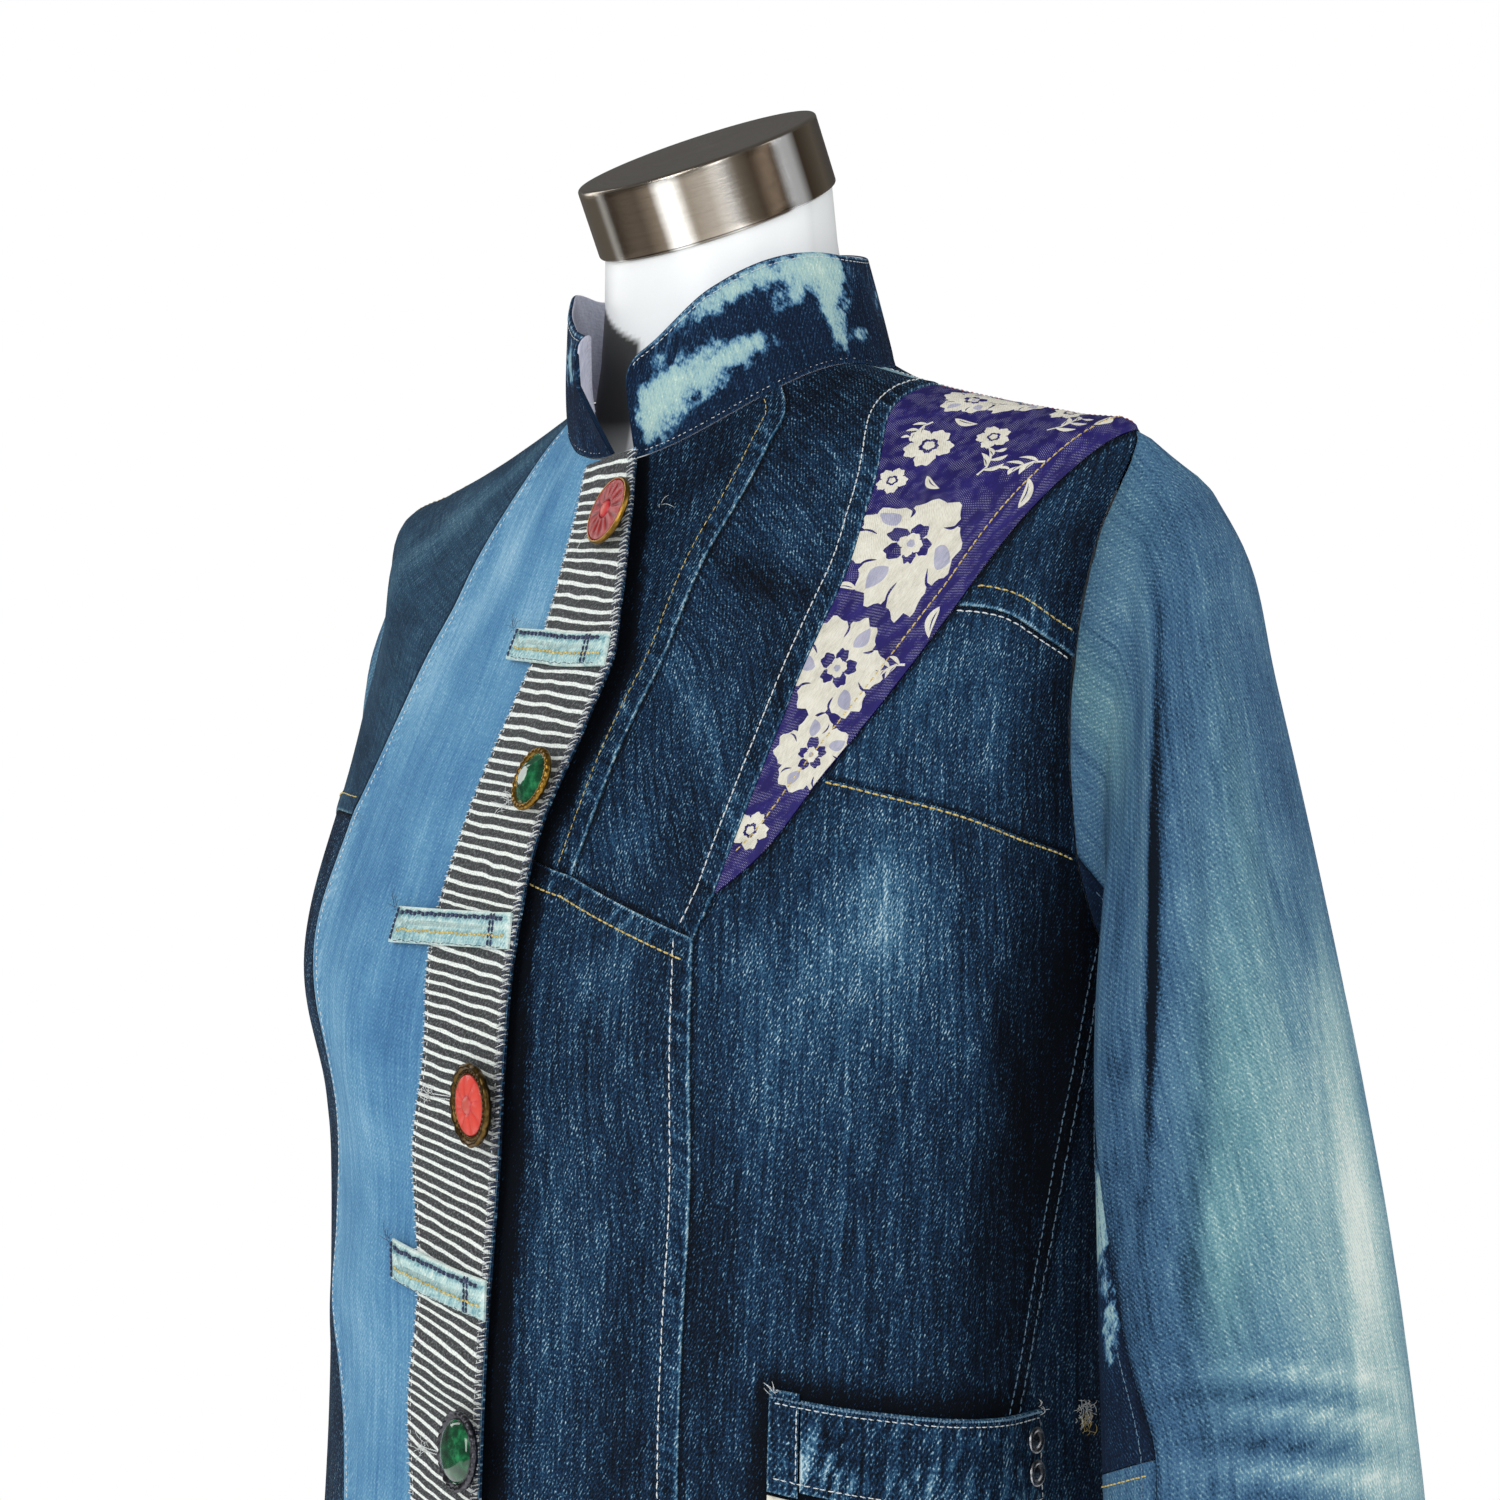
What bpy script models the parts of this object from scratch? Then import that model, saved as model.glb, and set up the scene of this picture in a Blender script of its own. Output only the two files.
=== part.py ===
"""Denim jacket, pieced from old jeans, worn on a limbless dress form with a metal neck cap.

Metres, +Z up. The wearer faces -Y and the wearer's left is +X. The origin is the centre of
the underside of the round base. A place on the jacket's body is given by two numbers: the
angle round the body in degrees, 0 at the centre front and 90 at the wearer's left side, and
the distance down from the neck seam in metres.
"""

import math
from collections import namedtuple

import bmesh
import bpy
import numpy as np
from mathutils import Vector
from mathutils.geometry import delaunay_2d_cdt

# Driving dimensions
CLOTH = 0.0013            # one layer of denim
COLLAR_CLOTH = 0.0024     # two layers, for the stand collar
GAP = 0.0003              # between pieces at a seam
LAP = 0.0027              # how far the right front lies over the left front
LAP_START = -34.0         # degrees, where it begins to rise
LAP_SPREAD = 16.0
EDGE_RISE = 0.0050        # how much further its edge stands out
EDGE_START = -14.0
EDGE_SPREAD = 24.0
PATCH_GAP = 0.0007        # under a piece that lies on a panel
CLEAR = 0.0075            # between the form and the inside of the cloth
REST = 0.0009             # and at the shoulders, which carry the jacket
CELL = 0.026              # spacing of the points inside a panel
SEAM_STEP = 0.021         # spacing of the points along a seam
GIRTH_RADIUS = 0.165      # turns an angle into a rough distance round the body
JACKET_LENGTH = 0.575     # neck seam to hem at the centre front
COLLAR_HEIGHT = 0.048
COLLAR_DROP = 0.009       # its left front end is lower by this
COLLAR_CORNER = 0.009     # radius of its front corners
NECK_RADIUS = 0.07
COLLAR_LEFT_END = 9.5     # degrees
COLLAR_RIGHT_END = 361.0
COLLAR_PULL = -0.014      # the collar's front stands this much nearer the neck at its top
COLLAR_LEAN = math.radians(24)   # the neck leans forward by this much
CAP_RADIUS = 0.0535
CAP_HEIGHT = 0.031
CAP_EDGE = 0.0016         # its rounded rims
CAP_TILT = math.radians(28)
CAP_CENTRE = (0.0, -0.012, 1.4750)   # centre of the cap's underside
FORM_BOTTOM = 0.745
POLE_RADIUS = 0.0125
BASE_RADIUS = 0.165
BASE_HEIGHT = 0.012
BASE_BEVEL = 0.004
HUB_RADIUS = 0.026
HUB_HEIGHT = 0.045

# The body of the jacket, one row for each ring from the neck seam to the hem
Ring = namedtuple("Ring", "down half_width front back z_front z_side z_back power")
RINGS = (
    Ring(0.000, 0.072, 0.073, 0.064, 1.363, 1.405, 1.424, 1.00),
    Ring(0.030, 0.106, 0.082, 0.078, 1.336, 1.393, 1.401, 1.08),
    Ring(0.060, 0.142, 0.093, 0.092, 1.308, 1.382, 1.375, 1.20),
    Ring(0.090, 0.176, 0.105, 0.103, 1.280, 1.373, 1.347, 1.30),
    Ring(0.118, 0.203, 0.116, 0.110, 1.253, 1.364, 1.318, 1.32),
    Ring(0.150, 0.194, 0.128, 0.114, 1.220, 1.325, 1.280, 1.15),
    Ring(0.200, 0.188, 0.140, 0.116, 1.171, 1.262, 1.220, 1.00),
    Ring(0.250, 0.190, 0.146, 0.114, 1.120, 1.197, 1.158, 0.92),
    Ring(0.300, 0.187, 0.145, 0.112, 1.069, 1.135, 1.100, 0.90),
    Ring(0.360, 0.183, 0.147, 0.112, 1.009, 1.062, 1.036, 0.90),
    Ring(0.430, 0.182, 0.150, 0.116, 0.939, 0.976, 0.958, 0.90),
    Ring(0.500, 0.187, 0.154, 0.124, 0.869, 0.890, 0.880, 0.90),
    Ring(0.575, 0.194, 0.158, 0.132, 0.794, 0.798, 0.796, 0.90),
)

# The rounding over the bust, the same on both sides
BUST_ANGLE = 40.0
BUST_DOWN = 0.245
BUST_RISE = 0.013
BUST_WIDE = 26.0
BUST_TALL = 0.055

# The largest folds of the body, each a soft line from one place to another; height is
# negative for a trough, and spread is how far it reaches to each side
Fold = namedtuple("Fold", "angle_a down_a angle_b down_b spread height")
BODY_FOLDS = (
    Fold(62, 0.300, 70, 0.575, 0.026, 0.0045),
    Fold(80, 0.290, 84, 0.560, 0.022, -0.0050),
    Fold(-58, 0.290, -66, 0.575, 0.026, 0.0045),
    Fold(-78, 0.300, -84, 0.560, 0.022, -0.0050),
    Fold(44, 0.320, 38, 0.575, 0.030, 0.0030),
    Fold(-30, 0.260, -46, 0.330, 0.020, -0.0035),
    Fold(-12, 0.330, -44, 0.385, 0.018, 0.0030),
    Fold(52, 0.150, 80, 0.120, 0.016, -0.0022),
    Fold(-52, 0.150, -80, 0.120, 0.016, -0.0022),
    Fold(128, 0.210, 150, 0.575, 0.030, -0.0045),
    Fold(232, 0.210, 208, 0.575, 0.030, -0.0045),
    Fold(170, 0.300, 176, 0.575, 0.034, 0.0040),
    Fold(112, 0.330, 120, 0.575, 0.026, 0.0045),
    Fold(248, 0.330, 242, 0.575, 0.026, 0.0045),
)

# The left armhole, turned about its middle: 0 at the shoulder tip, 90 at the front
ArmholeRow = namedtuple("ArmholeRow", "turn angle down")
ARMHOLE = (
    ArmholeRow(0, 93.0, 0.1180),
    ArmholeRow(45, 85.0, 0.1400),
    ArmholeRow(90, 81.5, 0.1880),
    ArmholeRow(135, 83.0, 0.2480),
    ArmholeRow(180, 94.0, 0.2830),
    ArmholeRow(225, 108.0, 0.2520),
    ArmholeRow(270, 112.0, 0.1900),
    ArmholeRow(315, 104.0, 0.1400),
)
TURN_STEP = 15            # degrees between the sleeve's points round its section

# The sleeves, one row for each section from the armhole to the cuff. The right one, mirrored
# here, hangs further back and flatter
Section = namedtuple("Section", "outer_x outer_z inner_x inner_z centre_y half_depth")
SLEEVES = {
    "left": (
        Section(0.2180, 1.3460, 0.1945, 1.1600, 0.018, 0.0420),
        Section(0.2330, 1.3200, 0.1970, 1.1500, 0.015, 0.0470),
        Section(0.2415, 1.2850, 0.1970, 1.1380, 0.011, 0.0500),
        Section(0.2520, 1.2410, 0.1970, 1.1220, 0.008, 0.0545),
        Section(0.2640, 1.1900, 0.1985, 1.0980, 0.005, 0.0590),
        Section(0.2790, 1.1270, 0.2020, 1.0600, 0.001, 0.0635),
        Section(0.2930, 1.0580, 0.2055, 1.0120, -0.002, 0.0680),
        Section(0.3040, 0.9840, 0.2095, 0.9540, -0.004, 0.0715),
        Section(0.3125, 0.9070, 0.2145, 0.8870, -0.006, 0.0740),
        Section(0.3185, 0.8300, 0.2190, 0.8180, -0.008, 0.0755),
        Section(0.3210, 0.7900, 0.2210, 0.7800, -0.010, 0.0760),
    ),
    "right": (
        Section(0.2130, 1.3450, 0.1945, 1.1600, 0.020, 0.0420),
        Section(0.2215, 1.3200, 0.1965, 1.1500, 0.022, 0.0460),
        Section(0.2270, 1.2850, 0.1970, 1.1380, 0.026, 0.0490),
        Section(0.2320, 1.2410, 0.1975, 1.1220, 0.031, 0.0525),
        Section(0.2390, 1.1900, 0.1975, 1.0980, 0.034, 0.0580),
        Section(0.2430, 1.1270, 0.1970, 1.0600, 0.040, 0.0610),
        Section(0.2460, 1.0580, 0.1965, 1.0120, 0.045, 0.0640),
        Section(0.2490, 0.9840, 0.1965, 0.9540, 0.049, 0.0670),
        Section(0.2520, 0.9070, 0.1980, 0.8870, 0.052, 0.0700),
        Section(0.2550, 0.8300, 0.2000, 0.8180, 0.054, 0.0715),
        Section(0.2560, 0.7900, 0.2010, 0.7800, 0.055, 0.0720),
    ),
}
SLEEVE_SQUARE = 0.90
CUFF_ROW = len(SLEEVES["left"])
BACK_SEAM = 225           # turn of the seam between upper and under sleeve, behind
CROSS_SEAM = 7.7          # row of the seam across the left under sleeve
CROSS_GAP = 0.004         # rows from that seam to the edge of each piece

# The turn of the seam in front between upper and under sleeve
SeamRow = namedtuple("SeamRow", "row turn")
FRONT_SEAM = {
    "left": (
        SeamRow(0.0, 135.0),
        SeamRow(4.0, 135.0),
        SeamRow(5.0, 133.0),
        SeamRow(6.0, 117.0),
        SeamRow(7.0, 102.0),
        SeamRow(CROSS_SEAM, 88.0),
        SeamRow(8.2, 92.0),
        SeamRow(9.0, 108.0),
        SeamRow(11.0, 120.0),
    ),
    "right": (
        SeamRow(0.0, 135.0),
        SeamRow(5.0, 135.0),
        SeamRow(11.0, 135.0),
    ),
}

# The largest folds of a sleeve; turn and row replace angle and down
SleeveFold = namedtuple("SleeveFold", "turn_a row_a turn_b row_b spread height")
SLEEVE_FOLDS = (
    SleeveFold(72, 1.5, 96, 6.0, 13, -0.0060),
    SleeveFold(50, 2.0, 62, 7.0, 12, 0.0030),
    SleeveFold(60, 6.0, 52, 10.5, 14, -0.0040),
    SleeveFold(84, 7.0, 92, 11.0, 14, 0.0040),
    SleeveFold(300, 2.0, 282, 7.0, 16, -0.0050),
    SleeveFold(250, 6.0, 262, 11.0, 16, 0.0045),
    SleeveFold(160, 6.5, 200, 7.2, 26, -0.0030),
)

# Seams of the body. Each is a line through places (angle, down); a word in a seam is a
# place shared with another seam
PLACES = {
    "front_neck_edge": (-15.0, 0.000),
    "front_hem_edge": (-16.0, 0.575),
    "band_neck": (56.0, 0.000),
    "neck_point_left": (92.0, 0.000),
    "princess_shoulder": (92.0, 0.031),
    "shoulder_tip_left": (93.0, 0.118),
    "band_foot": (10.7, 0.182),
    "front_diagonal": (-15.0, 0.158),
    "princess_foot": (28.0, 0.221),
    "applique_tip": (30.5, 0.209),
    "chest_front": (43.0, 0.187),
    "welt_front": (59.0, 0.153),
    "princess_hem": (27.0, 0.575),
    "side_left_hem": (80.0, 0.575),
    "right_edge_neck": (11.0, 0.000),
    "right_edge_hem": (0.8, 0.575),
    "light_blue_neck": (-52.0, 0.000),
    "right_yoke_front": (-39.5, 0.190),
    "light_blue_hem": (-26.0, 0.575),
    "neck_point_right": (-92.0, 0.000),
    "shoulder_tip_right": (-93.0, 0.118),
    "side_right_hem": (-80.0, 0.575),
    "strip_neck": (104.0, 0.000),
    "strip_end": (92.5, 0.072),
    "yoke_back_left": (150.0, 0.158),
    "yoke_back_right": (210.0, 0.158),
    "back_left_hem": (146.0, 0.575),
    "back_right_hem": (214.0, 0.575),
    "side_back_hem": (280.0, 0.575),
}
SEAMS = {
    "neck": ("front_neck_edge", (-4, 0), "right_edge_neck", (22, 0), (33, 0), (45, 0),
             "band_neck", (68, 0), (80, 0), "neck_point_left", "strip_neck"),
    "neck_back": ("strip_neck", (125, 0), (145, 0), (163, 0), (180, 0), (197, 0), (215, 0),
                  (235, 0), (252, 0), (268, 0)),
    "neck_right": ("neck_point_right", (-76, 0), (-64, 0), "light_blue_neck", (-41, 0),
                   (-31, 0), (-22, 0), (-14, 0), (-6, 0), (2, 0), "right_edge_neck"),
    "left_edge": ("front_neck_edge", (-15, 0.08), "front_diagonal", (-15.5, 0.30),
                  "front_hem_edge"),
    "band": ("band_neck", (50.5, 0.015), (43, 0.026), (34, 0.044), (28, 0.060),
             (20.5, 0.112), (15.8, 0.140), "band_foot"),
    "diagonal_front": ("front_diagonal", (-4, 0.163), "band_foot"),
    "diagonal": ("band_foot", (20.5, 0.204), "princess_foot"),
    "princess": ("princess_shoulder", (62, 0.048), (50, 0.082), (42, 0.120), (37, 0.160),
                 "applique_tip"),
    "princess_low": ("applique_tip", "princess_foot"),
    "lower": ("princess_foot", (27, 0.300), (26.5, 0.380), (27, 0.460), "princess_hem"),
    "shoulder": ("neck_point_left", "princess_shoulder", "strip_end", (93, 0.096),
                 "shoulder_tip_left"),
    "shoulder_right": ("neck_point_right", (-92, 0.031), (-92.5, 0.072), (-93, 0.096),
                       "shoulder_tip_right"),
    "applique_edge": ("shoulder_tip_left", (75, 0.124), (67, 0.133), "welt_front",
                      (50.5, 0.172), "chest_front"),
    "applique_low": ("chest_front", (36, 0.203), "applique_tip"),
    "welt": ("welt_front", (67, 0.165), (75, 0.179), "armhole_90"),
    "chest": ("chest_front", (52, 0.205), (62, 0.222), (72, 0.237), "armhole_135"),
    "side_left": ("armhole_165", (86, 0.330), (82.5, 0.372), (79, 0.400), (74, 0.430),
                  (74, 0.500), "side_left_hem"),
    "hem_left": ("front_hem_edge", (0, 0.575), "princess_hem", (45, 0.575), (63, 0.575),
                 "side_left_hem"),
    "hem_back": ("side_left_hem", (100, 0.575), (122, 0.575), "back_left_hem",
                 (163, 0.575), (180, 0.575), (197, 0.575), "back_right_hem", (238, 0.575),
                 (260, 0.575), "side_back_hem"),
    "hem_right": ("side_right_hem", (-60, 0.575), (-43, 0.575), "light_blue_hem",
                  (-13, 0.575), "right_edge_hem"),
    "right_edge": ("right_edge_neck", (12.3, 0.035), (14.8, 0.077), (15.6, 0.103),
                   (12.5, 0.129), (7.6, 0.156), (4.6, 0.205), (3.7, 0.248), (1.5, 0.316),
                   (0.8, 0.378), (0.9, 0.450), "right_edge_hem"),
    "light_blue": ("light_blue_neck", (-43.5, 0.030), (-38.5, 0.070), (-34.5, 0.115),
                   (-36.5, 0.155), "right_yoke_front"),
    "light_blue_low": ("right_yoke_front", (-38.5, 0.225), (-34.0, 0.262), (-37.5, 0.310),
                       (-39.5, 0.360), (-35.5, 0.395), (-30.5, 0.425), (-27.5, 0.480),
                       "light_blue_hem"),
    "right_yoke": ("right_yoke_front", (-52, 0.205), (-62, 0.222), (-72, 0.237),
                   "right_armhole_135"),
    "side_right": ("right_armhole_165", (-86, 0.330), (-82.5, 0.372), (-79, 0.400),
                   (-76, 0.450), (-77, 0.510), "side_right_hem"),
    "strip": ("strip_neck", (101, 0.030), (97, 0.055), "strip_end"),
    "yoke_left": ("armhole_285", (124, 0.158), (137, 0.158), "yoke_back_left"),
    "yoke_back": ("yoke_back_left", (165, 0.160), (180, 0.161), (195, 0.160),
                  "yoke_back_right"),
    "yoke_right": ("yoke_back_right", (223, 0.158), (236, 0.158), "back_armhole_285"),
    "back_left": ("yoke_back_left", (152, 0.260), (150, 0.370), (148, 0.470),
                  "back_left_hem"),
    "back_right": ("yoke_back_right", (208, 0.260), (210, 0.370), (212, 0.470),
                   "back_right_hem"),
}

# The striped strip: places along its left edge; the right edge is the right front's own
PLACKET_LEFT = ((-11.5, 0.004), (-9.0, 0.025), (-7.9, 0.053), (-7.2, 0.080),
                (-9.2, 0.120), (-9.9, 0.165), (-10.1, 0.205), (-7.9, 0.250),
                (-10.2, 0.291), (-9.1, 0.335), (-10.8, 0.385), (-9.3, 0.430),
                (-9.9, 0.500), (-9.8, 0.573))
PLACKET_CLOTH = 0.0009
PLACKET_INSET = 0.5       # degrees from the right front's edge
PLACKET_END = 0.002       # metres short of the front at the neck and at the hem

# Tabs across the strip: the angle and the upper edge's place down at each end
Tab = namedtuple("Tab", "name left right down_left down_right height")
TABS = (
    Tab("tab_1", -14.3, 15.2, 0.0835, 0.0945, 0.0145),
    Tab("tab_2", -17.0, 4.4, 0.2000, 0.1955, 0.0140),
    Tab("tab_3", -13.5, 1.4, 0.3240, 0.3320, 0.0155),
    Tab("tab_4", -13.5, 0.5, 0.4560, 0.4600, 0.0150),
)
TAB_CLOTH = 0.0018

Button = namedtuple("Button", "name angle down radius finish")
BUTTONS = (
    Button("button_1", 9.6, 0.0340, 0.0147, "red"),
    Button("button_2", 6.8, 0.1465, 0.0130, "green"),
    Button("button_3", 1.2, 0.2650, 0.0164, "red"),
    Button("button_4", 0.0, 0.3970, 0.0152, "green"),
    Button("button_5", -0.8, 0.5190, 0.0155, "red"),
)
BUTTON_GAP = 0.0005       # under the shank's foot
BUTTON_RIM = 0.0016
BUTTON_TURN = math.radians(-14)    # the buttons look to the wearer's right
SHANK = 0.0042            # how high a button stands on its shank
SHANK_RADIUS = 0.0030

# The left pocket, made from an old waistband: places along its upper edge
POCKET_TOP = ((38.5, 0.3845), (51.0, 0.3985), (64.0, 0.4095), (73.0, 0.4145),
              (80.5, 0.4165))
POCKET_BAND = 0.030
POCKET_STRIP = 0.007
POCKET_SEAM = 0.003       # between the band and the strip under it
POCKET_DEPTH = 0.125
POCKET_CLOTH = 0.0022
POCKET_LOOP = 4.0         # degrees, width of the folded end strip
LOOP_PROUD = 0.002        # the end strip stands above and below the band by this
RIVETS = ((77.8, 0.4245), (77.8, 0.4345))
COARSE = 0.05             # a cell so wide that a narrow piece gets no points inside

# The form's rings under the jacket, as places down, and its neck up to the cap
FORM_RINGS = (0.575, 0.50, 0.43, 0.36, 0.30, 0.25, 0.215, 0.18, 0.15, 0.125, 0.10, 0.075,
              0.05, 0.025, 0.006)
FORM_FOOT = ((0.0, 0.90), (0.006, 0.94), (0.022, 0.965))   # height and share of the hem
SHOULDER_ANGLE = 92.0     # where the jacket rests on the form, on both sides
SHOULDER_WIDE = 20.0
SHOULDER_DOWN = 0.068
SHOULDER_LONG = 0.040
NECK_FOOT = (0.0, -0.006, 1.388)
NECK_RINGS = ((0.22, 0.0590), (0.45, 0.0550), (0.72, 0.0525), (1.0, 0.0513))

# Colours as linear values, with roughness
Finish = namedtuple("Finish", "red green blue roughness metallic")
FINISHES = {
    "indigo": Finish(0.020, 0.062, 0.130, 0.85, 0.0),
    "light_blue": Finish(0.140, 0.290, 0.480, 0.85, 0.0),
    "sleeve_blue": Finish(0.150, 0.300, 0.420, 0.85, 0.0),
    "bleached": Finish(0.260, 0.400, 0.430, 0.85, 0.0),
    "stripe": Finish(0.250, 0.270, 0.260, 0.90, 0.0),
    "aqua": Finish(0.300, 0.480, 0.520, 0.85, 0.0),
    "floral": Finish(0.060, 0.035, 0.280, 0.70, 0.0),
    "cream": Finish(0.560, 0.560, 0.500, 0.90, 0.0),
    "red": Finish(0.300, 0.012, 0.018, 0.40, 0.0),
    "green": Finish(0.005, 0.090, 0.045, 0.15, 0.0),
    "gold": Finish(0.450, 0.300, 0.120, 0.35, 1.0),
    "pewter": Finish(0.080, 0.080, 0.075, 0.40, 1.0),
    "white": Finish(0.800, 0.820, 0.840, 0.45, 0.0),
    "nickel": Finish(0.330, 0.290, 0.240, 0.28, 1.0),
    "steel": Finish(0.500, 0.500, 0.500, 0.30, 1.0),
}


def smooth_rows(rows, x, closed=False):
    """Values at x on a smooth curve through the rows, whose first column is the distance."""
    rows = np.asarray(rows, float)
    if closed:
        turn = 360.0
        before = rows[-2:].copy()
        after = rows[:2].copy()
        before[:, 0] -= turn
        after[:, 0] += turn
        rows = np.vstack([before, rows, after])
        x = np.mod(x, turn)
    xs = rows[:, 0]
    ys = rows[:, 1:]
    slope = np.gradient(ys, xs, axis=0)
    x = np.clip(x, xs[0], xs[-1])
    i = np.clip(np.searchsorted(xs, x, side="right") - 1, 0, len(xs) - 2)
    step = (xs[i + 1] - xs[i])[..., None]
    s = ((x - xs[i]) / (xs[i + 1] - xs[i]))[..., None]
    start = ys[i] * (1 + 2 * s) * (1 - s) ** 2 + slope[i] * step * s * (1 - s) ** 2
    end = ys[i + 1] * s ** 2 * (3 - 2 * s) + slope[i + 1] * step * s ** 2 * (s - 1)
    return start + end


def fold_height(folds, across, along, across_scale, along_scale):
    """Sum of soft ridges and troughs, each a rounded line that fades out at both ends."""
    total = np.zeros(np.shape(across))
    for a0, b0, a1, b1, spread, height in folds:
        du = (a1 - a0) * across_scale
        dv = (b1 - b0) * along_scale
        u = (across - a0) * across_scale
        v = (along - b0) * along_scale
        length = du * du + dv * dv
        t = np.clip((u * du + v * dv) / length, 0, 1)
        gap = np.hypot(u - t * du, v - t * dv)
        fade = 0.35 + 0.65 * np.sin(np.pi * np.clip(t, 0.04, 0.96)) ** 0.7
        total = total + height * fade * np.exp(-(gap / spread) ** 2)
    return total


def body_point(angle, down, out=0.0):
    """A point of the jacket's outer face, or one that lies out metres from it."""
    angle, down = np.broadcast_arrays(np.asarray(angle, float), np.asarray(down, float))
    columns = smooth_rows(RINGS, down)
    half_width, front, back, z_front, z_side, z_back, power = np.moveaxis(columns, -1, 0)
    turn = np.radians(angle)
    s = np.sin(turn)
    c = np.cos(turn)
    x = half_width * np.sign(s) * np.abs(s) ** power
    y = np.where(c > 0, -front, back) * np.abs(c) ** power
    z = z_side + (z_front - z_side) * np.clip(c, 0, 1) ** 2
    z = z + (z_back - z_side) * np.clip(-c, 0, 1) ** 2
    side = np.abs((angle + 180) % 360 - 180)
    bust = ((side - BUST_ANGLE) / BUST_WIDE) ** 2 + ((down - BUST_DOWN) / BUST_TALL) ** 2
    rise = BUST_RISE * np.exp(-bust)
    around = np.radians(1.0) * GIRTH_RADIUS
    wrapped = (angle + 90) % 360 - 90
    rise = rise + fold_height(BODY_FOLDS, wrapped, down, around, 1.0)
    point = np.stack([x + rise * s, y - rise * c, z], -1)
    if np.any(out):
        point = point + body_normal(angle, down) * np.asarray(out)[..., None]
    return point


def body_normal(angle, down):
    """The outward direction of the jacket's surface."""
    step_angle = 0.5
    step_down = 0.002
    across = body_point(angle + step_angle, down) - body_point(angle - step_angle, down)
    low = np.clip(np.asarray(down, float) + step_down, 0, JACKET_LENGTH)
    high = np.clip(np.asarray(down, float) - step_down, 0, JACKET_LENGTH)
    along = body_point(angle, low) - body_point(angle, high)
    normal = np.cross(along, across)
    return normal / np.linalg.norm(normal, axis=-1, keepdims=True)


def armhole_place(turn):
    """The place on the left armhole at a turn round it."""
    angle, down = smooth_rows(ARMHOLE, np.asarray(float(turn)), closed=True)
    return float(angle), float(down)


def place_of(word):
    """The place that a word in a seam stands for."""
    if word in PLACES:
        return PLACES[word]
    side, turn = word.rsplit("_", 1)
    angle, down = armhole_place(int(turn))
    if side == "right_armhole":
        return -angle, down
    if side == "back_armhole":
        return 360 - angle, down
    return angle, down


def seam_points(name, start=None, end=None):
    """Places along a seam from start to end, both of them words in the seam."""
    words = SEAMS[name]
    knots = [place_of(k) if isinstance(k, str) else k for k in words]
    flat = np.array([(a * math.radians(1) * GIRTH_RADIUS, d) for a, d in knots])
    run = np.concatenate([[0], np.cumsum(np.linalg.norm(np.diff(flat, axis=0), axis=1))])
    rows = np.column_stack([run, np.array(knots, float)])
    points = []
    marks = {}
    for i in range(len(knots)):
        if isinstance(words[i], str):
            marks[words[i]] = len(points)
        points.append(tuple(knots[i]))
        if i + 1 < len(knots):
            pieces = max(1, round((run[i + 1] - run[i]) / SEAM_STEP))
            for k in range(1, pieces):
                at = run[i] + (run[i + 1] - run[i]) * k / pieces
                value = smooth_rows(rows, np.asarray(at)) if len(rows) > 2 else None
                if value is None:
                    share = k / pieces
                    value = np.array(knots[i]) * (1 - share) + np.array(knots[i + 1]) * share
                points.append((float(value[0]), float(value[1])))
    first = marks[start] if start else 0
    last = marks[end] if end else len(points) - 1
    if first <= last:
        return points[first:last + 1]
    return points[last:first + 1][::-1]


def armhole_points(first, last, side="left"):
    """Places along an armhole between two turns; side is left, right or back."""
    step = TURN_STEP if last > first else -TURN_STEP
    points = []
    for turn in range(first, last + step, step):
        angle, down = armhole_place(turn)
        if side == "right":
            angle = -angle
        if side == "back":
            angle = 360 - angle
        points.append((angle, down))
    return points


def shifted(points, angle):
    """The same places, counted from another side of the body."""
    return [(a + angle, d) for a, d in points]


def closed_loop(*runs):
    """Runs of places joined into one loop, with each shared end kept once."""
    loop = []
    for run in runs:
        for place in run:
            if not loop or math.dist(place, loop[-1]) > 1e-6:
                loop.append(place)
    if math.dist(loop[0], loop[-1]) < 1e-6:
        loop.pop()
    return loop


def make_material(name):
    """A material with the colour, roughness and metal of one finish."""
    if name in bpy.data.materials:
        return bpy.data.materials[name]
    finish = FINISHES[name]
    material = bpy.data.materials.new(name)
    material.use_nodes = True
    shader = material.node_tree.nodes["Principled BSDF"]
    shader.inputs["Base Color"].default_value = (finish.red, finish.green, finish.blue, 1)
    shader.inputs["Roughness"].default_value = finish.roughness
    shader.inputs["Metallic"].default_value = finish.metallic
    return material


def add_solid(name, points, faces, finish, sharp=40):
    """A closed body from points and faces, turned so that its faces point out."""
    mesh = bpy.data.meshes.new(name)
    mesh.from_pydata([tuple(map(float, p)) for p in points], [], faces)
    work = bmesh.new()
    work.from_mesh(mesh)
    bmesh.ops.recalc_face_normals(work, faces=work.faces)
    if work.calc_volume(signed=True) < 0:
        bmesh.ops.reverse_faces(work, faces=work.faces)
    work.to_mesh(mesh)
    work.free()
    mesh.shade_smooth()
    mesh.set_sharp_from_angle(angle=math.radians(sharp))
    solid = bpy.data.objects.new(name, mesh)
    bpy.context.scene.collection.objects.link(solid)
    mesh.materials.append(make_material(finish))
    return solid


def inside(place, loop):
    """Whether a flat point lies in a loop of flat points."""
    x, y = place
    odd = False
    for (x0, y0), (x1, y1) in zip(loop, loop[1:] + loop[:1]):
        if (y0 > y) != (y1 > y) and x < (x1 - x0) * (y - y0) / (y1 - y0) + x0:
            odd = not odd
    return odd


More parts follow.
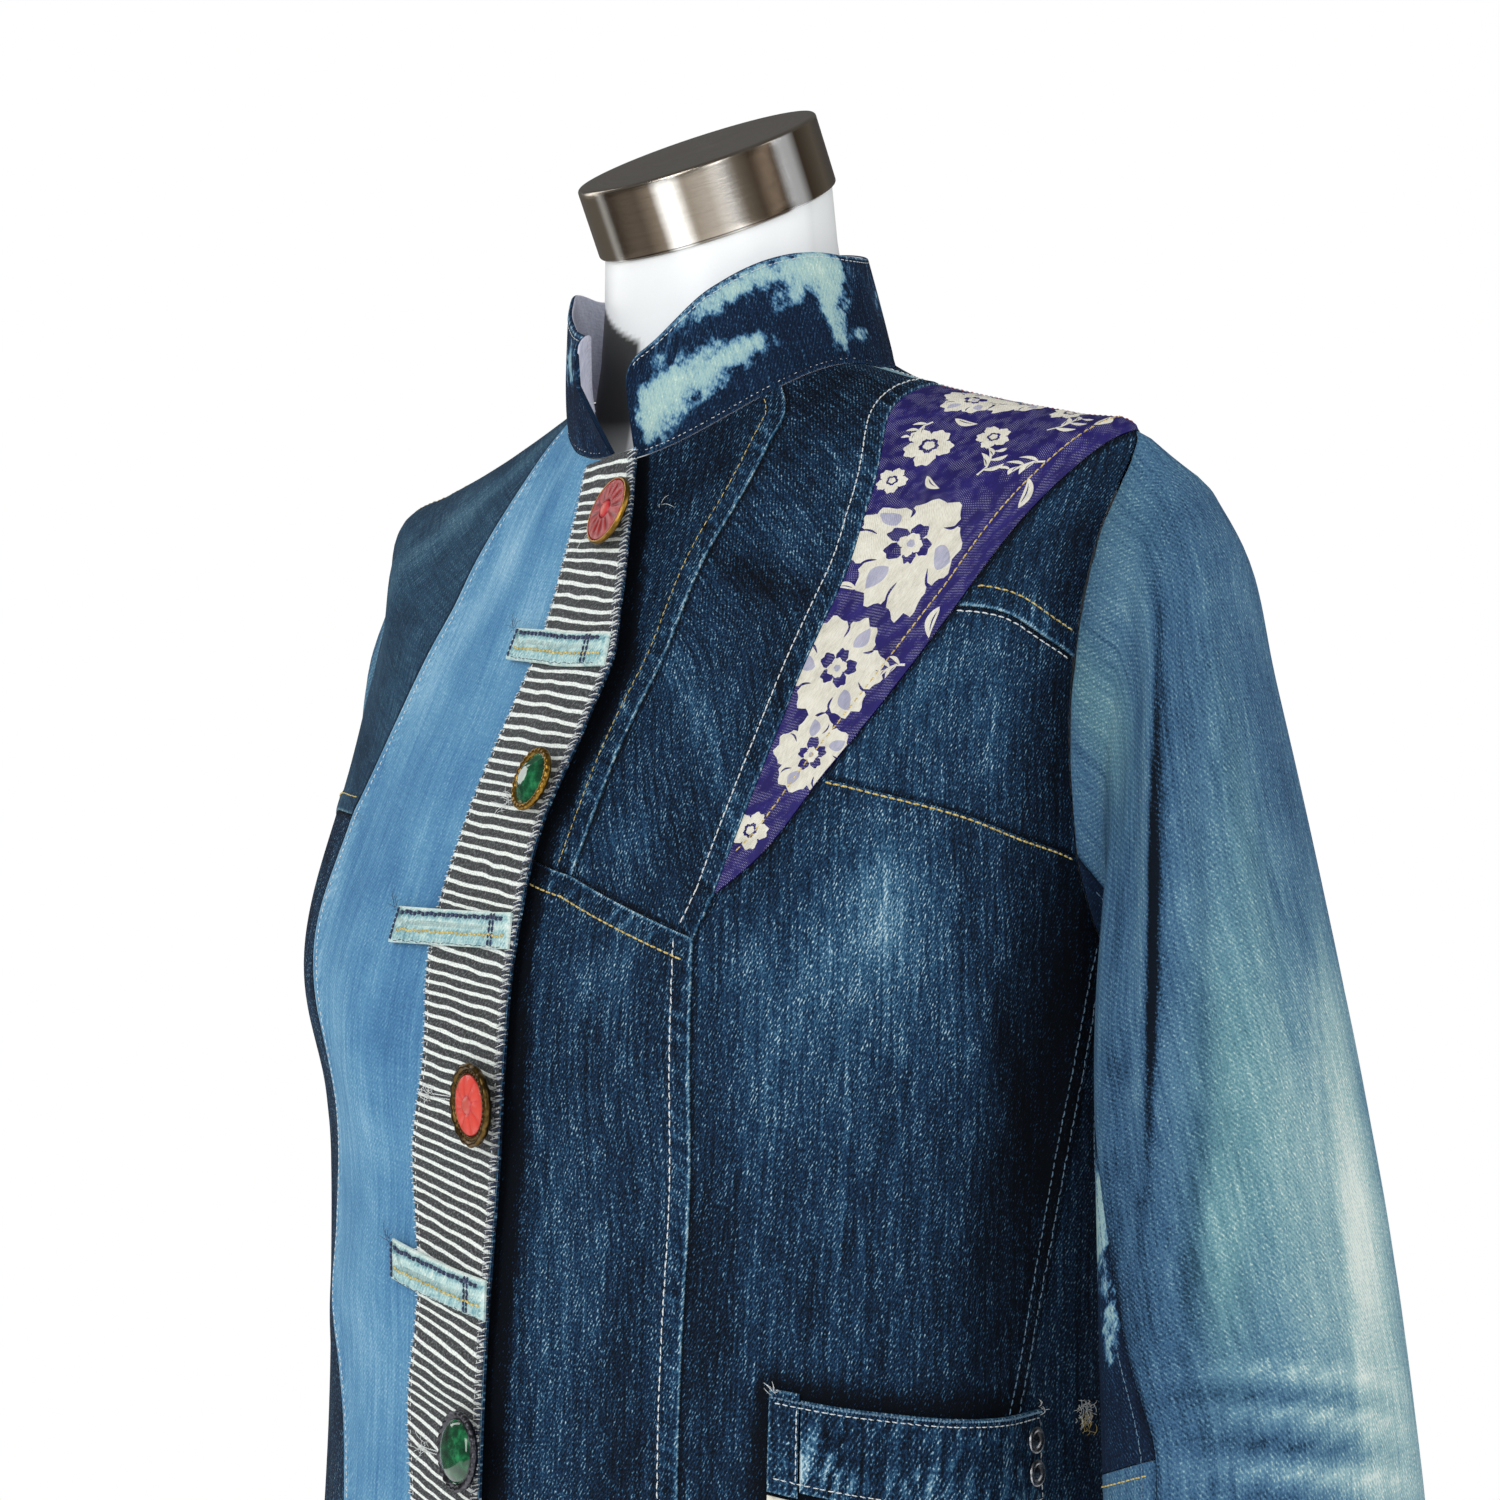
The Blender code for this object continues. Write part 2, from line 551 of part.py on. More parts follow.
def gap_to_loop(place, loop):
    """Distance from a flat point to the nearest side of a loop."""
    ends = np.array(loop)
    to = np.roll(ends, -1, axis=0) - ends
    away = np.array(place) - ends
    t = np.clip((away * to).sum(1) / (to * to).sum(1), 0, 1)
    return np.linalg.norm(away - to * t[:, None], axis=1).min()


def fill_loop(loop, cell):
    """Triangles that fill a loop of flat points, with a grid of points inside it."""
    points = [Vector(p) for p in loop]
    low = np.min(loop, axis=0)
    high = np.max(loop, axis=0)
    for i in range(int(math.floor(low[0] / cell)), int(math.ceil(high[0] / cell)) + 1):
        for j in range(int(math.floor(low[1] / cell)), int(math.ceil(high[1] / cell)) + 1):
            place = (i * cell, j * cell)
            if inside(place, loop) and gap_to_loop(place, loop) > 0.5 * cell:
                points.append(Vector(place))
    rim = [list(range(len(loop)))]
    found, _, faces, _, _, _ = delaunay_2d_cdt(points, [], rim, 1, 1e-7)
    return [tuple(p) for p in found], [tuple(f) for f in faces]


def inset_steps(rim, normals, amount):
    """How each rim point moves into its piece, along the cloth."""
    after = np.roll(rim, -1, axis=0) - rim
    before = rim - np.roll(rim, 1, axis=0)
    after /= np.linalg.norm(after, axis=1, keepdims=True)
    before /= np.linalg.norm(before, axis=1, keepdims=True)
    in_after = np.cross(after, normals)
    in_before = np.cross(before, normals)
    in_after /= np.linalg.norm(in_after, axis=1, keepdims=True)
    in_before /= np.linalg.norm(in_before, axis=1, keepdims=True)
    spread = 1 + (in_after * in_before).sum(1, keepdims=True)
    return amount * (in_after + in_before) / np.clip(spread, 0.3, 2)


def body_piece(name, loop, finish, out=None, thick=CLOTH, cell=CELL, inset=GAP / 2):
    """A piece of cloth that follows the body, bounded by a loop of places.

    out gives how far the outer face stands out from the body at each place.
    """
    scale = math.radians(1) * GIRTH_RADIUS
    flat = [(a * scale, d) for a, d in loop]
    found, faces = fill_loop(flat, cell)
    count = len(loop)
    angle = np.array([p[0] / scale for p in found])
    down = np.array([p[1] for p in found])
    lift = np.zeros(len(found)) if out is None else out(angle, down)
    normal = body_normal(angle, down)
    outer = body_point(angle, down) + normal * lift[:, None]
    steps = inset_steps(outer[:count], normal[:count], inset)
    turning = sum(x0 * y1 - x1 * y0 for (x0, y0), (x1, y1) in zip(flat, flat[1:] + flat[:1]))
    if turning < 0:
        steps = -steps
    outer[:count] += steps
    inner = outer - normal * thick
    total = len(found)
    back_faces = [tuple(total + i for i in reversed(f)) for f in faces]
    walls = []
    for i in range(count):
        j = (i + 1) % count
        walls.append((i, j, total + j, total + i))
    return add_solid(name, np.vstack([outer, inner]), faces + back_faces + walls, finish)


def lap_out(angle, down):
    """How far the right front stands out from the body where it laps over the left."""
    t = np.clip((angle - LAP_START) / LAP_SPREAD, 0, 1)
    edge = np.clip((angle - EDGE_START) / EDGE_SPREAD, 0, 1.2)
    return LAP * t * t * (3 - 2 * t) + EDGE_RISE * edge ** 1.5 + 0 * down


def on_lap(extra):
    """A piece that lies on the right front; extra is from the front to its outer face."""
    return lambda angle, down: lap_out(angle, down) + extra


def make_fronts_left():
    """The left front: a band and a panel above, two panels below, and the chest."""
    body_piece("front_left_centre_upper", closed_loop(
        seam_points("neck", "front_neck_edge", "band_neck"),
        seam_points("band"),
        seam_points("diagonal_front", "band_foot", "front_diagonal"),
        seam_points("left_edge", "front_diagonal", "front_neck_edge")), "indigo")
    body_piece("front_left_side_upper", closed_loop(
        seam_points("neck", "band_neck", "neck_point_left"),
        seam_points("shoulder", "neck_point_left", "princess_shoulder"),
        seam_points("princess"),
        seam_points("princess_low"),
        seam_points("diagonal", "princess_foot", "band_foot"),
        seam_points("band", "band_foot", "band_neck")), "indigo")
    body_piece("front_left_centre_lower", closed_loop(
        seam_points("diagonal_front"),
        seam_points("diagonal"),
        seam_points("lower"),
        seam_points("hem_left", "princess_hem", "front_hem_edge"),
        seam_points("left_edge", "front_hem_edge", "front_diagonal")), "indigo")
    body_piece("front_left_side_lower", closed_loop(
        seam_points("princess_low"),
        seam_points("lower"),
        seam_points("hem_left", "princess_hem", "side_left_hem"),
        seam_points("side_left", "side_left_hem", "armhole_165"),
        armhole_points(165, 135),
        seam_points("chest", "armhole_135", "chest_front"),
        seam_points("applique_low")), "indigo")
    body_piece("front_left_chest", closed_loop(
        seam_points("chest"),
        armhole_points(135, 90),
        seam_points("welt", "armhole_90", "welt_front"),
        seam_points("applique_edge", "welt_front", "chest_front")), "indigo")
    body_piece("front_left_shoulder", closed_loop(
        seam_points("welt"),
        armhole_points(90, 0),
        seam_points("applique_edge", "shoulder_tip_left", "welt_front")), "indigo")
    body_piece("applique_floral", closed_loop(
        seam_points("princess"),
        seam_points("applique_low", "applique_tip", "chest_front"),
        seam_points("applique_edge", "chest_front", "shoulder_tip_left"),
        seam_points("shoulder", "shoulder_tip_left", "princess_shoulder")), "floral")


def make_fronts_right():
    """The right front: a light blue centre panel, a yoke and a side panel."""
    body_piece("front_right_centre", closed_loop(
        seam_points("neck_right", "light_blue_neck", "right_edge_neck"),
        seam_points("right_edge"),
        seam_points("hem_right", "right_edge_hem", "light_blue_hem"),
        seam_points("light_blue_low", "light_blue_hem", "right_yoke_front"),
        seam_points("light_blue", "right_yoke_front", "light_blue_neck")),
        "light_blue", out=lap_out)
    body_piece("front_right_yoke", closed_loop(
        seam_points("light_blue"),
        seam_points("right_yoke"),
        armhole_points(135, 0, "right"),
        seam_points("shoulder_right", "shoulder_tip_right", "neck_point_right"),
        seam_points("neck_right", "neck_point_right", "light_blue_neck")),
        "indigo", out=lap_out)
    body_piece("front_right_side", closed_loop(
        seam_points("right_yoke"),
        armhole_points(135, 165, "right"),
        seam_points("side_right"),
        seam_points("hem_right", "side_right_hem", "light_blue_hem"),
        seam_points("light_blue_low", "light_blue_hem", "right_yoke_front")),
        "indigo", out=lap_out)


def make_back():
    """The back: a yoke, a pale strip behind the left shoulder seam and three panels."""
    body_piece("back_shoulder_strip", closed_loop(
        seam_points("neck", "neck_point_left", "strip_neck"),
        seam_points("strip"),
        seam_points("shoulder", "strip_end", "neck_point_left")), "bleached")
    body_piece("back_yoke", closed_loop(
        seam_points("neck_back"),
        shifted(seam_points("shoulder_right"), 360),
        armhole_points(345, 285, "back"),
        seam_points("yoke_right", "back_armhole_285", "yoke_back_right"),
        seam_points("yoke_back", "yoke_back_right", "yoke_back_left"),
        seam_points("yoke_left", "yoke_back_left", "armhole_285"),
        armhole_points(285, 345),
        seam_points("shoulder", "shoulder_tip_left", "strip_end"),
        seam_points("strip", "strip_end", "strip_neck")), "indigo")
    body_piece("back_left", closed_loop(
        seam_points("yoke_left"),
        seam_points("back_left"),
        seam_points("hem_back", "back_left_hem", "side_left_hem"),
        seam_points("side_left", "side_left_hem", "armhole_165"),
        armhole_points(165, 285)), "indigo")
    body_piece("back_centre", closed_loop(
        seam_points("yoke_back"),
        seam_points("back_right"),
        seam_points("hem_back", "back_right_hem", "back_left_hem"),
        seam_points("back_left", "back_left_hem", "yoke_back_left")), "light_blue")
    body_piece("back_right", closed_loop(
        seam_points("yoke_right"),
        armhole_points(285, 165, "back"),
        shifted(seam_points("side_right"), 360),
        seam_points("hem_back", "side_back_hem", "back_right_hem"),
        seam_points("back_right", "back_right_hem", "yoke_back_right")), "indigo")


def collar_point(angle, up, out=0.0):
    """A point of the stand collar, up metres along it from the neck seam."""
    half = (np.asarray(angle) + 180) % 360 - 180
    lap = np.where(half > COLLAR_LEFT_END - 2, 0, lap_out(half, 0 * half))
    base = body_point(angle, np.zeros(np.shape(angle)), lap)
    turn = np.radians(angle)
    axis = np.array([0, -math.sin(COLLAR_LEAN), math.cos(COLLAR_LEAN)])
    away = np.stack([np.sin(turn), -np.cos(turn) * math.cos(COLLAR_LEAN),
                     -np.cos(turn) * math.sin(COLLAR_LEAN)], -1)
    side = np.abs((np.asarray(angle) + 180) % 360 - 180)
    front = np.clip((105 - side) / 55, 0, 1)
    flare = COLLAR_PULL * front * front * (3 - 2 * front) * (up / COLLAR_HEIGHT) ** 1.3
    return base + axis * up[..., None] + away * (flare + out)[..., None]


def make_collar():
    """The stand collar, open at the front, with rounded front corners."""
    start = COLLAR_LEFT_END
    end = COLLAR_RIGHT_END
    columns = 44
    rows = 4
    corner = COLLAR_CORNER
    share = np.linspace(0, 1, columns + 1)
    angles = start + (end - start) * share
    angles[1] = start + 2.5
    angles[2] = start + 6.0
    angles[-2] = end - 2.5
    angles[-3] = end - 6.0
    arc = np.minimum(angles - start, end - angles) * math.radians(1) * NECK_RADIUS
    round_off = np.clip(1 - arc / corner, 0, 1)
    low = np.clip(1 - (angles - start) / 38, 0, 1)
    top = COLLAR_HEIGHT - COLLAR_DROP * low * low * (3 - 2 * low)
    top = top - corner * (1 - np.sqrt(1 - round_off ** 2))
    points = []
    for out in (0.0, -COLLAR_CLOTH):
        for row in range(rows + 1):
            up = GAP + (top - GAP) * row / rows
            points.append(collar_point(angles, up, np.full(columns + 1, out)))
    grid = np.vstack(points)
    faces = grid_faces(rows, columns, closed=False)
    add_solid("collar", grid, faces, "indigo")


def grid_faces(rows, columns, closed):
    """Faces of a wall whose outer grid of points comes first, then its inner grid."""
    across = columns if closed else columns + 1
    shift = (rows + 1) * across

    def at(row, column, layer):
        return layer * shift + row * across + column % across

    faces = []
    for row in range(rows):
        for column in range(columns):
            for layer in (0, 1):
                quad = (at(row, column, layer), at(row, column + 1, layer),
                        at(row + 1, column + 1, layer), at(row + 1, column, layer))
                faces.append(quad if layer == 0 else quad[::-1])
    for column in range(columns):
        for row in (0, rows):
            faces.append((at(row, column, 0), at(row, column + 1, 0),
                          at(row, column + 1, 1), at(row, column, 1)))
    if not closed:
        for row in range(rows):
            for column in (0, columns):
                faces.append((at(row, column, 0), at(row + 1, column, 0),
                              at(row + 1, column, 1), at(row, column, 1)))
    return faces


def sleeve_point(turn, row, side="left"):
    """A point of a sleeve's outer face, as if on the wearer's left.

    Row 0 is the armhole, and each section of the table is one row more.
    """
    turn, row = np.broadcast_arrays(np.asarray(turn, float), np.asarray(row, float))
    table = np.column_stack([np.arange(1, CUFF_ROW + 1), np.array(SLEEVES[side])])
    value = smooth_rows(table, np.clip(row, 1, CUFF_ROW))
    outer_x, outer_z, inner_x, inner_z, centre_y, half_depth = np.moveaxis(value, -1, 0)
    angle = np.radians(turn)
    c = np.cos(angle)
    s = np.sin(angle)
    across = np.sign(c) * np.abs(c) ** SLEEVE_SQUARE
    deep = np.sign(s) * np.abs(s) ** SLEEVE_SQUARE
    x = (outer_x + inner_x) / 2 + (outer_x - inner_x) / 2 * across
    z = (outer_z + inner_z) / 2 + (outer_z - inner_z) / 2 * across
    y = centre_y - half_depth * deep
    folds = fold_height(SLEEVE_FOLDS, np.mod(turn, 360), row, 1.0, 15.0)
    reach = np.clip(row - 0.5, 0, 1)
    tube = np.stack([x + folds * reach * across, y - folds * reach * deep, z], -1)
    place = smooth_rows(ARMHOLE, np.mod(turn, 360), closed=True)
    edge_angle, edge_down = np.moveaxis(place, -1, 0)
    edge = body_point(edge_angle, edge_down) + 1.6 * GAP * body_normal(edge_angle, edge_down)
    middle = body_point(96.0, 0.195)
    toward = middle - edge
    toward /= np.linalg.norm(toward, axis=-1, keepdims=True)
    edge = edge + toward * GAP
    blend = np.clip(row, 0, 1)[..., None]
    return edge * (1 - blend) + tube * blend


def sleeve_normal(turn, row, side="left"):
    """The outward direction of a sleeve's surface."""
    across = sleeve_point(turn + 1.0, row, side) - sleeve_point(turn - 1.0, row, side)
    low = np.clip(row - 0.1, 0, CUFF_ROW)
    high = np.clip(row + 0.1, 0, CUFF_ROW)
    along = sleeve_point(turn, high, side) - sleeve_point(turn, low, side)
    normal = np.cross(across, along)
    return normal / np.linalg.norm(normal, axis=-1, keepdims=True)


def front_seam(side, rows):
    """The turn of a sleeve's seam in front at each of the rows."""
    return smooth_rows(FRONT_SEAM[side], rows)[..., 0]


def sleeve_piece(name, part, finish, side, first_row=0.0, last_row=float(CUFF_ROW)):
    """The upper or the under piece of a sleeve between two rows."""
    marks = [0.5, CROSS_SEAM] + [float(k) for k in range(CUFF_ROW)]
    between = [row for row in marks if first_row + 0.1 < row < last_row - 0.1]
    rows = np.array([first_row] + sorted(between) + [last_row])
    if part == "upper":
        start = np.full(len(rows), BACK_SEAM - 360.0)
        end = front_seam(side, rows)
        columns = (FRONT_SEAM[side][0].turn - BACK_SEAM + 360) / TURN_STEP
    else:
        start = front_seam(side, rows)
        end = np.full(len(rows), float(BACK_SEAM))
        columns = (BACK_SEAM - FRONT_SEAM[side][0].turn) / TURN_STEP
    turns = np.linspace(0, 1, round(columns) + 1)
    grid_turn = start[:, None] + (end - start)[:, None] * turns
    grid_row = np.broadcast_to(rows[:, None], grid_turn.shape)
    outer = sleeve_point(grid_turn, grid_row, side)
    normal = sleeve_normal(grid_turn, grid_row, side)
    around = sleeve_point(grid_turn + 1.0, grid_row, side) - outer
    around /= np.linalg.norm(around, axis=-1, keepdims=True)
    outer[:, 0] += around[:, 0] * GAP / 2
    outer[:, -1] -= around[:, -1] * GAP / 2
    inner = outer - normal * CLOTH
    grid = np.vstack([outer.reshape(-1, 3), inner.reshape(-1, 3)])
    if side == "right":
        grid = grid * np.array([-1, 1, 1])
    faces = grid_faces(len(rows) - 1, len(turns) - 1, closed=False)
    add_solid(name, grid, faces, finish)


def make_sleeves():
    """Both sleeves, each an upper piece and an under piece; the left under one is in two."""
    for side in SLEEVES:
        sleeve_piece("sleeve_" + side + "_upper", "upper", "sleeve_blue", side)
    sleeve_piece("sleeve_left_under", "under", "indigo", "left",
                 last_row=CROSS_SEAM - CROSS_GAP)
    sleeve_piece("sleeve_left_under_low", "under", "sleeve_blue", "left",
                 first_row=CROSS_SEAM + CROSS_GAP)
    sleeve_piece("sleeve_right_under", "under", "indigo", "right")


def make_placket():
    """The striped strip along the right front's edge."""
    right = [(a - PLACKET_INSET, d) for a, d in seam_points("right_edge")]
    right[0] = (right[0][0], PLACKET_END)
    right[-1] = (right[-1][0], JACKET_LENGTH - PLACKET_END)
    left = smooth_line(PLACKET_LEFT, SEAM_STEP)
    body_piece("placket_stripe", closed_loop(right, left[::-1]), "stripe",
               out=on_lap(PATCH_GAP + PLACKET_CLOTH), thick=PLACKET_CLOTH, cell=0.020)


def straight_line(start, end, count):
    """Places from start to end whose heights rise evenly, like a strip pulled straight."""
    heights = np.linspace(body_point(*start)[2], body_point(*end)[2], count)
    angles = np.linspace(start[0], end[0], count)
    downs = np.linspace(start[1], end[1], count)
    for _ in range(6):
        error = body_point(angles, downs)[:, 2] - heights
        downs = downs + error
    return list(zip(angles.tolist(), downs.tolist()))


def smooth_line(knots, step):
    """Places along a smooth line through the knots."""
    flat = np.array([(a * math.radians(1) * GIRTH_RADIUS, d) for a, d in knots])
    run = np.concatenate([[0], np.cumsum(np.linalg.norm(np.diff(flat, axis=0), axis=1))])
    rows = np.column_stack([run, np.array(knots, float)])
    count = max(1, round(run[-1] / step))
    found = smooth_rows(rows, np.linspace(0, run[-1], count + 1))
    return [tuple(p) for p in found]


def make_tabs():
    """The belt-loop tabs sewn across the placket strip between the buttons."""
    extra = PATCH_GAP + PLACKET_CLOTH + PATCH_GAP + TAB_CLOTH
    for tab in TABS:
        ends = [(tab.left, tab.down_left), (tab.right, tab.down_right)]
        top = np.array(straight_line(ends[0], ends[1], 7))
        bottom = top[::-1] + np.array([0, tab.height])
        loop = [tuple(p) for p in np.vstack([top, bottom])]
        body_piece(tab.name, loop, "aqua", out=on_lap(extra), thick=TAB_CLOTH, cell=COARSE)


def spun(profile, sides):
    """Points and faces of a closed turned solid; profile is (radius, height) pairs."""
    points = []
    faces = []
    for radius, height in profile:
        for k in range(sides):
            turn = 2 * math.pi * k / sides
            points.append((radius * math.cos(turn), radius * math.sin(turn), height))
    for ring in range(len(profile) - 1):
        for k in range(sides):
            j = (k + 1) % sides
            faces.append((ring * sides + k, ring * sides + j,
                          (ring + 1) * sides + j, (ring + 1) * sides + k))
    faces.append(tuple(range(sides))[::-1])
    faces.append(tuple((len(profile) - 1) * sides + k for k in range(sides)))
    return np.array(points), faces


def facing_frame(normal):
    """The level direction, the one up the face and the outward one of a round piece."""
    side = np.cross((0, 0, 1), normal)
    side /= np.linalg.norm(side)
    return np.stack([side, np.cross(normal, side), normal])


def strip_place(angle, down, extra):
    """A point of the right front near its edge, and the outward direction there."""
    step_angle = 1.0
    step_down = 0.004
    angles = angle + step_angle * np.array([0, 1, -1, 0, 0])
    downs = down + step_down * np.array([0, 0, 0, 1, -1])
    points = body_point(angles, downs, lap_out(angles, downs) + extra)
    normal = np.cross(points[3] - points[4], points[1] - points[2])
    normal /= np.linalg.norm(normal)
    return points[0], normal[0], normal[1], normal[2]


def make_button(button):
    """A domed button with a rim, on a short shank whose foot lies on the placket strip."""
    r = button.radius
    profile = [(SHANK_RADIUS, 0.0), (SHANK_RADIUS, SHANK), (r * 0.92, SHANK + 0.0002),
               (r, SHANK + 0.0010), (r, SHANK + 0.0022), (r - BUTTON_RIM, SHANK + 0.0028),
               (r * 0.62, SHANK + 0.0044), (r * 0.25, SHANK + 0.0052)]
    sides = 20
    points, faces = spun(profile, sides)
    extra = PATCH_GAP + PLACKET_CLOTH + BUTTON_GAP
    centre, x, y, z = strip_place(button.angle, button.down, extra)
    c = math.cos(BUTTON_TURN)
    s = math.sin(BUTTON_TURN)
    facing = facing_frame(np.array([c * x - s * y, s * x + c * y, z]))
    placed = points @ facing + centre
    foot = points[:sides] @ facing_frame(np.array([x, y, z])) + centre
    placed[:sides] = foot
    add_solid(button.name, placed, faces, button.finish)


def pocket_piece(name, first, last, shift, depth, finish, extra, thick, cell=COARSE):
    """A piece of the pocket between two angles, depth tall, under the pocket's top edge."""
    rows = np.array(smooth_line(POCKET_TOP, 0.010))
    angles = np.linspace(first, last, max(2, round((last - first) / 4.5) + 1))
    downs = np.interp(angles, rows[:, 0], rows[:, 1]) + shift
    top = list(zip(angles.tolist(), downs.tolist()))
    steps = max(1, round(depth / 0.024))
    right = [(last, downs[-1] + depth * k / steps) for k in range(1, steps)]
    left = [(first, downs[0] + depth * k / steps) for k in range(1, steps)]
    bottom = [(a, d + depth) for a, d in top]
    loop = top + right + bottom[::-1] + left[::-1]
    body_piece(name, loop, finish, out=lambda a, d: 0 * a + extra + thick, thick=thick,
               cell=cell)


def make_pocket():
    """The waistband pocket on the left front, with its end strip and two rivets."""
    start = POCKET_TOP[0][0]
    end = POCKET_TOP[-1][0]
    pocket_piece("pocket_end_loop", start, start + POCKET_LOOP, -LOOP_PROUD,
                 POCKET_BAND + 2 * LOOP_PROUD, "indigo", PATCH_GAP, POCKET_CLOTH)
    pocket_piece("pocket_band", start + POCKET_LOOP + 0.15, end, 0.0, POCKET_BAND, "indigo",
                 PATCH_GAP, POCKET_CLOTH)
    low = POCKET_BAND + POCKET_SEAM
    pocket_piece("pocket_strip", start, end, low, POCKET_STRIP, "cream", PATCH_GAP, CLOTH)
    pocket_piece("pocket_bag", start, end, low + POCKET_STRIP + GAP, POCKET_DEPTH - low,
                 "indigo", 1.7 * PATCH_GAP, CLOTH, CELL)
    for k, (angle, down) in enumerate(RIVETS):
        points, faces = spun([(0.0050, 0.0), (0.0050, 0.0010), (0.0036, 0.0018),
                              (0.0015, 0.0021)], 12)
        centre = body_point(angle, down, 2 * PATCH_GAP + POCKET_CLOTH)
        facing = facing_frame(body_normal(angle, down))
        add_solid("pocket_rivet_" + str(k + 1), points @ facing + centre, faces, "pewter")


def form_point(angles, down):
    """Points of the form under the jacket, nearest to the cloth along the shoulders."""
    side = np.abs((angles + 180) % 360 - 180)
    along = np.exp(-((down - SHOULDER_DOWN) / SHOULDER_LONG) ** 4)
    near = along * np.exp(-((side - SHOULDER_ANGLE) / SHOULDER_WIDE) ** 2)
    inset = CLOTH + CLEAR + (REST - CLEAR) * near
    return body_point(angles, np.full(len(angles), down), -inset)


def make_form():
    """The dress form: a whole torso under the jacket with its neck."""
    sides = 36
    angles = np.arange(sides) * 360.0 / sides
    rings = []
    low = form_point(angles, JACKET_LENGTH)
    for height, share in FORM_FOOT:
        ring = low * np.array([share, share, 0])
        ring[:, 2] = FORM_BOTTOM + height
        rings.append(ring)
    for down in FORM_RINGS:
        rings.append(form_point(angles, down))
    turn = np.radians(angles)
    foot = np.array(NECK_FOOT)
    head = np.array(CAP_CENTRE) - GAP * tilted_axis(CAP_TILT)
    for share, radius in NECK_RINGS:
        centre = foot * (1 - share) + head * share
        tilt = COLLAR_LEAN + (CAP_TILT - COLLAR_LEAN) * share
        rings.append(tilted_ring(centre, radius, tilt, turn))
    grid = np.vstack(rings)
    add_solid("form_torso", grid, tube_faces(len(rings), sides), "white")


def tilted_axis(tilt):
    """The direction up the neck at a forward tilt."""
    return np.array([0, -math.sin(tilt), math.cos(tilt)])


def tilted_ring(centre, radius, tilt, turn):
    """Points of a circle whose plane tilts forward; turn 0 is at the front."""
    forward = np.array([0, -math.cos(tilt), -math.sin(tilt)])
    left = np.array([1.0, 0, 0])
    return centre + radius * (np.outer(np.cos(turn), forward) + np.outer(np.sin(turn), left))


def tube_faces(count, sides):
    """Faces of a stack of rings, closed at both ends."""
    faces = []
    for ring in range(count - 1):
        for k in range(sides):
            j = (k + 1) % sides
            faces.append((ring * sides + k, ring * sides + j,
                          (ring + 1) * sides + j, (ring + 1) * sides + k))
    faces.append(tuple(range(sides))[::-1])
    faces.append(tuple((count - 1) * sides + k for k in range(sides)))
    return faces


def make_cap():
    """The metal cap on the neck, tilted with it."""
    sides = 48
    turn = np.radians(np.arange(sides) * 360.0 / sides)
    axis = tilted_axis(CAP_TILT)
    rings = []
    for height, radius in ((0.0, CAP_RADIUS - CAP_EDGE), (CAP_EDGE, CAP_RADIUS),
                           (CAP_HEIGHT - CAP_EDGE, CAP_RADIUS),
                           (CAP_HEIGHT, CAP_RADIUS - CAP_EDGE)):
        rings.append(tilted_ring(np.array(CAP_CENTRE) + axis * height, radius, CAP_TILT, turn))
    add_solid("neck_cap", np.vstack(rings), tube_faces(len(rings), sides), "nickel")


def make_stand():
    """A round pole in a hub on a round base."""
    points, faces = spun([(BASE_RADIUS, 0.0), (BASE_RADIUS, BASE_HEIGHT - BASE_BEVEL),
                          (BASE_RADIUS - BASE_BEVEL, BASE_HEIGHT)], 64)
    add_solid("stand_base", points, faces, "steel")
    points, faces = spun([(HUB_RADIUS, BASE_HEIGHT + GAP), (HUB_RADIUS, HUB_HEIGHT - 0.012),
                          (HUB_RADIUS - 0.008, HUB_HEIGHT)], 32)
    add_solid("stand_hub", points, faces, "steel")
    points, faces = spun([(POLE_RADIUS, HUB_HEIGHT + GAP), (POLE_RADIUS, FORM_BOTTOM - GAP)],
                         24)
    add_solid("stand_pole", points, faces, "steel")


def main():
    """Clear the scene and make every piece."""
    for old in list(bpy.data.objects):
        bpy.data.objects.remove(old, do_unlink=True)
    make_form()
    make_cap()
    make_stand()
    make_fronts_left()
    make_fronts_right()
    make_back()
    make_collar()
    make_sleeves()
    make_placket()
    make_tabs()
    for button in BUTTONS:
        make_button(button)
    make_pocket()


main()
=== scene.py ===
"""The looks of the pieced denim jacket on its limbless dress form.

Metres, +Z up. The wearer faces -Y and the wearer's left is +X. A place on the jacket's body
is the angle round it in degrees, 0 at the centre front and 90 at the wearer's left side, and
the distance down from the neck seam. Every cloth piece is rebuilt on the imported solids' own
form with a fine mesh, seam folds, creases, stitches and frayed threads.
"""

import math
from collections import namedtuple

import bmesh
import bpy
import numpy as np
from mathutils import Matrix, Vector
from mathutils.geometry import delaunay_2d_cdt

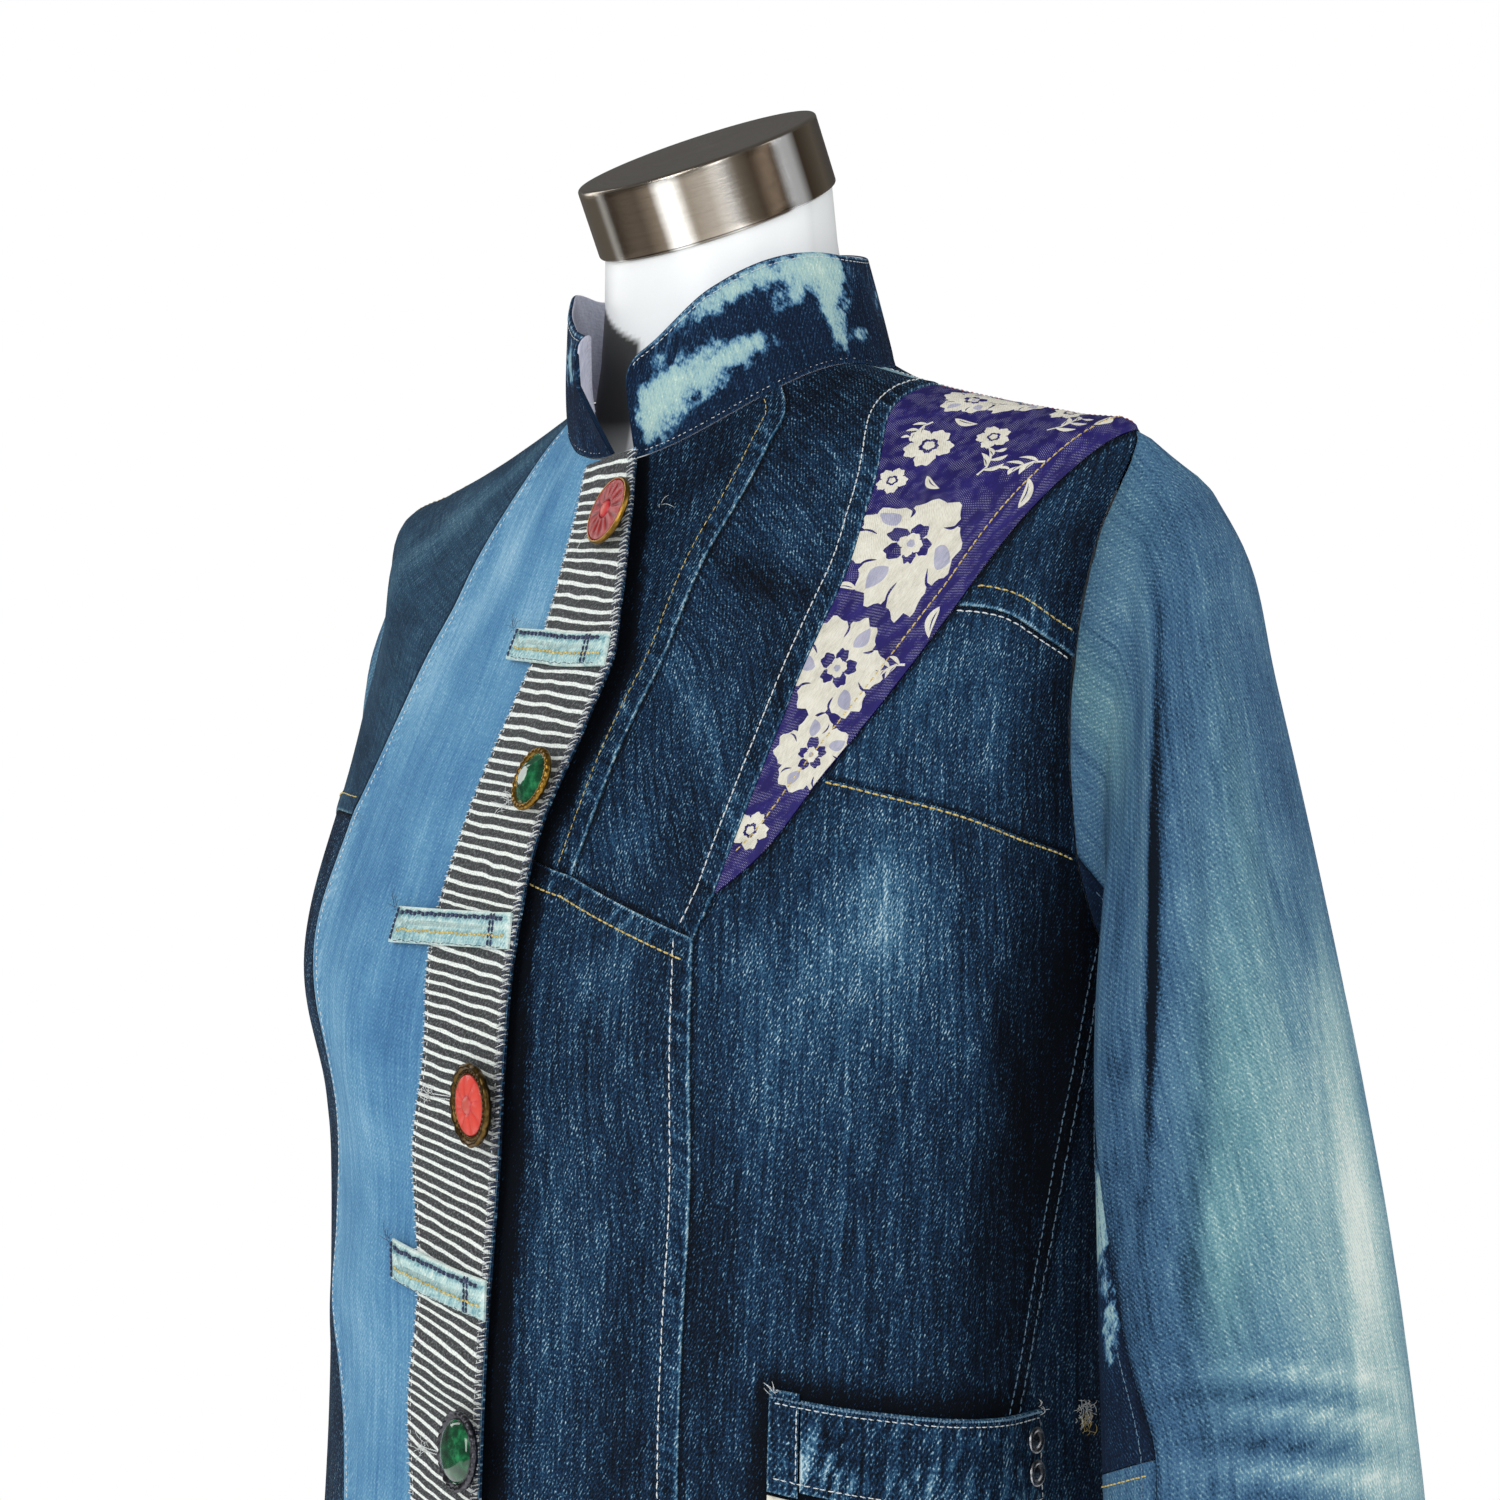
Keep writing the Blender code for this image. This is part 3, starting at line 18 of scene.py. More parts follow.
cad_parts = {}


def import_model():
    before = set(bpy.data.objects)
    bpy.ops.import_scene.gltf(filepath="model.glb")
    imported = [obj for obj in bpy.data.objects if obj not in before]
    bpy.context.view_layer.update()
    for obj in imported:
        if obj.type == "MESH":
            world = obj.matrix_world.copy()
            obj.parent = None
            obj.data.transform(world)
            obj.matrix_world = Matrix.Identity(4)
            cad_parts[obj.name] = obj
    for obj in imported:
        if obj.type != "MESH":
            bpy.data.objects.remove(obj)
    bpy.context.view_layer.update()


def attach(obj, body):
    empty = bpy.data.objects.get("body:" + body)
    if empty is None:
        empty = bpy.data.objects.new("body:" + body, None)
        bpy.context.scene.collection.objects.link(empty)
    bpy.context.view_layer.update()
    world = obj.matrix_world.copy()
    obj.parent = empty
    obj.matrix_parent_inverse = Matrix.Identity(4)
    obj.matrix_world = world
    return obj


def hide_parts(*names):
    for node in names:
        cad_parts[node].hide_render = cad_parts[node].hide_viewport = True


# Sizes shared with the solids
CLOTH = 0.0013
COLLAR_CLOTH = 0.0024
GAP = 0.0003
LAP = 0.0027
LAP_START = -34.0
LAP_SPREAD = 16.0
EDGE_RISE = 0.0050
EDGE_START = -14.0
EDGE_SPREAD = 24.0
PATCH_GAP = 0.0007
CLEAR = 0.0075
REST = 0.0009
GIRTH_RADIUS = 0.165
JACKET_LENGTH = 0.575
COLLAR_HEIGHT = 0.048
COLLAR_DROP = 0.009
COLLAR_CORNER = 0.009
NECK_RADIUS = 0.07
COLLAR_LEFT_END = 6.5
COLLAR_RIGHT_END = 361.0
COLLAR_PULL = -0.014
COLLAR_LEAN = math.radians(24)
CAP_RADIUS = 0.0535
CAP_HEIGHT = 0.031
CAP_EDGE = 0.0016
CAP_TILT = math.radians(28)
CAP_CENTRE = (0.0, -0.012, 1.4750)
FORM_BOTTOM = 0.745
POLE_RADIUS = 0.0125
BASE_RADIUS = 0.165
BASE_HEIGHT = 0.012
HUB_RADIUS = 0.026
HUB_HEIGHT = 0.045

Ring = namedtuple("Ring", "down half_width front back z_front z_side z_back power")
RINGS = (
    Ring(0.000, 0.072, 0.073, 0.064, 1.363, 1.405, 1.424, 1.00),
    Ring(0.030, 0.106, 0.082, 0.078, 1.336, 1.393, 1.401, 1.08),
    Ring(0.060, 0.142, 0.093, 0.092, 1.308, 1.382, 1.375, 1.20),
    Ring(0.090, 0.176, 0.105, 0.103, 1.280, 1.373, 1.347, 1.30),
    Ring(0.118, 0.203, 0.116, 0.110, 1.253, 1.364, 1.318, 1.32),
    Ring(0.150, 0.194, 0.128, 0.114, 1.220, 1.325, 1.280, 1.15),
    Ring(0.200, 0.188, 0.140, 0.116, 1.171, 1.262, 1.220, 1.00),
    Ring(0.250, 0.190, 0.146, 0.114, 1.120, 1.197, 1.158, 0.92),
    Ring(0.300, 0.187, 0.145, 0.112, 1.069, 1.135, 1.100, 0.90),
    Ring(0.360, 0.183, 0.147, 0.112, 1.009, 1.062, 1.036, 0.90),
    Ring(0.430, 0.182, 0.150, 0.116, 0.939, 0.976, 0.958, 0.90),
    Ring(0.500, 0.187, 0.154, 0.124, 0.869, 0.890, 0.880, 0.90),
    Ring(0.575, 0.194, 0.158, 0.132, 0.794, 0.798, 0.796, 0.90),
)
BUST_ANGLE = 40.0
BUST_DOWN = 0.245
BUST_RISE = 0.013
BUST_WIDE = 26.0
BUST_TALL = 0.055

# The solids' largest folds, then the smaller creases that only the looks have
Fold = namedtuple("Fold", "angle_a down_a angle_b down_b spread height")
BODY_FOLDS = (
    Fold(62, 0.300, 70, 0.575, 0.026, 0.0045),
    Fold(80, 0.290, 84, 0.560, 0.022, -0.0050),
    Fold(-58, 0.290, -66, 0.575, 0.026, 0.0045),
    Fold(-78, 0.300, -84, 0.560, 0.022, -0.0050),
    Fold(44, 0.320, 38, 0.575, 0.030, 0.0030),
    Fold(-30, 0.260, -46, 0.330, 0.020, -0.0035),
    Fold(-12, 0.330, -44, 0.385, 0.018, 0.0030),
    Fold(52, 0.150, 80, 0.120, 0.016, -0.0022),
    Fold(-52, 0.150, -80, 0.120, 0.016, -0.0022),
    Fold(128, 0.210, 150, 0.575, 0.030, -0.0045),
    Fold(232, 0.210, 208, 0.575, 0.030, -0.0045),
    Fold(170, 0.300, 176, 0.575, 0.034, 0.0040),
    Fold(112, 0.330, 120, 0.575, 0.026, 0.0045),
    Fold(248, 0.330, 242, 0.575, 0.026, 0.0045),
    # creases of the left front
    Fold(49.8, 0.020, 24, 0.125, 0.0060, -0.0013),
    Fold(38, 0.100, 20, 0.165, 0.0070, 0.0010),
    Fold(44, 0.060, 33, 0.120, 0.0060, 0.0009),
    Fold(80, 0.300, 68, 0.395, 0.0100, -0.0018),
    Fold(72, 0.255, 60, 0.330, 0.0110, 0.0016),
    Fold(84, 0.245, 70, 0.300, 0.0080, -0.0013),
    Fold(34, 0.240, 30, 0.330, 0.0090, 0.0011),
    Fold(40, 0.300, 36, 0.420, 0.0120, -0.0013),
    Fold(18, 0.240, 12, 0.360, 0.0130, 0.0014),
    Fold(10, 0.330, 20, 0.470, 0.0110, -0.0012),
    Fold(55, 0.330, 50, 0.385, 0.0090, 0.0012),
    Fold(48, 0.440, 58, 0.560, 0.0120, -0.0014),
    Fold(22, 0.470, 18, 0.575, 0.0120, 0.0014),
    # creases of the right front
    Fold(-64, 0.030, -50, 0.135, 0.0070, 0.0012),
    Fold(-72, 0.050, -60, 0.160, 0.0080, -0.0012),
    Fold(-84, 0.245, -64, 0.300, 0.0090, -0.0014),
    Fold(-76, 0.270, -60, 0.340, 0.0100, 0.0014),
    Fold(-40, 0.420, -56, 0.560, 0.0120, -0.0013),
    Fold(-27, 0.180, -20, 0.300, 0.0120, 0.0012),
    Fold(-30, 0.430, -24, 0.560, 0.0120, 0.0012),
    # creases of the back and the sides
    Fold(150, 0.060, 118, 0.150, 0.0110, 0.0013),
    Fold(210, 0.060, 242, 0.150, 0.0110, 0.0013),
    Fold(168, 0.090, 190, 0.110, 0.0120, -0.0012),
    Fold(104, 0.290, 132, 0.370, 0.0110, -0.0016),
    Fold(256, 0.290, 228, 0.360, 0.0110, -0.0016),
    Fold(160, 0.210, 166, 0.380, 0.0130, 0.0014),
    Fold(196, 0.230, 188, 0.400, 0.0130, -0.0014),
    Fold(184, 0.420, 178, 0.570, 0.0130, 0.0014),
    Fold(140, 0.400, 134, 0.570, 0.0120, 0.0015),
    Fold(222, 0.400, 229, 0.570, 0.0120, 0.0015),
    Fold(98, 0.420, 94, 0.560, 0.0100, -0.0014),
    Fold(262, 0.420, 267, 0.560, 0.0100, -0.0014),
)

ArmholeRow = namedtuple("ArmholeRow", "turn angle down")
ARMHOLE = (
    ArmholeRow(0, 93.0, 0.1180),
    ArmholeRow(45, 85.0, 0.1400),
    ArmholeRow(90, 81.5, 0.1880),
    ArmholeRow(135, 83.0, 0.2480),
    ArmholeRow(180, 94.0, 0.2830),
    ArmholeRow(225, 108.0, 0.2520),
    ArmholeRow(270, 112.0, 0.1900),
    ArmholeRow(315, 104.0, 0.1400),
)

Section = namedtuple("Section", "outer_x outer_z inner_x inner_z centre_y half_depth")
SLEEVES = {
    "left": (
        Section(0.2180, 1.3460, 0.1945, 1.1600, 0.018, 0.0420),
        Section(0.2330, 1.3200, 0.1970, 1.1500, 0.015, 0.0470),
        Section(0.2415, 1.2850, 0.1970, 1.1380, 0.011, 0.0500),
        Section(0.2520, 1.2410, 0.1970, 1.1220, 0.008, 0.0545),
        Section(0.2640, 1.1900, 0.1985, 1.0980, 0.005, 0.0590),
        Section(0.2790, 1.1270, 0.2020, 1.0600, 0.001, 0.0635),
        Section(0.2930, 1.0580, 0.2055, 1.0120, -0.002, 0.0680),
        Section(0.3040, 0.9840, 0.2095, 0.9540, -0.004, 0.0715),
        Section(0.3125, 0.9070, 0.2145, 0.8870, -0.006, 0.0740),
        Section(0.3185, 0.8300, 0.2190, 0.8180, -0.008, 0.0755),
        Section(0.3210, 0.7900, 0.2210, 0.7800, -0.010, 0.0760),
    ),
    "right": (
        Section(0.2130, 1.3450, 0.1945, 1.1600, 0.020, 0.0420),
        Section(0.2215, 1.3200, 0.1965, 1.1500, 0.022, 0.0460),
        Section(0.2270, 1.2850, 0.1970, 1.1380, 0.026, 0.0490),
        Section(0.2320, 1.2410, 0.1975, 1.1220, 0.031, 0.0525),
        Section(0.2390, 1.1900, 0.1975, 1.0980, 0.034, 0.0580),
        Section(0.2430, 1.1270, 0.1970, 1.0600, 0.040, 0.0610),
        Section(0.2460, 1.0580, 0.1965, 1.0120, 0.045, 0.0640),
        Section(0.2490, 0.9840, 0.1965, 0.9540, 0.049, 0.0670),
        Section(0.2520, 0.9070, 0.1980, 0.8870, 0.052, 0.0700),
        Section(0.2550, 0.8300, 0.2000, 0.8180, 0.054, 0.0715),
        Section(0.2560, 0.7900, 0.2010, 0.7800, 0.055, 0.0720),
    ),
}
SLEEVE_SQUARE = 0.90
CUFF_ROW = len(SLEEVES["left"])
BACK_SEAM = 225
CROSS_SEAM = 7.7
CROSS_GAP = 0.004

SeamRow = namedtuple("SeamRow", "row turn")
FRONT_SEAM = {
    "left": (
        SeamRow(0.0, 135.0),
        SeamRow(4.0, 135.0),
        SeamRow(5.0, 133.0),
        SeamRow(6.0, 117.0),
        SeamRow(7.0, 102.0),
        SeamRow(CROSS_SEAM, 88.0),
        SeamRow(8.2, 92.0),
        SeamRow(9.0, 108.0),
        SeamRow(11.0, 120.0),
    ),
    "right": (
        SeamRow(0.0, 135.0),
        SeamRow(5.0, 135.0),
        SeamRow(11.0, 135.0),
    ),
}

SleeveFold = namedtuple("SleeveFold", "turn_a row_a turn_b row_b spread height")
SLEEVE_FOLDS = (
    SleeveFold(72, 1.5, 96, 6.0, 13, -0.0060),
    SleeveFold(50, 2.0, 62, 7.0, 12, 0.0030),
    SleeveFold(60, 6.0, 52, 10.5, 14, -0.0040),
    SleeveFold(84, 7.0, 92, 11.0, 14, 0.0040),
    SleeveFold(300, 2.0, 282, 7.0, 16, -0.0050),
    SleeveFold(250, 6.0, 262, 11.0, 16, 0.0045),
    SleeveFold(160, 6.5, 200, 7.2, 26, -0.0030),
    # smaller creases
    SleeveFold(88, 1.2, 104, 4.6, 5.0, -0.0022),
    SleeveFold(60, 1.6, 70, 4.4, 5.0, 0.0014),
    SleeveFold(40, 3.0, 44, 7.4, 6.0, -0.0014),
    SleeveFold(20, 2.4, 26, 6.2, 7.0, 0.0013),
    SleeveFold(106, 4.4, 84, 5.6, 6.0, 0.0016),
    SleeveFold(112, 5.2, 78, 6.3, 5.0, -0.0013),
    SleeveFold(46, 6.6, 58, 8.2, 5.5, 0.0016),
    SleeveFold(34, 8.0, 40, 10.6, 7.0, 0.0014),
    SleeveFold(72, 8.6, 66, 10.8, 6.0, -0.0015),
    SleeveFold(330, 3.0, 318, 8.0, 8.0, 0.0015),
    SleeveFold(276, 3.4, 300, 4.6, 7.0, 0.0014),
    SleeveFold(240, 4.6, 290, 5.6, 7.0, -0.0015),
    SleeveFold(232, 7.6, 280, 8.4, 8.0, 0.0014),
    SleeveFold(352, 6.0, 344, 10.4, 9.0, -0.0014),
    SleeveFold(300, 8.2, 312, 10.8, 8.0, 0.0015),
)

PLACES = {
    "front_neck_edge": (-15.0, 0.000),
    "front_hem_edge": (-16.0, 0.575),
    "band_neck": (56.0, 0.000),
    "neck_point_left": (92.0, 0.000),
    "princess_shoulder": (92.0, 0.031),
    "shoulder_tip_left": (93.0, 0.118),
    "band_foot": (10.7, 0.182),
    "front_diagonal": (-15.0, 0.158),
    "princess_foot": (28.0, 0.221),
    "applique_tip": (30.5, 0.209),
    "chest_front": (43.0, 0.187),
    "welt_front": (59.0, 0.153),
    "princess_hem": (27.0, 0.575),
    "side_left_hem": (80.0, 0.575),
    "right_edge_neck": (11.0, 0.000),
    "right_edge_hem": (0.8, 0.575),
    "light_blue_neck": (-52.0, 0.000),
    "right_yoke_front": (-39.5, 0.190),
    "light_blue_hem": (-26.0, 0.575),
    "neck_point_right": (-92.0, 0.000),
    "shoulder_tip_right": (-93.0, 0.118),
    "side_right_hem": (-80.0, 0.575),
    "strip_neck": (104.0, 0.000),
    "strip_end": (92.5, 0.072),
    "yoke_back_left": (150.0, 0.158),
    "yoke_back_right": (210.0, 0.158),
    "back_left_hem": (146.0, 0.575),
    "back_right_hem": (214.0, 0.575),
    "side_back_hem": (280.0, 0.575),
}
SEAMS = {
    "neck": ("front_neck_edge", (-4, 0), "right_edge_neck", (22, 0), (33, 0), (45, 0),
             "band_neck", (68, 0), (80, 0), "neck_point_left", "strip_neck"),
    "neck_back": ("strip_neck", (125, 0), (145, 0), (163, 0), (180, 0), (197, 0), (215, 0),
                  (235, 0), (252, 0), (268, 0)),
    "neck_right": ("neck_point_right", (-76, 0), (-64, 0), "light_blue_neck", (-41, 0),
                   (-31, 0), (-22, 0), (-14, 0), (-6, 0), (2, 0), "right_edge_neck"),
    "left_edge": ("front_neck_edge", (-15, 0.08), "front_diagonal", (-15.5, 0.30),
                  "front_hem_edge"),
    "band": ("band_neck", (50.5, 0.015), (43, 0.026), (34, 0.044), (28, 0.060),
             (20.5, 0.112), (15.8, 0.140), "band_foot"),
    "diagonal_front": ("front_diagonal", (-4, 0.163), "band_foot"),
    "diagonal": ("band_foot", (20.5, 0.204), "princess_foot"),
    "princess": ("princess_shoulder", (62, 0.048), (50, 0.082), (42, 0.120), (37, 0.160),
                 "applique_tip"),
    "princess_low": ("applique_tip", "princess_foot"),
    "lower": ("princess_foot", (27, 0.300), (26.5, 0.380), (27, 0.460), "princess_hem"),
    "shoulder": ("neck_point_left", "princess_shoulder", "strip_end", (93, 0.096),
                 "shoulder_tip_left"),
    "shoulder_right": ("neck_point_right", (-92, 0.031), (-92.5, 0.072), (-93, 0.096),
                       "shoulder_tip_right"),
    "applique_edge": ("shoulder_tip_left", (75, 0.124), (67, 0.133), "welt_front",
                      (50.5, 0.172), "chest_front"),
    "applique_low": ("chest_front", (36, 0.203), "applique_tip"),
    "welt": ("welt_front", (67, 0.165), (75, 0.179), "armhole_90"),
    "chest": ("chest_front", (52, 0.205), (62, 0.222), (72, 0.237), "armhole_135"),
    "side_left": ("armhole_165", (86, 0.330), (82.5, 0.372), (79, 0.400), (74, 0.430),
                  (74, 0.500), "side_left_hem"),
    "hem_left": ("front_hem_edge", (0, 0.575), "princess_hem", (45, 0.575), (63, 0.575),
                 "side_left_hem"),
    "hem_back": ("side_left_hem", (100, 0.575), (122, 0.575), "back_left_hem",
                 (163, 0.575), (180, 0.575), (197, 0.575), "back_right_hem", (238, 0.575),
                 (260, 0.575), "side_back_hem"),
    "hem_right": ("side_right_hem", (-60, 0.575), (-43, 0.575), "light_blue_hem",
                  (-13, 0.575), "right_edge_hem"),
    "right_edge": ("right_edge_neck", (12.3, 0.035), (14.8, 0.077), (15.6, 0.103),
                   (12.5, 0.129), (7.6, 0.156), (4.6, 0.205), (3.7, 0.248), (1.5, 0.316),
                   (0.8, 0.378), (0.9, 0.450), "right_edge_hem"),
    "light_blue": ("light_blue_neck", (-43.5, 0.030), (-38.5, 0.070), (-34.5, 0.115),
                   (-36.5, 0.155), "right_yoke_front"),
    "light_blue_low": ("right_yoke_front", (-38.5, 0.225), (-34.0, 0.262), (-37.5, 0.310),
                       (-39.5, 0.360), (-35.5, 0.395), (-30.5, 0.425), (-27.5, 0.480),
                       "light_blue_hem"),
    "right_yoke": ("right_yoke_front", (-52, 0.205), (-62, 0.222), (-72, 0.237),
                   "right_armhole_135"),
    "side_right": ("right_armhole_165", (-86, 0.330), (-82.5, 0.372), (-79, 0.400),
                   (-76, 0.450), (-77, 0.510), "side_right_hem"),
    "strip": ("strip_neck", (101, 0.030), (97, 0.055), "strip_end"),
    "yoke_left": ("armhole_285", (124, 0.158), (137, 0.158), "yoke_back_left"),
    "yoke_back": ("yoke_back_left", (165, 0.160), (180, 0.161), (195, 0.160),
                  "yoke_back_right"),
    "yoke_right": ("yoke_back_right", (223, 0.158), (236, 0.158), "back_armhole_285"),
    "back_left": ("yoke_back_left", (152, 0.260), (150, 0.370), (148, 0.470),
                  "back_left_hem"),
    "back_right": ("yoke_back_right", (208, 0.260), (210, 0.370), (212, 0.470),
                   "back_right_hem"),
}

PLACKET_LEFT = ((-11.5, 0.004), (-9.0, 0.025), (-7.9, 0.053), (-7.2, 0.080),
                (-9.2, 0.120), (-9.9, 0.165), (-10.1, 0.205), (-7.9, 0.250),
                (-10.2, 0.291), (-9.1, 0.335), (-10.8, 0.385), (-9.3, 0.430),
                (-9.9, 0.500), (-9.8, 0.573))
PLACKET_CLOTH = 0.0009
PLACKET_END = 0.002

Tab = namedtuple("Tab", "name left right down_left down_right height")
TABS = (
    Tab("tab_1", -14.3, 15.2, 0.0835, 0.0945, 0.0145),
    Tab("tab_2", -17.0, 4.4, 0.2000, 0.1955, 0.0140),
    Tab("tab_3", -13.5, 1.4, 0.3240, 0.3320, 0.0155),
    Tab("tab_4", -13.5, 0.5, 0.4560, 0.4600, 0.0150),
)
TAB_CLOTH = 0.0018

Button = namedtuple("Button", "name angle down radius make")
BUTTONS = (
    Button("button_1", 9.6, 0.0340, 0.0147, "carved"),
    Button("button_2", 6.8, 0.1465, 0.0130, "faceted"),
    Button("button_3", 1.2, 0.2650, 0.0164, "scalloped"),
    Button("button_4", 0.0, 0.3970, 0.0152, "beaded"),
    Button("button_5", -0.8, 0.5190, 0.0155, "scalloped"),
)
BUTTON_GAP = 0.0005
BUTTON_TURN = math.radians(-14)
SHANK_RADIUS = 0.0030

POCKET_TOP = ((38.5, 0.3845), (51.0, 0.3985), (64.0, 0.4095), (73.0, 0.4145),
              (80.5, 0.4165))
POCKET_START = POCKET_TOP[0][0]
POCKET_END = POCKET_TOP[-1][0]
POCKET_BAND = 0.030
POCKET_STRIP = 0.007
POCKET_SEAM = 0.003
POCKET_DEPTH = 0.125
POCKET_CLOTH = 0.0022
POCKET_LOOP = 4.0
LOOP_PROUD = 0.002
POCKET_OUT = PATCH_GAP + POCKET_CLOTH
TAPE_OUT = PATCH_GAP + CLOTH
BAG_OUT = 1.7 * PATCH_GAP + CLOTH
CHEST_DEGREE = 0.0029     # metres round the chest for each degree
RIVETS = ((77.8, 0.4245), (77.8, 0.4345))

FORM_FOOT = ((0.0, 0.90), (0.006, 0.94), (0.022, 0.965))
SHOULDER_ANGLE = 92.0
SHOULDER_WIDE = 20.0
SHOULDER_DOWN = 0.068
SHOULDER_LONG = 0.040
NECK_FOOT = (0.0, -0.006, 1.388)
NECK_RINGS = ((0.22, 0.0590), (0.45, 0.0550), (0.72, 0.0525), (1.0, 0.0513))

# Sizes of the fine mesh
SEAM_STEP = 0.0024        # spacing of the points along a seam
CELL = 0.0042             # and inside a panel
FELL_ROWS = (0.0006, 0.0016, 0.0034, 0.0054, 0.0074, 0.0088, 0.0104)
FELL_RUN = 0.0022         # how far the folded edge's height takes to fall away
MILLIMETRE = 0.001
PER_METRE = 1000.0        # millimetres
HEX_ROW = 0.87            # height of a staggered row for each step along it
FELL_SPACING = 0.0013     # least distance between points along a folded edge


def smooth_rows(rows, x, closed=False):
    """Values at x on a smooth curve through the rows, whose first column is the distance."""
    rows = np.asarray(rows, float)
    if closed:
        turn = 360.0
        before = rows[-2:].copy()
        after = rows[:2].copy()
        before[:, 0] -= turn
        after[:, 0] += turn
        rows = np.vstack([before, rows, after])
        x = np.mod(x, turn)
    xs = rows[:, 0]
    ys = rows[:, 1:]
    slope = np.gradient(ys, xs, axis=0)
    x = np.clip(x, xs[0], xs[-1])
    i = np.clip(np.searchsorted(xs, x, side="right") - 1, 0, len(xs) - 2)
    step = (xs[i + 1] - xs[i])[..., None]
    s = ((x - xs[i]) / (xs[i + 1] - xs[i]))[..., None]
    start = ys[i] * (1 + 2 * s) * (1 - s) ** 2 + slope[i] * step * s * (1 - s) ** 2
    end = ys[i + 1] * s ** 2 * (3 - 2 * s) + slope[i + 1] * step * s ** 2 * (s - 1)
    return start + end


def fold_height(folds, across, along, across_scale, along_scale):
    """Sum of soft ridges and troughs, each a rounded line that fades out at both ends."""
    total = np.zeros(np.shape(across))
    for a0, b0, a1, b1, spread, height in folds:
        du = (a1 - a0) * across_scale
        dv = (b1 - b0) * along_scale
        u = (across - a0) * across_scale
        v = (along - b0) * along_scale
        length = du * du + dv * dv
        t = np.clip((u * du + v * dv) / length, 0, 1)
        gap = np.hypot(u - t * du, v - t * dv)
        fade = 0.35 + 0.65 * np.sin(np.pi * np.clip(t, 0.04, 0.96)) ** 0.7
        total = total + height * fade * np.exp(-(gap / spread) ** 2)
    return total


def eased(value):
    """A smooth step from 0 to 1."""
    value = np.clip(value, 0, 1)
    return value * value * (3 - 2 * value)


def body_point(angle, down, out=0.0):
    """A point of the jacket's outer face, or one that lies out metres from it."""
    angle, down = np.broadcast_arrays(np.asarray(angle, float), np.asarray(down, float))
    columns = smooth_rows(RINGS, down)
    half_width, front, back, z_front, z_side, z_back, power = np.moveaxis(columns, -1, 0)
    turn = np.radians(angle)
    s = np.sin(turn)
    c = np.cos(turn)
    x = half_width * np.sign(s) * np.abs(s) ** power
    y = np.where(c > 0, -front, back) * np.abs(c) ** power
    z = z_side + (z_front - z_side) * np.clip(c, 0, 1) ** 2
    z = z + (z_back - z_side) * np.clip(-c, 0, 1) ** 2
    side = np.abs((angle + 180) % 360 - 180)
    bust = ((side - BUST_ANGLE) / BUST_WIDE) ** 2 + ((down - BUST_DOWN) / BUST_TALL) ** 2
    rise = BUST_RISE * np.exp(-bust)
    around = np.radians(1.0) * GIRTH_RADIUS
    wrapped = (angle + 90) % 360 - 90
    rise = rise + fold_height(BODY_FOLDS, wrapped, down, around, 1.0)
    point = np.stack([x + rise * s, y - rise * c, z], -1)
    if np.any(out):
        point = point + body_normal(angle, down) * np.asarray(out)[..., None]
    return point


def body_normal(angle, down):
    """The outward direction of the jacket's surface."""
    step_angle = 0.5
    step_down = 0.002
    across = body_point(angle + step_angle, down) - body_point(angle - step_angle, down)
    low = np.clip(np.asarray(down, float) + step_down, 0, JACKET_LENGTH)
    high = np.clip(np.asarray(down, float) - step_down, 0, JACKET_LENGTH)
    along = body_point(angle, low) - body_point(angle, high)
    return unit(np.cross(along, across))


def unit(vectors):
    """The same directions with length 1."""
    vectors = np.asarray(vectors, float)
    return vectors / np.maximum(np.linalg.norm(vectors, axis=-1, keepdims=True), 1e-12)


def armhole_place(turn):
    """The place on the left armhole at a turn round it."""
    angle, down = smooth_rows(ARMHOLE, np.asarray(float(turn)), closed=True)
    return float(angle), float(down)


def place_of(word):
    """The place that a word in a seam stands for."""
    if word in PLACES:
        return PLACES[word]
    side, turn = word.rsplit("_", 1)
    angle, down = armhole_place(int(turn))
    if side == "right_armhole":
        return -angle, down
    if side == "back_armhole":
        return 360 - angle, down
    return angle, down


def distances(points):
    """How far along a line of points each of them lies."""
    steps = np.linalg.norm(np.diff(points, axis=0), axis=1)
    return np.concatenate([[0], np.cumsum(steps)])


def seam_points(name, start=None, end=None):
    """Places along a seam from start to end, both of them words in the seam."""
    words = SEAMS[name]
    knots = [place_of(k) if isinstance(k, str) else k for k in words]
    flat = np.array([(a * math.radians(1) * GIRTH_RADIUS, d) for a, d in knots])
    run = distances(flat)
    rows = np.column_stack([run, np.array(knots, float)])
    points = []
    marks = {}
    for i in range(len(knots)):
        if isinstance(words[i], str):
            marks[words[i]] = len(points)
        points.append(tuple(knots[i]))
        if i + 1 < len(knots):
            pieces = max(1, round((run[i + 1] - run[i]) / SEAM_STEP))
            for k in range(1, pieces):
                share = k / pieces
                if len(rows) > 2:
                    at = run[i] + (run[i + 1] - run[i]) * share
                    value = smooth_rows(rows, np.asarray(at))
                else:
                    value = np.array(knots[i]) * (1 - share) + np.array(knots[i + 1]) * share
                points.append((float(value[0]), float(value[1])))
    first = marks[start] if start else 0
    last = marks[end] if end else len(points) - 1
    if first <= last:
        return points[first:last + 1]
    return points[last:first + 1][::-1]


def armhole_points(first, last, side="left"):
    """Places along an armhole between two turns; side is left, right or back."""
    count = round(abs(last - first) / 3)
    points = []
    for turn in np.linspace(first, last, count + 1):
        angle, down = armhole_place(turn)
        if side == "right":
            angle = -angle
        if side == "back":
            angle = 360 - angle
        points.append((angle, down))
    return points


def shifted(points, angle):
    """The same places, counted from another side of the body."""
    return [(a + angle, d) for a, d in points]


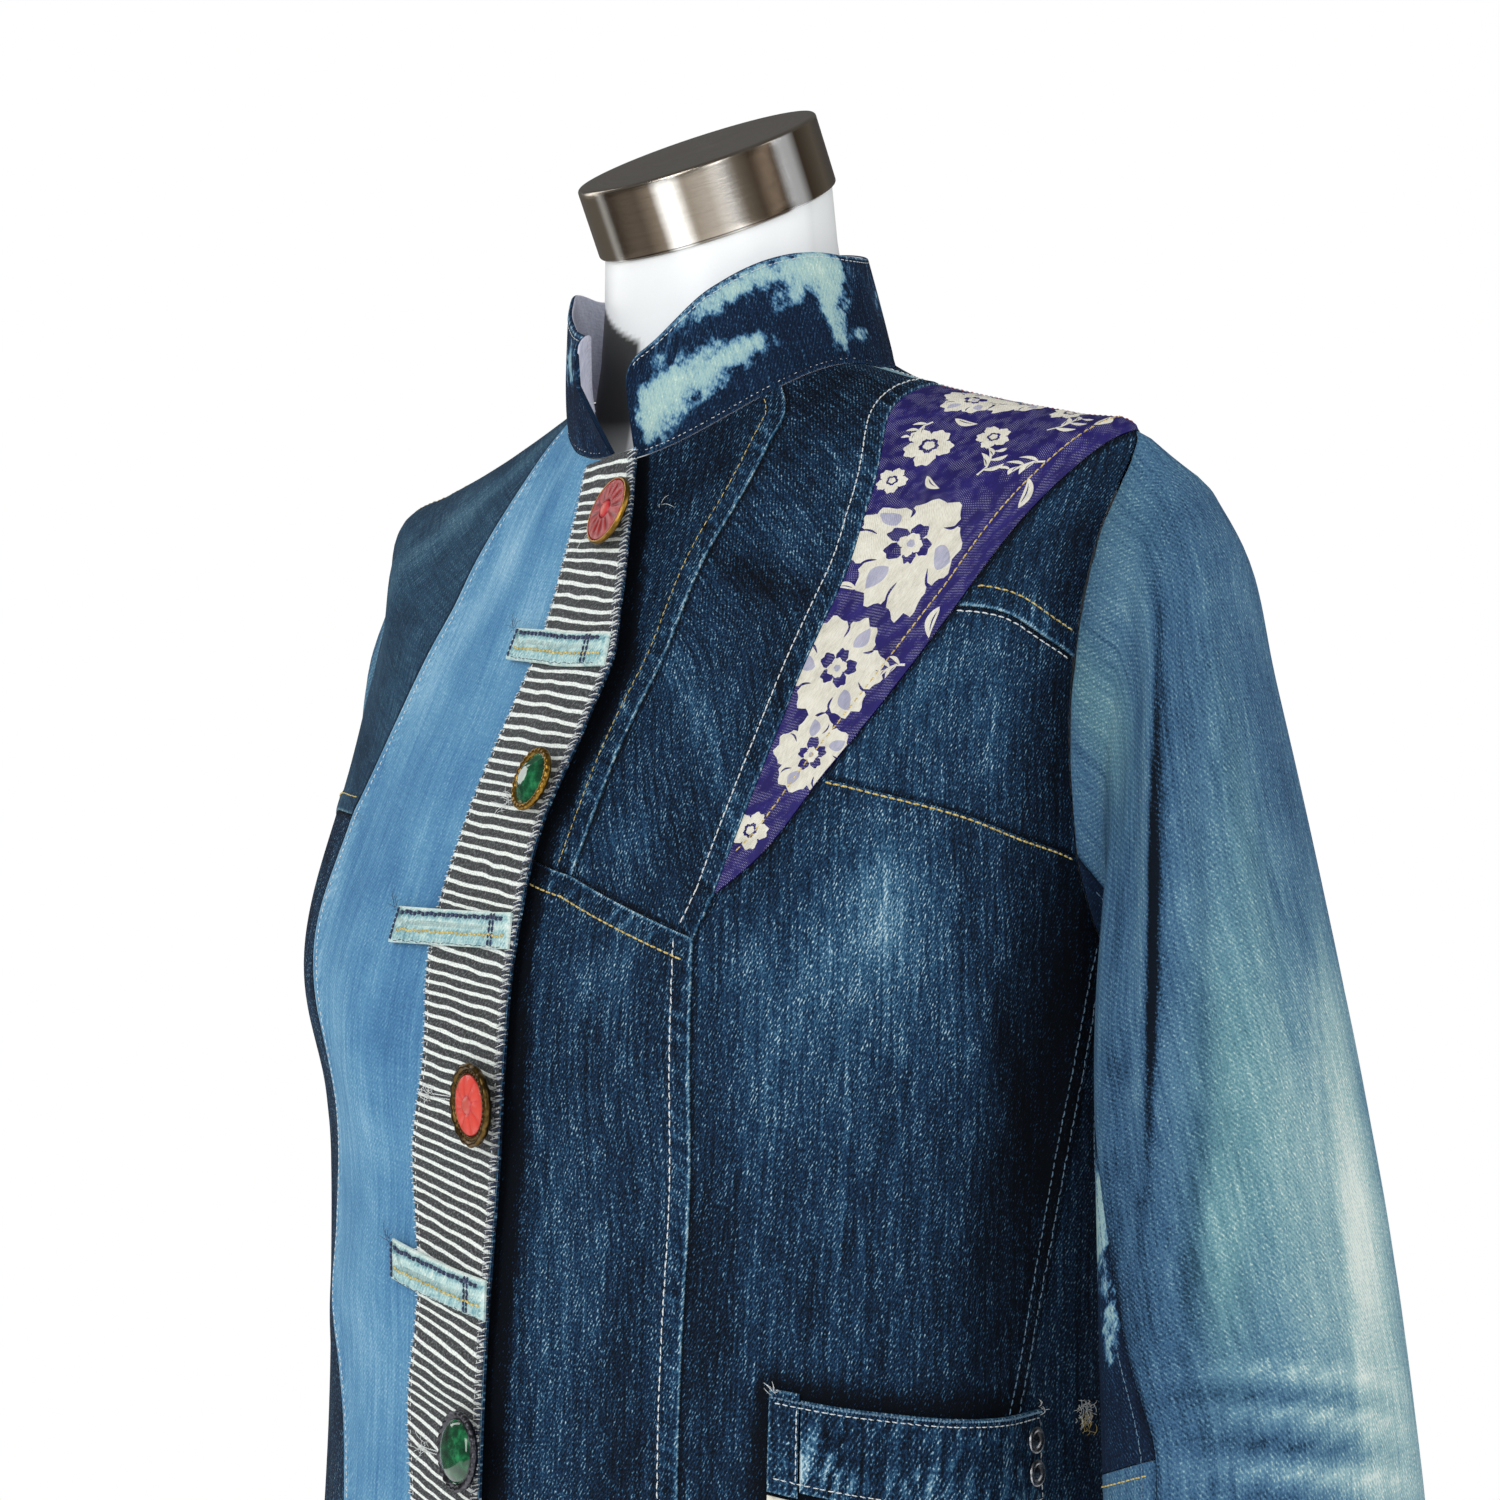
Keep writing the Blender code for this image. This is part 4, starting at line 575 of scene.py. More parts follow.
def closed_loop(*runs):
    """Runs of places joined into one loop, with each shared end kept once."""
    loop = []
    for run in runs:
        for place in run:
            if not loop or math.dist(place, loop[-1]) > 1e-6:
                loop.append(place)
    if math.dist(loop[0], loop[-1]) < 1e-6:
        loop.pop()
    return loop


def lap_out(angle, down):
    """How far the right front stands out from the body where it laps over the left."""
    rise = eased((angle - LAP_START) / LAP_SPREAD)
    edge = np.clip((angle - EDGE_START) / EDGE_SPREAD, 0, 1.2)
    return LAP * rise + EDGE_RISE * edge ** 1.5 + 0 * down


def off_body(extra):
    """A piece that lies on the body; extra is from the body to its outer face."""
    return lambda angle, down: 0 * angle + extra


def on_lap(extra):
    """A piece that lies on the right front; extra is from the front to its outer face."""
    return lambda angle, down: lap_out(angle, down) + extra


def wobble(along, pitch):
    """An uneven wave along a seam, from -1 to 1."""
    turn = 2 * math.pi * along / pitch
    wave = np.sin(turn + 1.7 * np.sin(turn / 4.3) + 0.9 * np.sin(turn / 2.6 + 1.1))
    return wave * (0.72 + 0.28 * np.sin(turn / 7.1 + 0.4))


def inside(points, loop):
    """Which flat points lie in a loop of flat points."""
    x, y = points[:, 0], points[:, 1]
    odd = np.zeros(len(points), bool)
    ends = np.asarray(loop)
    for (x0, y0), (x1, y1) in zip(ends, np.roll(ends, -1, axis=0)):
        if y0 == y1:
            continue
        crosses = (y0 > y) != (y1 > y)
        odd ^= crosses & (x < (x1 - x0) * (y - y0) / (y1 - y0) + x0)
    return odd


def near_line(points, line, closed=False):
    """For each point, its distance to a line of points and how far along the line that is."""
    line = np.asarray(line)
    if closed:
        line = np.vstack([line, line[:1]])
    start = line[:-1]
    step = line[1:] - start
    length = np.maximum(np.linalg.norm(step, axis=1), 1e-9)
    run = np.concatenate([[0], np.cumsum(length)[:-1]])
    away = np.full(len(points), np.inf)
    along = np.zeros(len(points))
    for k in range(0, len(points), 2000):
        part = points[k:k + 2000]
        gap = part[:, None] - start
        share = np.clip((gap * step).sum(2) / length ** 2, 0, 1)
        far = np.linalg.norm(gap - share[..., None] * step, axis=2)
        best = far.argmin(1)
        rows = np.arange(len(part))
        away[k:k + 2000] = far[rows, best]
        along[k:k + 2000] = run[best] + share[rows, best] * length[best]
    return away, along


def beside(places, amount, closed=False):
    """Places that lie amount metres to the side of a line of places, along the cloth."""
    places = np.asarray(places, float)
    angle, down = places[:, 0], places[:, 1]
    step = 0.3
    drop = MILLIMETRE
    here = body_point(angle, down)
    by_angle = (body_point(angle + step, down) - body_point(angle - step, down)) / (2 * step)
    by_down = (body_point(angle, down + drop) - body_point(angle, down - drop)) / (2 * drop)
    if closed:
        run = np.roll(here, -1, axis=0) - np.roll(here, 1, axis=0)
    else:
        run = np.gradient(here, axis=0)
    side = unit(np.cross(run, body_normal(angle, down))) * np.asarray(amount)[..., None]
    aa = (by_angle * by_angle).sum(1)
    dd = (by_down * by_down).sum(1)
    ad = (by_angle * by_down).sum(1)
    sa = (side * by_angle).sum(1)
    sd = (side * by_down).sum(1)
    det = aa * dd - ad * ad
    moved = np.stack([(sa * dd - sd * ad) / det, (sd * aa - sa * ad) / det], -1)
    return places + moved


def flat_of(places):
    """Places as flat points, in rough metres."""
    return np.asarray(places, float) * np.array([math.radians(1) * GIRTH_RADIUS, 1.0])


def place_from(flat):
    """Flat points as places."""
    return np.asarray(flat, float) / np.array([math.radians(1) * GIRTH_RADIUS, 1.0])


# The hem's runs: piece, seam, first and last place
HEMS = (
    ("front_left_centre_lower", "hem_left", "front_hem_edge", "princess_hem"),
    ("front_left_side_lower", "hem_left", "princess_hem", "side_left_hem"),
    ("back_left", "hem_back", "side_left_hem", "back_left_hem"),
    ("back_centre", "hem_back", "back_left_hem", "back_right_hem"),
    ("back_right", "hem_back", "back_right_hem", "side_back_hem"),
    ("front_right_side", "hem_right", "side_right_hem", "light_blue_hem"),
    ("front_right_centre", "hem_right", "light_blue_hem", "right_edge_hem"),
)

# The folded and sewn edge of one piece over its neighbours
Fell = namedtuple("Fell", "piece seam width height ripple pitch wear under start end",
                  defaults=(None, None))
FELLS = (
    Fell("front_left_centre_upper", "band", 0.0084, 0.0007, 0.45, 0.0085, 0.95,
         ("front_left_side_upper",)),
    Fell("front_left_centre_lower", "diagonal_front", 0.0095, 0.0008, 0.5, 0.0066, 1.0,
         ("front_left_centre_upper",)),
    Fell("front_left_centre_lower", "diagonal", 0.0095, 0.0008, 0.5, 0.0066, 1.0,
         ("front_left_side_upper",)),
    Fell("front_left_centre_lower", "lower", 0.0084, 0.0010, 0.85, 0.0090, 0.85,
         ("front_left_side_lower",)),
    Fell("front_left_side_upper", "princess", 0.0082, 0.0007, 0.5, 0.0072, 0.7,
         ("applique_floral",)),
    Fell("front_left_side_upper", "princess_low", 0.0082, 0.0007, 0.5, 0.0072, 0.7,
         ("front_left_side_lower",)),
    Fell("front_left_shoulder", "welt", 0.0088, 0.0007, 0.5, 0.0060, 1.0,
         ("front_left_chest",)),
    Fell("front_left_side_lower", "chest", 0.0020, 0.0004, 0.4, 0.0050, 0.3,
         ("front_left_chest",)),
    Fell("applique_floral", "applique_edge", 0.0090, 0.0005, 0.4, 0.0070, 0.6,
         ("front_left_shoulder", "front_left_chest")),
    Fell("applique_floral", "applique_low", 0.0090, 0.0005, 0.4, 0.0070, 0.6,
         ("front_left_side_lower",)),
    Fell("front_right_centre", "light_blue", 0.0050, 0.0004, 0.4, 0.0050, 0.5,
         ("front_right_yoke",)),
    Fell("front_right_centre", "light_blue_low", 0.0050, 0.0004, 0.4, 0.0050, 0.5,
         ("front_right_side",)),
    Fell("front_right_yoke", "right_yoke", 0.0084, 0.0006, 0.4, 0.0070, 0.6,
         ("front_right_side",)),
    Fell("front_left_side_lower", "side_left", 0.0084, 0.0007, 0.6, 0.0080, 0.7,
         ("back_left",)),
    Fell("back_yoke", "yoke_left", 0.0084, 0.0007, 0.5, 0.0070, 0.8, ("back_left",)),
    Fell("back_yoke", "yoke_back", 0.0084, 0.0007, 0.5, 0.0070, 0.8, ("back_centre",)),
    Fell("back_yoke", "yoke_right", 0.0084, 0.0007, 0.5, 0.0070, 0.8, ("back_right",)),
    Fell("back_left", "back_left", 0.0084, 0.0008, 0.6, 0.0080, 0.8, ("back_centre",)),
    Fell("back_right", "back_right", 0.0084, 0.0008, 0.6, 0.0080, 0.8, ("back_centre",)),
    Fell("front_right_yoke", "shoulder_right", 0.0070, 0.0005, 0.4, 0.0070, 0.5,
         ("back_yoke",)),
    Fell("back_shoulder_strip", "strip", 0.0040, 0.0004, 0.4, 0.0060, 0.4, ("back_yoke",)),
    Fell("front_right_side", "side_right", 0.0084, 0.0007, 0.6, 0.0080, 0.7,
         ("back_right",)),
    *(Fell(piece, seam, 0.0120, 0.0007, 0.5, 0.0075, 0.9, (), start, end)
      for piece, seam, start, end in HEMS),
)


def linear(text):
    """A colour given by six hexadecimal digits, as linear values."""
    parts = [int(text[i:i + 2], 16) / 255 for i in (0, 2, 4)]
    return tuple(p / 12.92 if p <= 0.04045 else ((p + 0.055) / 1.055) ** 2.4
                 for p in parts) + (1.0,)


class Look:
    """A material and short ways to add to its nodes."""

    def __init__(self, name, roughness=0.9, metallic=0.0, **constants):
        self.material = bpy.data.materials.new(name)
        self.material.use_nodes = True
        self.nodes = self.material.node_tree.nodes
        self.links = self.material.node_tree.links
        self.shader = self.nodes["Principled BSDF"]
        self.shader.inputs["Roughness"].default_value = roughness
        self.shader.inputs["Metallic"].default_value = metallic
        for key, value in constants.items():
            self.shader.inputs[key.replace("_", " ").title()].default_value = value

    def feed(self, socket, value):
        """Join a value or another socket to a socket."""
        if isinstance(value, bpy.types.NodeSocket):
            self.links.new(value, socket)
        elif value is not None:
            socket.default_value = value

    def add(self, kind, *values, **settings):
        """A new node with its settings and its first inputs."""
        node = self.nodes.new("ShaderNode" + kind)
        for key, value in settings.items():
            setattr(node, key, value)
        for socket, value in zip(node.inputs, values):
            self.feed(socket, value)
        return node

    def math(self, operation, a, b=0.0, c=0.0):
        """One sum, product or other step of arithmetic."""
        return self.add("Math", a, b, c, operation=operation).outputs[0]

    def total(self, *terms):
        """The sum of values and of (socket, factor) pairs."""
        result = 0.0
        for term in terms:
            if isinstance(term, tuple):
                result = self.math("MULTIPLY_ADD", term[0], term[1], result)
            else:
                result = self.math("ADD", term, result)
        return result

    def attribute(self, name):
        """The parts of a vector kept on the mesh."""
        node = self.add("Attribute", attribute_name=name, attribute_type="GEOMETRY")
        return self.add("SeparateXYZ", node.outputs["Vector"]).outputs

    def cloth(self):
        """Millimetres across and down the cloth."""
        x, y, _ = self.attribute("cloth")
        return self.math("MULTIPLY", x, PER_METRE), self.math("MULTIPLY", y, PER_METRE)

    def vector(self, x, y, z=0.0):
        """Three values as one vector."""
        return self.add("CombineXYZ", x, y, z).outputs[0]

    def noise(self, vector, scale=1.0, detail=2.0, roughness=0.5):
        """Smooth noise from 0 to 1."""
        node = self.add("TexNoise", vector, None, scale, detail, roughness)
        return node.outputs["Fac"]

    def grain(self, u, v, wide, long, seed, detail=1.0):
        """Noise whose spots are wide and long by so many units."""
        return self.noise(self.vector(self.math("DIVIDE", u, wide),
                                      self.math("DIVIDE", v, long), seed), 1.0, detail)

    def step(self, value, low, high, start=0.0, end=1.0):
        """A smooth step from start to end as the value goes from low to high."""
        node = self.add("MapRange", value, low, high, start, end,
                        interpolation_type="SMOOTHSTEP")
        return node.outputs[0]

    def ramp(self, value, stops):
        """Colours at places along a value, mixed between them."""
        node = self.add("ValToRGB", value)
        line = node.color_ramp.elements
        while len(line) < len(stops):
            line.new(0.5)
        for element, (place, text) in zip(line, stops):
            element.position = place
            element.color = linear(text)
        return node.outputs[0]

    def mix(self, share, a, b):
        """One colour turned into another."""
        node = self.add("Mix", data_type="RGBA", clamp_factor=True)
        self.feed(node.inputs[0], share)
        self.feed(node.inputs[6], linear(a) if isinstance(a, str) else a)
        self.feed(node.inputs[7], linear(b) if isinstance(b, str) else b)
        return node.outputs[2]

    def finish(self, colour, height=None, depth=0.0002, strength=1.0, roughness=None):
        """Join the colour, the bump and the roughness to the shader."""
        self.feed(self.shader.inputs["Base Color"], colour)
        if roughness is not None:
            self.feed(self.shader.inputs["Roughness"], roughness)
        if height is not None:
            bump = self.add("Bump")
            bump.inputs["Strength"].default_value = strength
            bump.inputs["Distance"].default_value = depth
            self.feed(bump.inputs["Height"], height)
            self.feed(self.shader.inputs["Normal"], bump.outputs[0])
        return self.material


# The dyes of the cloths: colours from the darkest to the most worn, then how much of each
# kind of unevenness the cloth shows
Dye = namedtuple("Dye", "stops level twill streak cloud slub")
DYES = {
    "dark": Dye(((0.0, "040a13"), (0.20, "091829"), (0.40, "15314e"), (0.60, "315b79"),
                 (0.80, "6d93a8"), (1.0, "b6cbd1")), 0.335, 0.30, 0.28, 0.24, 0.10),
    "slubby": Dye(((0.0, "0a1420"), (0.20, "12263a"), (0.40, "27475f"), (0.60, "4d7083"),
                   (0.80, "84a3ad"), (1.0, "b9cbcd")), 0.36, 0.12, 0.07, 0.30, 0.42),
    "light": Dye(((0.0, "2b5078"), (0.3, "4677a1"), (0.5, "5e91b3"), (0.75, "89b2cb"),
                  (1.0, "c2d9e2")), 0.46, 0.13, 0.26, 0.52, 0.18),
    "sleeve": Dye(((0.0, "08121e"), (0.14, "1d374f"), (0.28, "36597a"), (0.5, "567d96"),
                   (0.75, "8fb0b7"), (1.0, "d0ddd8")), 0.36, 0.17, 0.19, 0.34, 0.12),
    "bleached": Dye(((0.0, "040a14"), (0.3, "0c1d33"), (0.5, "193352"), (0.72, "3d6584"),
                     (1.0, "a3c0c9")), 0.34, 0.20, 0.10, 0.24, 0.08),
    "aqua": Dye(((0.0, "46707f"), (0.3, "7fa9b1"), (0.5, "a9c9c9"), (0.75, "c9dfd9"),
                 (1.0, "e9f1eb")), 0.46, 0.20, 0.16, 0.26, 0.20),
}
GREENISH = ((0.0, "1b3744"), (0.25, "3a6070"), (0.5, "628d98"), (0.75, "99b9b9"),
            (1.0, "dde5de"))
BLEACH = ((0.0, "5f8aa3"), (0.35, "92b4b8"), (0.7, "acc8c0"), (1.0, "cfe0d8"))
HALO = ((0.2, "183557"), (0.5, "3c6a90"), (0.9, "84aab9"))
TWILL_PITCH = 1.5         # millimetres between its slanting lines
TWILL_LEAN = math.radians(55)


def twill_weave(look, u, v):
    """Slanting lines of twill, broken up by its yarns."""
    lean_c = math.cos(TWILL_LEAN)
    lean_s = math.sin(TWILL_LEAN)
    a = look.total((u, lean_c), (v, -lean_s))
    b = look.total((u, lean_s), (v, lean_c))
    bend = look.grain(u, v, 5.0, 7.0, 4.0)
    turn = look.total((b, 2 * math.pi / TWILL_PITCH), (bend, 5.0))
    wale = look.math("SINE", turn)
    dash = look.grain(a, b, 1.5, 0.8, 9.0)
    dot = look.grain(u, v, 0.6, 1.0, 2.0)
    column = look.grain(u, v, 1.5, 16.0, 15.0)
    raw = look.total((wale, 0.24), (dash, 2.1), (dot, 2.2), (column, 1.3), -2.80)
    return look.total(raw, (look.step(raw, 0.25, 0.85), 0.85), -0.12)


def edge_wear_and_shadow(look, s, d, kind):
    """Pale rims, puckers and valleys s along and d away from a fold, and painted shadow in the
    groove below it.
    """
    over = look.math("MAXIMUM", kind, 0.0)
    under = look.math("MAXIMUM", look.math("MULTIPLY", kind, -1.0), 0.0)
    spots = look.noise(look.vector(look.math("DIVIDE", s, 3.2), 0.0, 5.0), 1.0, 2.0)
    rim = look.math("MULTIPLY", look.step(d, 0.2, 1.7, 1.0, 0.0), over)
    rim = look.math("MULTIPLY", rim, look.step(spots, 0.28, 0.62, 0.35, 1.0))
    slant = look.total(s, (d, 0.45))
    creases = look.grain(slant, d, 3.0, 11.0, 8.0)
    band = look.math("MULTIPLY", look.step(d, 9.0, 15.0, 1.0, 0.0), over)
    pucker = look.math("MULTIPLY", look.step(creases, 0.50, 0.72), band)
    valley = look.math("MULTIPLY", look.step(creases, 0.46, 0.28), band)
    # painted shadow in the groove on the piece beside the fold, where kind is negative
    groove = look.math("MULTIPLY", look.step(d, 0.3, 3.2, 1.0, 0.0), under)
    return rim, pucker, valley, groove


def bleached(look, colour, pale, twill, u, v):
    """A colour splashed with bleach that has ragged edges and a blue halo."""
    across = look.total((u, 0.8), (v, -0.6))
    slanted = look.total((u, 0.6), (v, 0.8))
    fringe = look.total((look.grain(u, v, 6.5, 6.5, 11.0, 4.0), 1.5),
                        (look.grain(u, v, 2.0, 2.4, 16.0, 3.0), 0.6),
                        (look.grain(across, slanted, 1.6, 6.0, 12.0, 2.0), 0.55),
                        (look.grain(u, v, 0.7, 1.0, 14.0), 0.18), -1.415)
    amount = look.total(pale, (fringe, look.step(pale, 0.02, 0.30, 0.0, 1.15)))
    halo = look.total((twill, 0.20), (amount, 0.9), 0.10)
    colour = look.mix(look.step(amount, 0.18, 0.52), colour, look.ramp(halo, HALO))
    tint = look.total((twill, 0.22), (look.grain(u, v, 0.8, 9.0, 13.0), 0.6),
                      (amount, 0.45), -0.28)
    return look.mix(look.step(amount, 0.38, 0.86), colour, look.ramp(tint, BLEACH))


def denim(name, dye):
    """Twill dyed with indigo, worn pale along its folded edges and puckers, with painted shade
    from its tone and painted shadow in the grooves beside folds.
    """
    look = Look(name, 0.92)
    look.shader.inputs["Specular IOR Level"].default_value = 0.16
    u, v = look.cloth()
    # the tone holds fade from wear, dark as painted shade and shadow with an even darkening on
    # the pocket's band, and pale as bleach
    fade, dark, pale = look.attribute("tone")
    along, away, kind = look.attribute("seam")
    s = look.math("MULTIPLY", along, PER_METRE)
    d = look.math("MULTIPLY", away, PER_METRE)
    twill = twill_weave(look, u, v)
    streak = look.total((look.grain(u, v, 1.0, 42.0, 3.0), 1.0),
                        (look.grain(u, v, 3.6, 120.0, 7.0), 1.1), -1.05)
    cloud = look.total((look.grain(u, v, 34.0, 46.0, 1.0, 3.0), 1.0), -0.5)
    slub = look.total((look.grain(u, v, 16.0, 0.9, 6.0), 1.0), -0.5)
    rim, pucker, valley, groove = edge_wear_and_shadow(look, s, d, kind)
    level = look.total((twill, dye.twill), (streak, dye.streak), (cloud, dye.cloud),
                       (slub, dye.slub), fade, (dark, -1.0), (rim, 0.50), (pucker, 0.22),
                       (valley, -0.10), (groove, -0.30), dye.level)
    colour = look.ramp(level, dye.stops)
    if dye is DYES["sleeve"]:
        colour = look.mix(pale, colour, look.ramp(level, GREENISH))
    elif dye is DYES["bleached"]:
        colour = bleached(look, colour, pale, twill, u, v)
    height = look.total((twill, 0.5), (streak, 0.25), (pucker, 0.9), (valley, -0.6),
                        (slub, 0.3))
    return look.finish(colour, height, 0.00022, 0.8)


def back_cloth():
    """The pale inner side of denim."""
    look = Look("cloth_inside", 0.92)
    u, v = look.cloth()
    weave = look.grain(u, v, 0.8, 1.6, 1.0)
    cloud = look.grain(u, v, 18.0, 26.0, 2.0, 3.0)
    level = look.total((weave, 0.9), (cloud, 0.7), -0.3)
    colour = look.ramp(level, ((0.0, "4c5f7c"), (0.5, "8f9fb6"), (1.0, "cfd6e0")))
    return look.finish(colour, weave, 0.0002, 0.7)


STRIPE_PITCH = 4.55       # millimetres
STRIPE_WIDE = 0.32        # share of the pitch that is white


def striped():
    """Charcoal twill with wavy woven white stripes."""
    look = Look("stripe_ticking", 0.9, sheen_weight=0.1)
    u, v = look.cloth()
    bend = look.total((look.grain(u, v, 12.0, 10.0, 5.0, 1.0), 1.8),
                      (look.grain(u, v, 2.2, 3.0, 6.0), 0.15))
    phase = look.math("FRACT", look.math("DIVIDE", look.math("ADD", v, bend), STRIPE_PITCH))
    middle = look.math("ABSOLUTE", look.math("SUBTRACT", phase, 0.5))
    edge = look.grain(u, v, 0.7, 0.5, 8.0)
    ragged = look.total(middle, (edge, 0.10), -0.05)
    white = look.step(ragged, STRIPE_WIDE / 2 - 0.035, STRIPE_WIDE / 2 + 0.035, 1.0, 0.0)
    twill = look.grain(look.total((u, 0.7), (v, 0.7)), look.total((u, -0.7), (v, 0.7)),
                       0.55, 1.4, 3.0)
    cord = look.grain(u, v, 1.1, 0.5, 9.0)
    dark = look.ramp(twill, ((0.25, "17191b"), (0.5, "35383a"), (0.75, "6d7172")))
    light = look.ramp(cord, ((0.2, "a9b3ae"), (0.5, "e4ebe6"), (0.8, "f7f9f6")))
    colour = look.mix(white, dark, light)
    height = look.total((white, 1.0), (cord, 0.5), (twill, 0.5))
    return look.finish(colour, height, 0.0003, 0.8)


def plain_weave(name, stops):
    """A plain woven cloth or tape with a little colour change between its yarns."""
    look = Look(name, 0.85, sheen_weight=0.1)
    u, v = look.cloth()
    warp = look.grain(u, v, 0.9, 4.5, 1.0)
    weft = look.grain(u, v, 4.5, 0.9, 2.0)
    cloud = look.grain(u, v, 14.0, 14.0, 3.0, 2.0)
    level = look.total((warp, 0.55), (weft, 0.55), (cloud, 0.4), -0.25)
    return look.finish(look.ramp(level, stops), look.total(warp, weft), 0.0002, 0.8)


def brocade_ground():
    """Violet ground of the flowered cloth, with pale pinpoints of its weft."""
    look = Look("brocade_ground", 0.6)
    look.shader.inputs["Specular IOR Level"].default_value = 0.25
    u, v = look.cloth()
    a = look.total((u, 0.80), (v, 0.60))
    b = look.total((u, -0.60), (v, 0.80))
    pins = look.math("MULTIPLY", look.math("SINE", look.math("MULTIPLY", a, 7.4)),
                     look.math("SINE", look.math("MULTIPLY", b, 3.6)))
    patchy = look.grain(u, v, 7.0, 5.0, 2.0, 2.0)
    pin = look.math("MULTIPLY", look.step(pins, 0.35, 0.85), look.step(patchy, 0.42, 0.62))
    cloud = look.grain(u, v, 12.0, 12.0, 4.0, 2.0)
    weave = look.grain(a, b, 0.5, 1.6, 7.0)
    level = look.total((cloud, 0.6), (weave, 0.5), -0.1)
    ground = look.ramp(level, ((0.1, "130c42"), (0.5, "1f1764"), (0.9, "383184")))
    colour = look.mix(look.math("MULTIPLY", pin, 0.75), ground, "b9b6d6")
    return look.finish(colour, look.total((weave, 0.6), (pin, 0.8)), 0.0002, 0.8)


def brocade_figure(name, stops):
    """The pale satin of the flowers."""
    look = Look(name, 0.62)
    look.shader.inputs["Specular IOR Level"].default_value = 0.25
    u, v = look.cloth()
    a = look.total((u, 0.80), (v, 0.60))
    b = look.total((u, -0.60), (v, 0.80))
    ribs = look.math("SINE", look.math("MULTIPLY", a, 9.0))
    weave = look.grain(a, b, 0.5, 2.2, 5.0)
    cloud = look.grain(u, v, 9.0, 7.0, 3.0, 2.0)
    level = look.total((weave, 0.5), (ribs, 0.10), (cloud, 0.6), -0.05)
    return look.finish(look.ramp(level, stops), look.total((ribs, 0.3), weave), 0.0002, 0.8)


def thread_look(name, stops):
    """Twisted sewing thread."""
    look = Look(name, 0.7, sheen_weight=0.2)
    x, y, _ = look.attribute("cloth")
    s = look.math("MULTIPLY", x, PER_METRE)
    ply = look.math("SINE", look.total((s, 6.0), (y, 6.28)))
    worn = look.noise(look.vector(look.math("DIVIDE", s, 9.0), 0.0, 1.0), 1.0, 3.0)
    level = look.total((ply, 0.16), worn)
    return look.finish(look.ramp(level, stops), ply, 0.0001, 0.8)


def enamel(name, deep, bright, scale, top="c4574a"):
    """Carved and coloured disc of a button, darker in its hollows."""
    look = Look(name, 0.38, coat_weight=0.15, coat_roughness=0.3)
    hollow, _, _ = look.attribute("cloth")
    point = look.add("TexCoord").outputs["Object"]
    mottle = look.noise(point, scale, 4.0, 0.6)
    level = look.total((hollow, 1.0), (mottle, 0.7), -0.35)
    colour = look.ramp(level, ((0.0, deep), (0.45, bright), (1.0, top)))
    return look.finish(colour, mottle, 0.0003, 0.5)


def glass_stone(name, deep, bright):
    """Dark green glass with pale streaks inside it."""
    look = Look(name, 0.09, coat_weight=0.6, coat_roughness=0.04)
    point = look.add("TexCoord").outputs["Object"]
    streak = look.noise(point, 260.0, 3.0, 0.6)
    cloud = look.noise(point, 90.0, 2.0, 0.5)
    level = look.total((streak, 0.8), (cloud, 0.6), -0.2)
    colour = look.ramp(level, ((0.25, "021c12"), (0.5, deep), (0.72, bright), (0.95, "bfe6c4")))
    return look.finish(colour)


def metal(name, dark, light, roughness, scale, stretch=1.0):
    """Metal with fine scratches and darker hollows."""
    look = Look(name, roughness, 1.0)
    x, y, z = look.add("SeparateXYZ", look.add("TexCoord").outputs["Object"]).outputs
    long = look.math("DIVIDE", z, stretch)
    point = look.vector(x, y, long)
    fine = look.noise(point, scale, 4.0, 0.6)
    wide = look.noise(point, scale / 9, 2.0, 0.5)
    level = look.total((fine, 0.7), (wide, 0.6), -0.15)
    colour = look.ramp(level, ((0.2, dark), (0.8, light)))
    shine = look.total((fine, 0.22), roughness - 0.10)
    return look.finish(colour, fine, 0.00008, 0.4, shine)


# Painted reflections: bright and dark bands round the cap's side, from its back round by the
# right and the front
CAP_PAINTED_REFLECTIONS = tuple(((degrees + 180) / 360, text) for degrees, text in (
    (-180, "4b4034"), (-150, "c9c2b6"), (-138, "3d3228"), (-100, "6a5f50"), (-84, "f2eee6"),
    (-72, "3a2e22"), (-46, "6a5f50"), (-20, "8b7f6e"), (-16, "f0ebe2"), (-11, "4c4034"),
    (6, "3a2e22"), (14, "6c6052"), (19, "fffdf8"), (25, "fbf8f2"), (30, "81776a"),
    (40, "a59c90"), (49, "f2ede5"), (55, "9a8c7b"), (62, "4b3c2d"), (74, "3f3225"),
    (79, "ffffff"), (84, "ffffff"), (90, "544637"), (104, "7d7262"), (118, "3c3024"),
    (140, "7c7264"), (152, "f0ebe2"), (162, "5a4e40"), (180, "4b4034")))


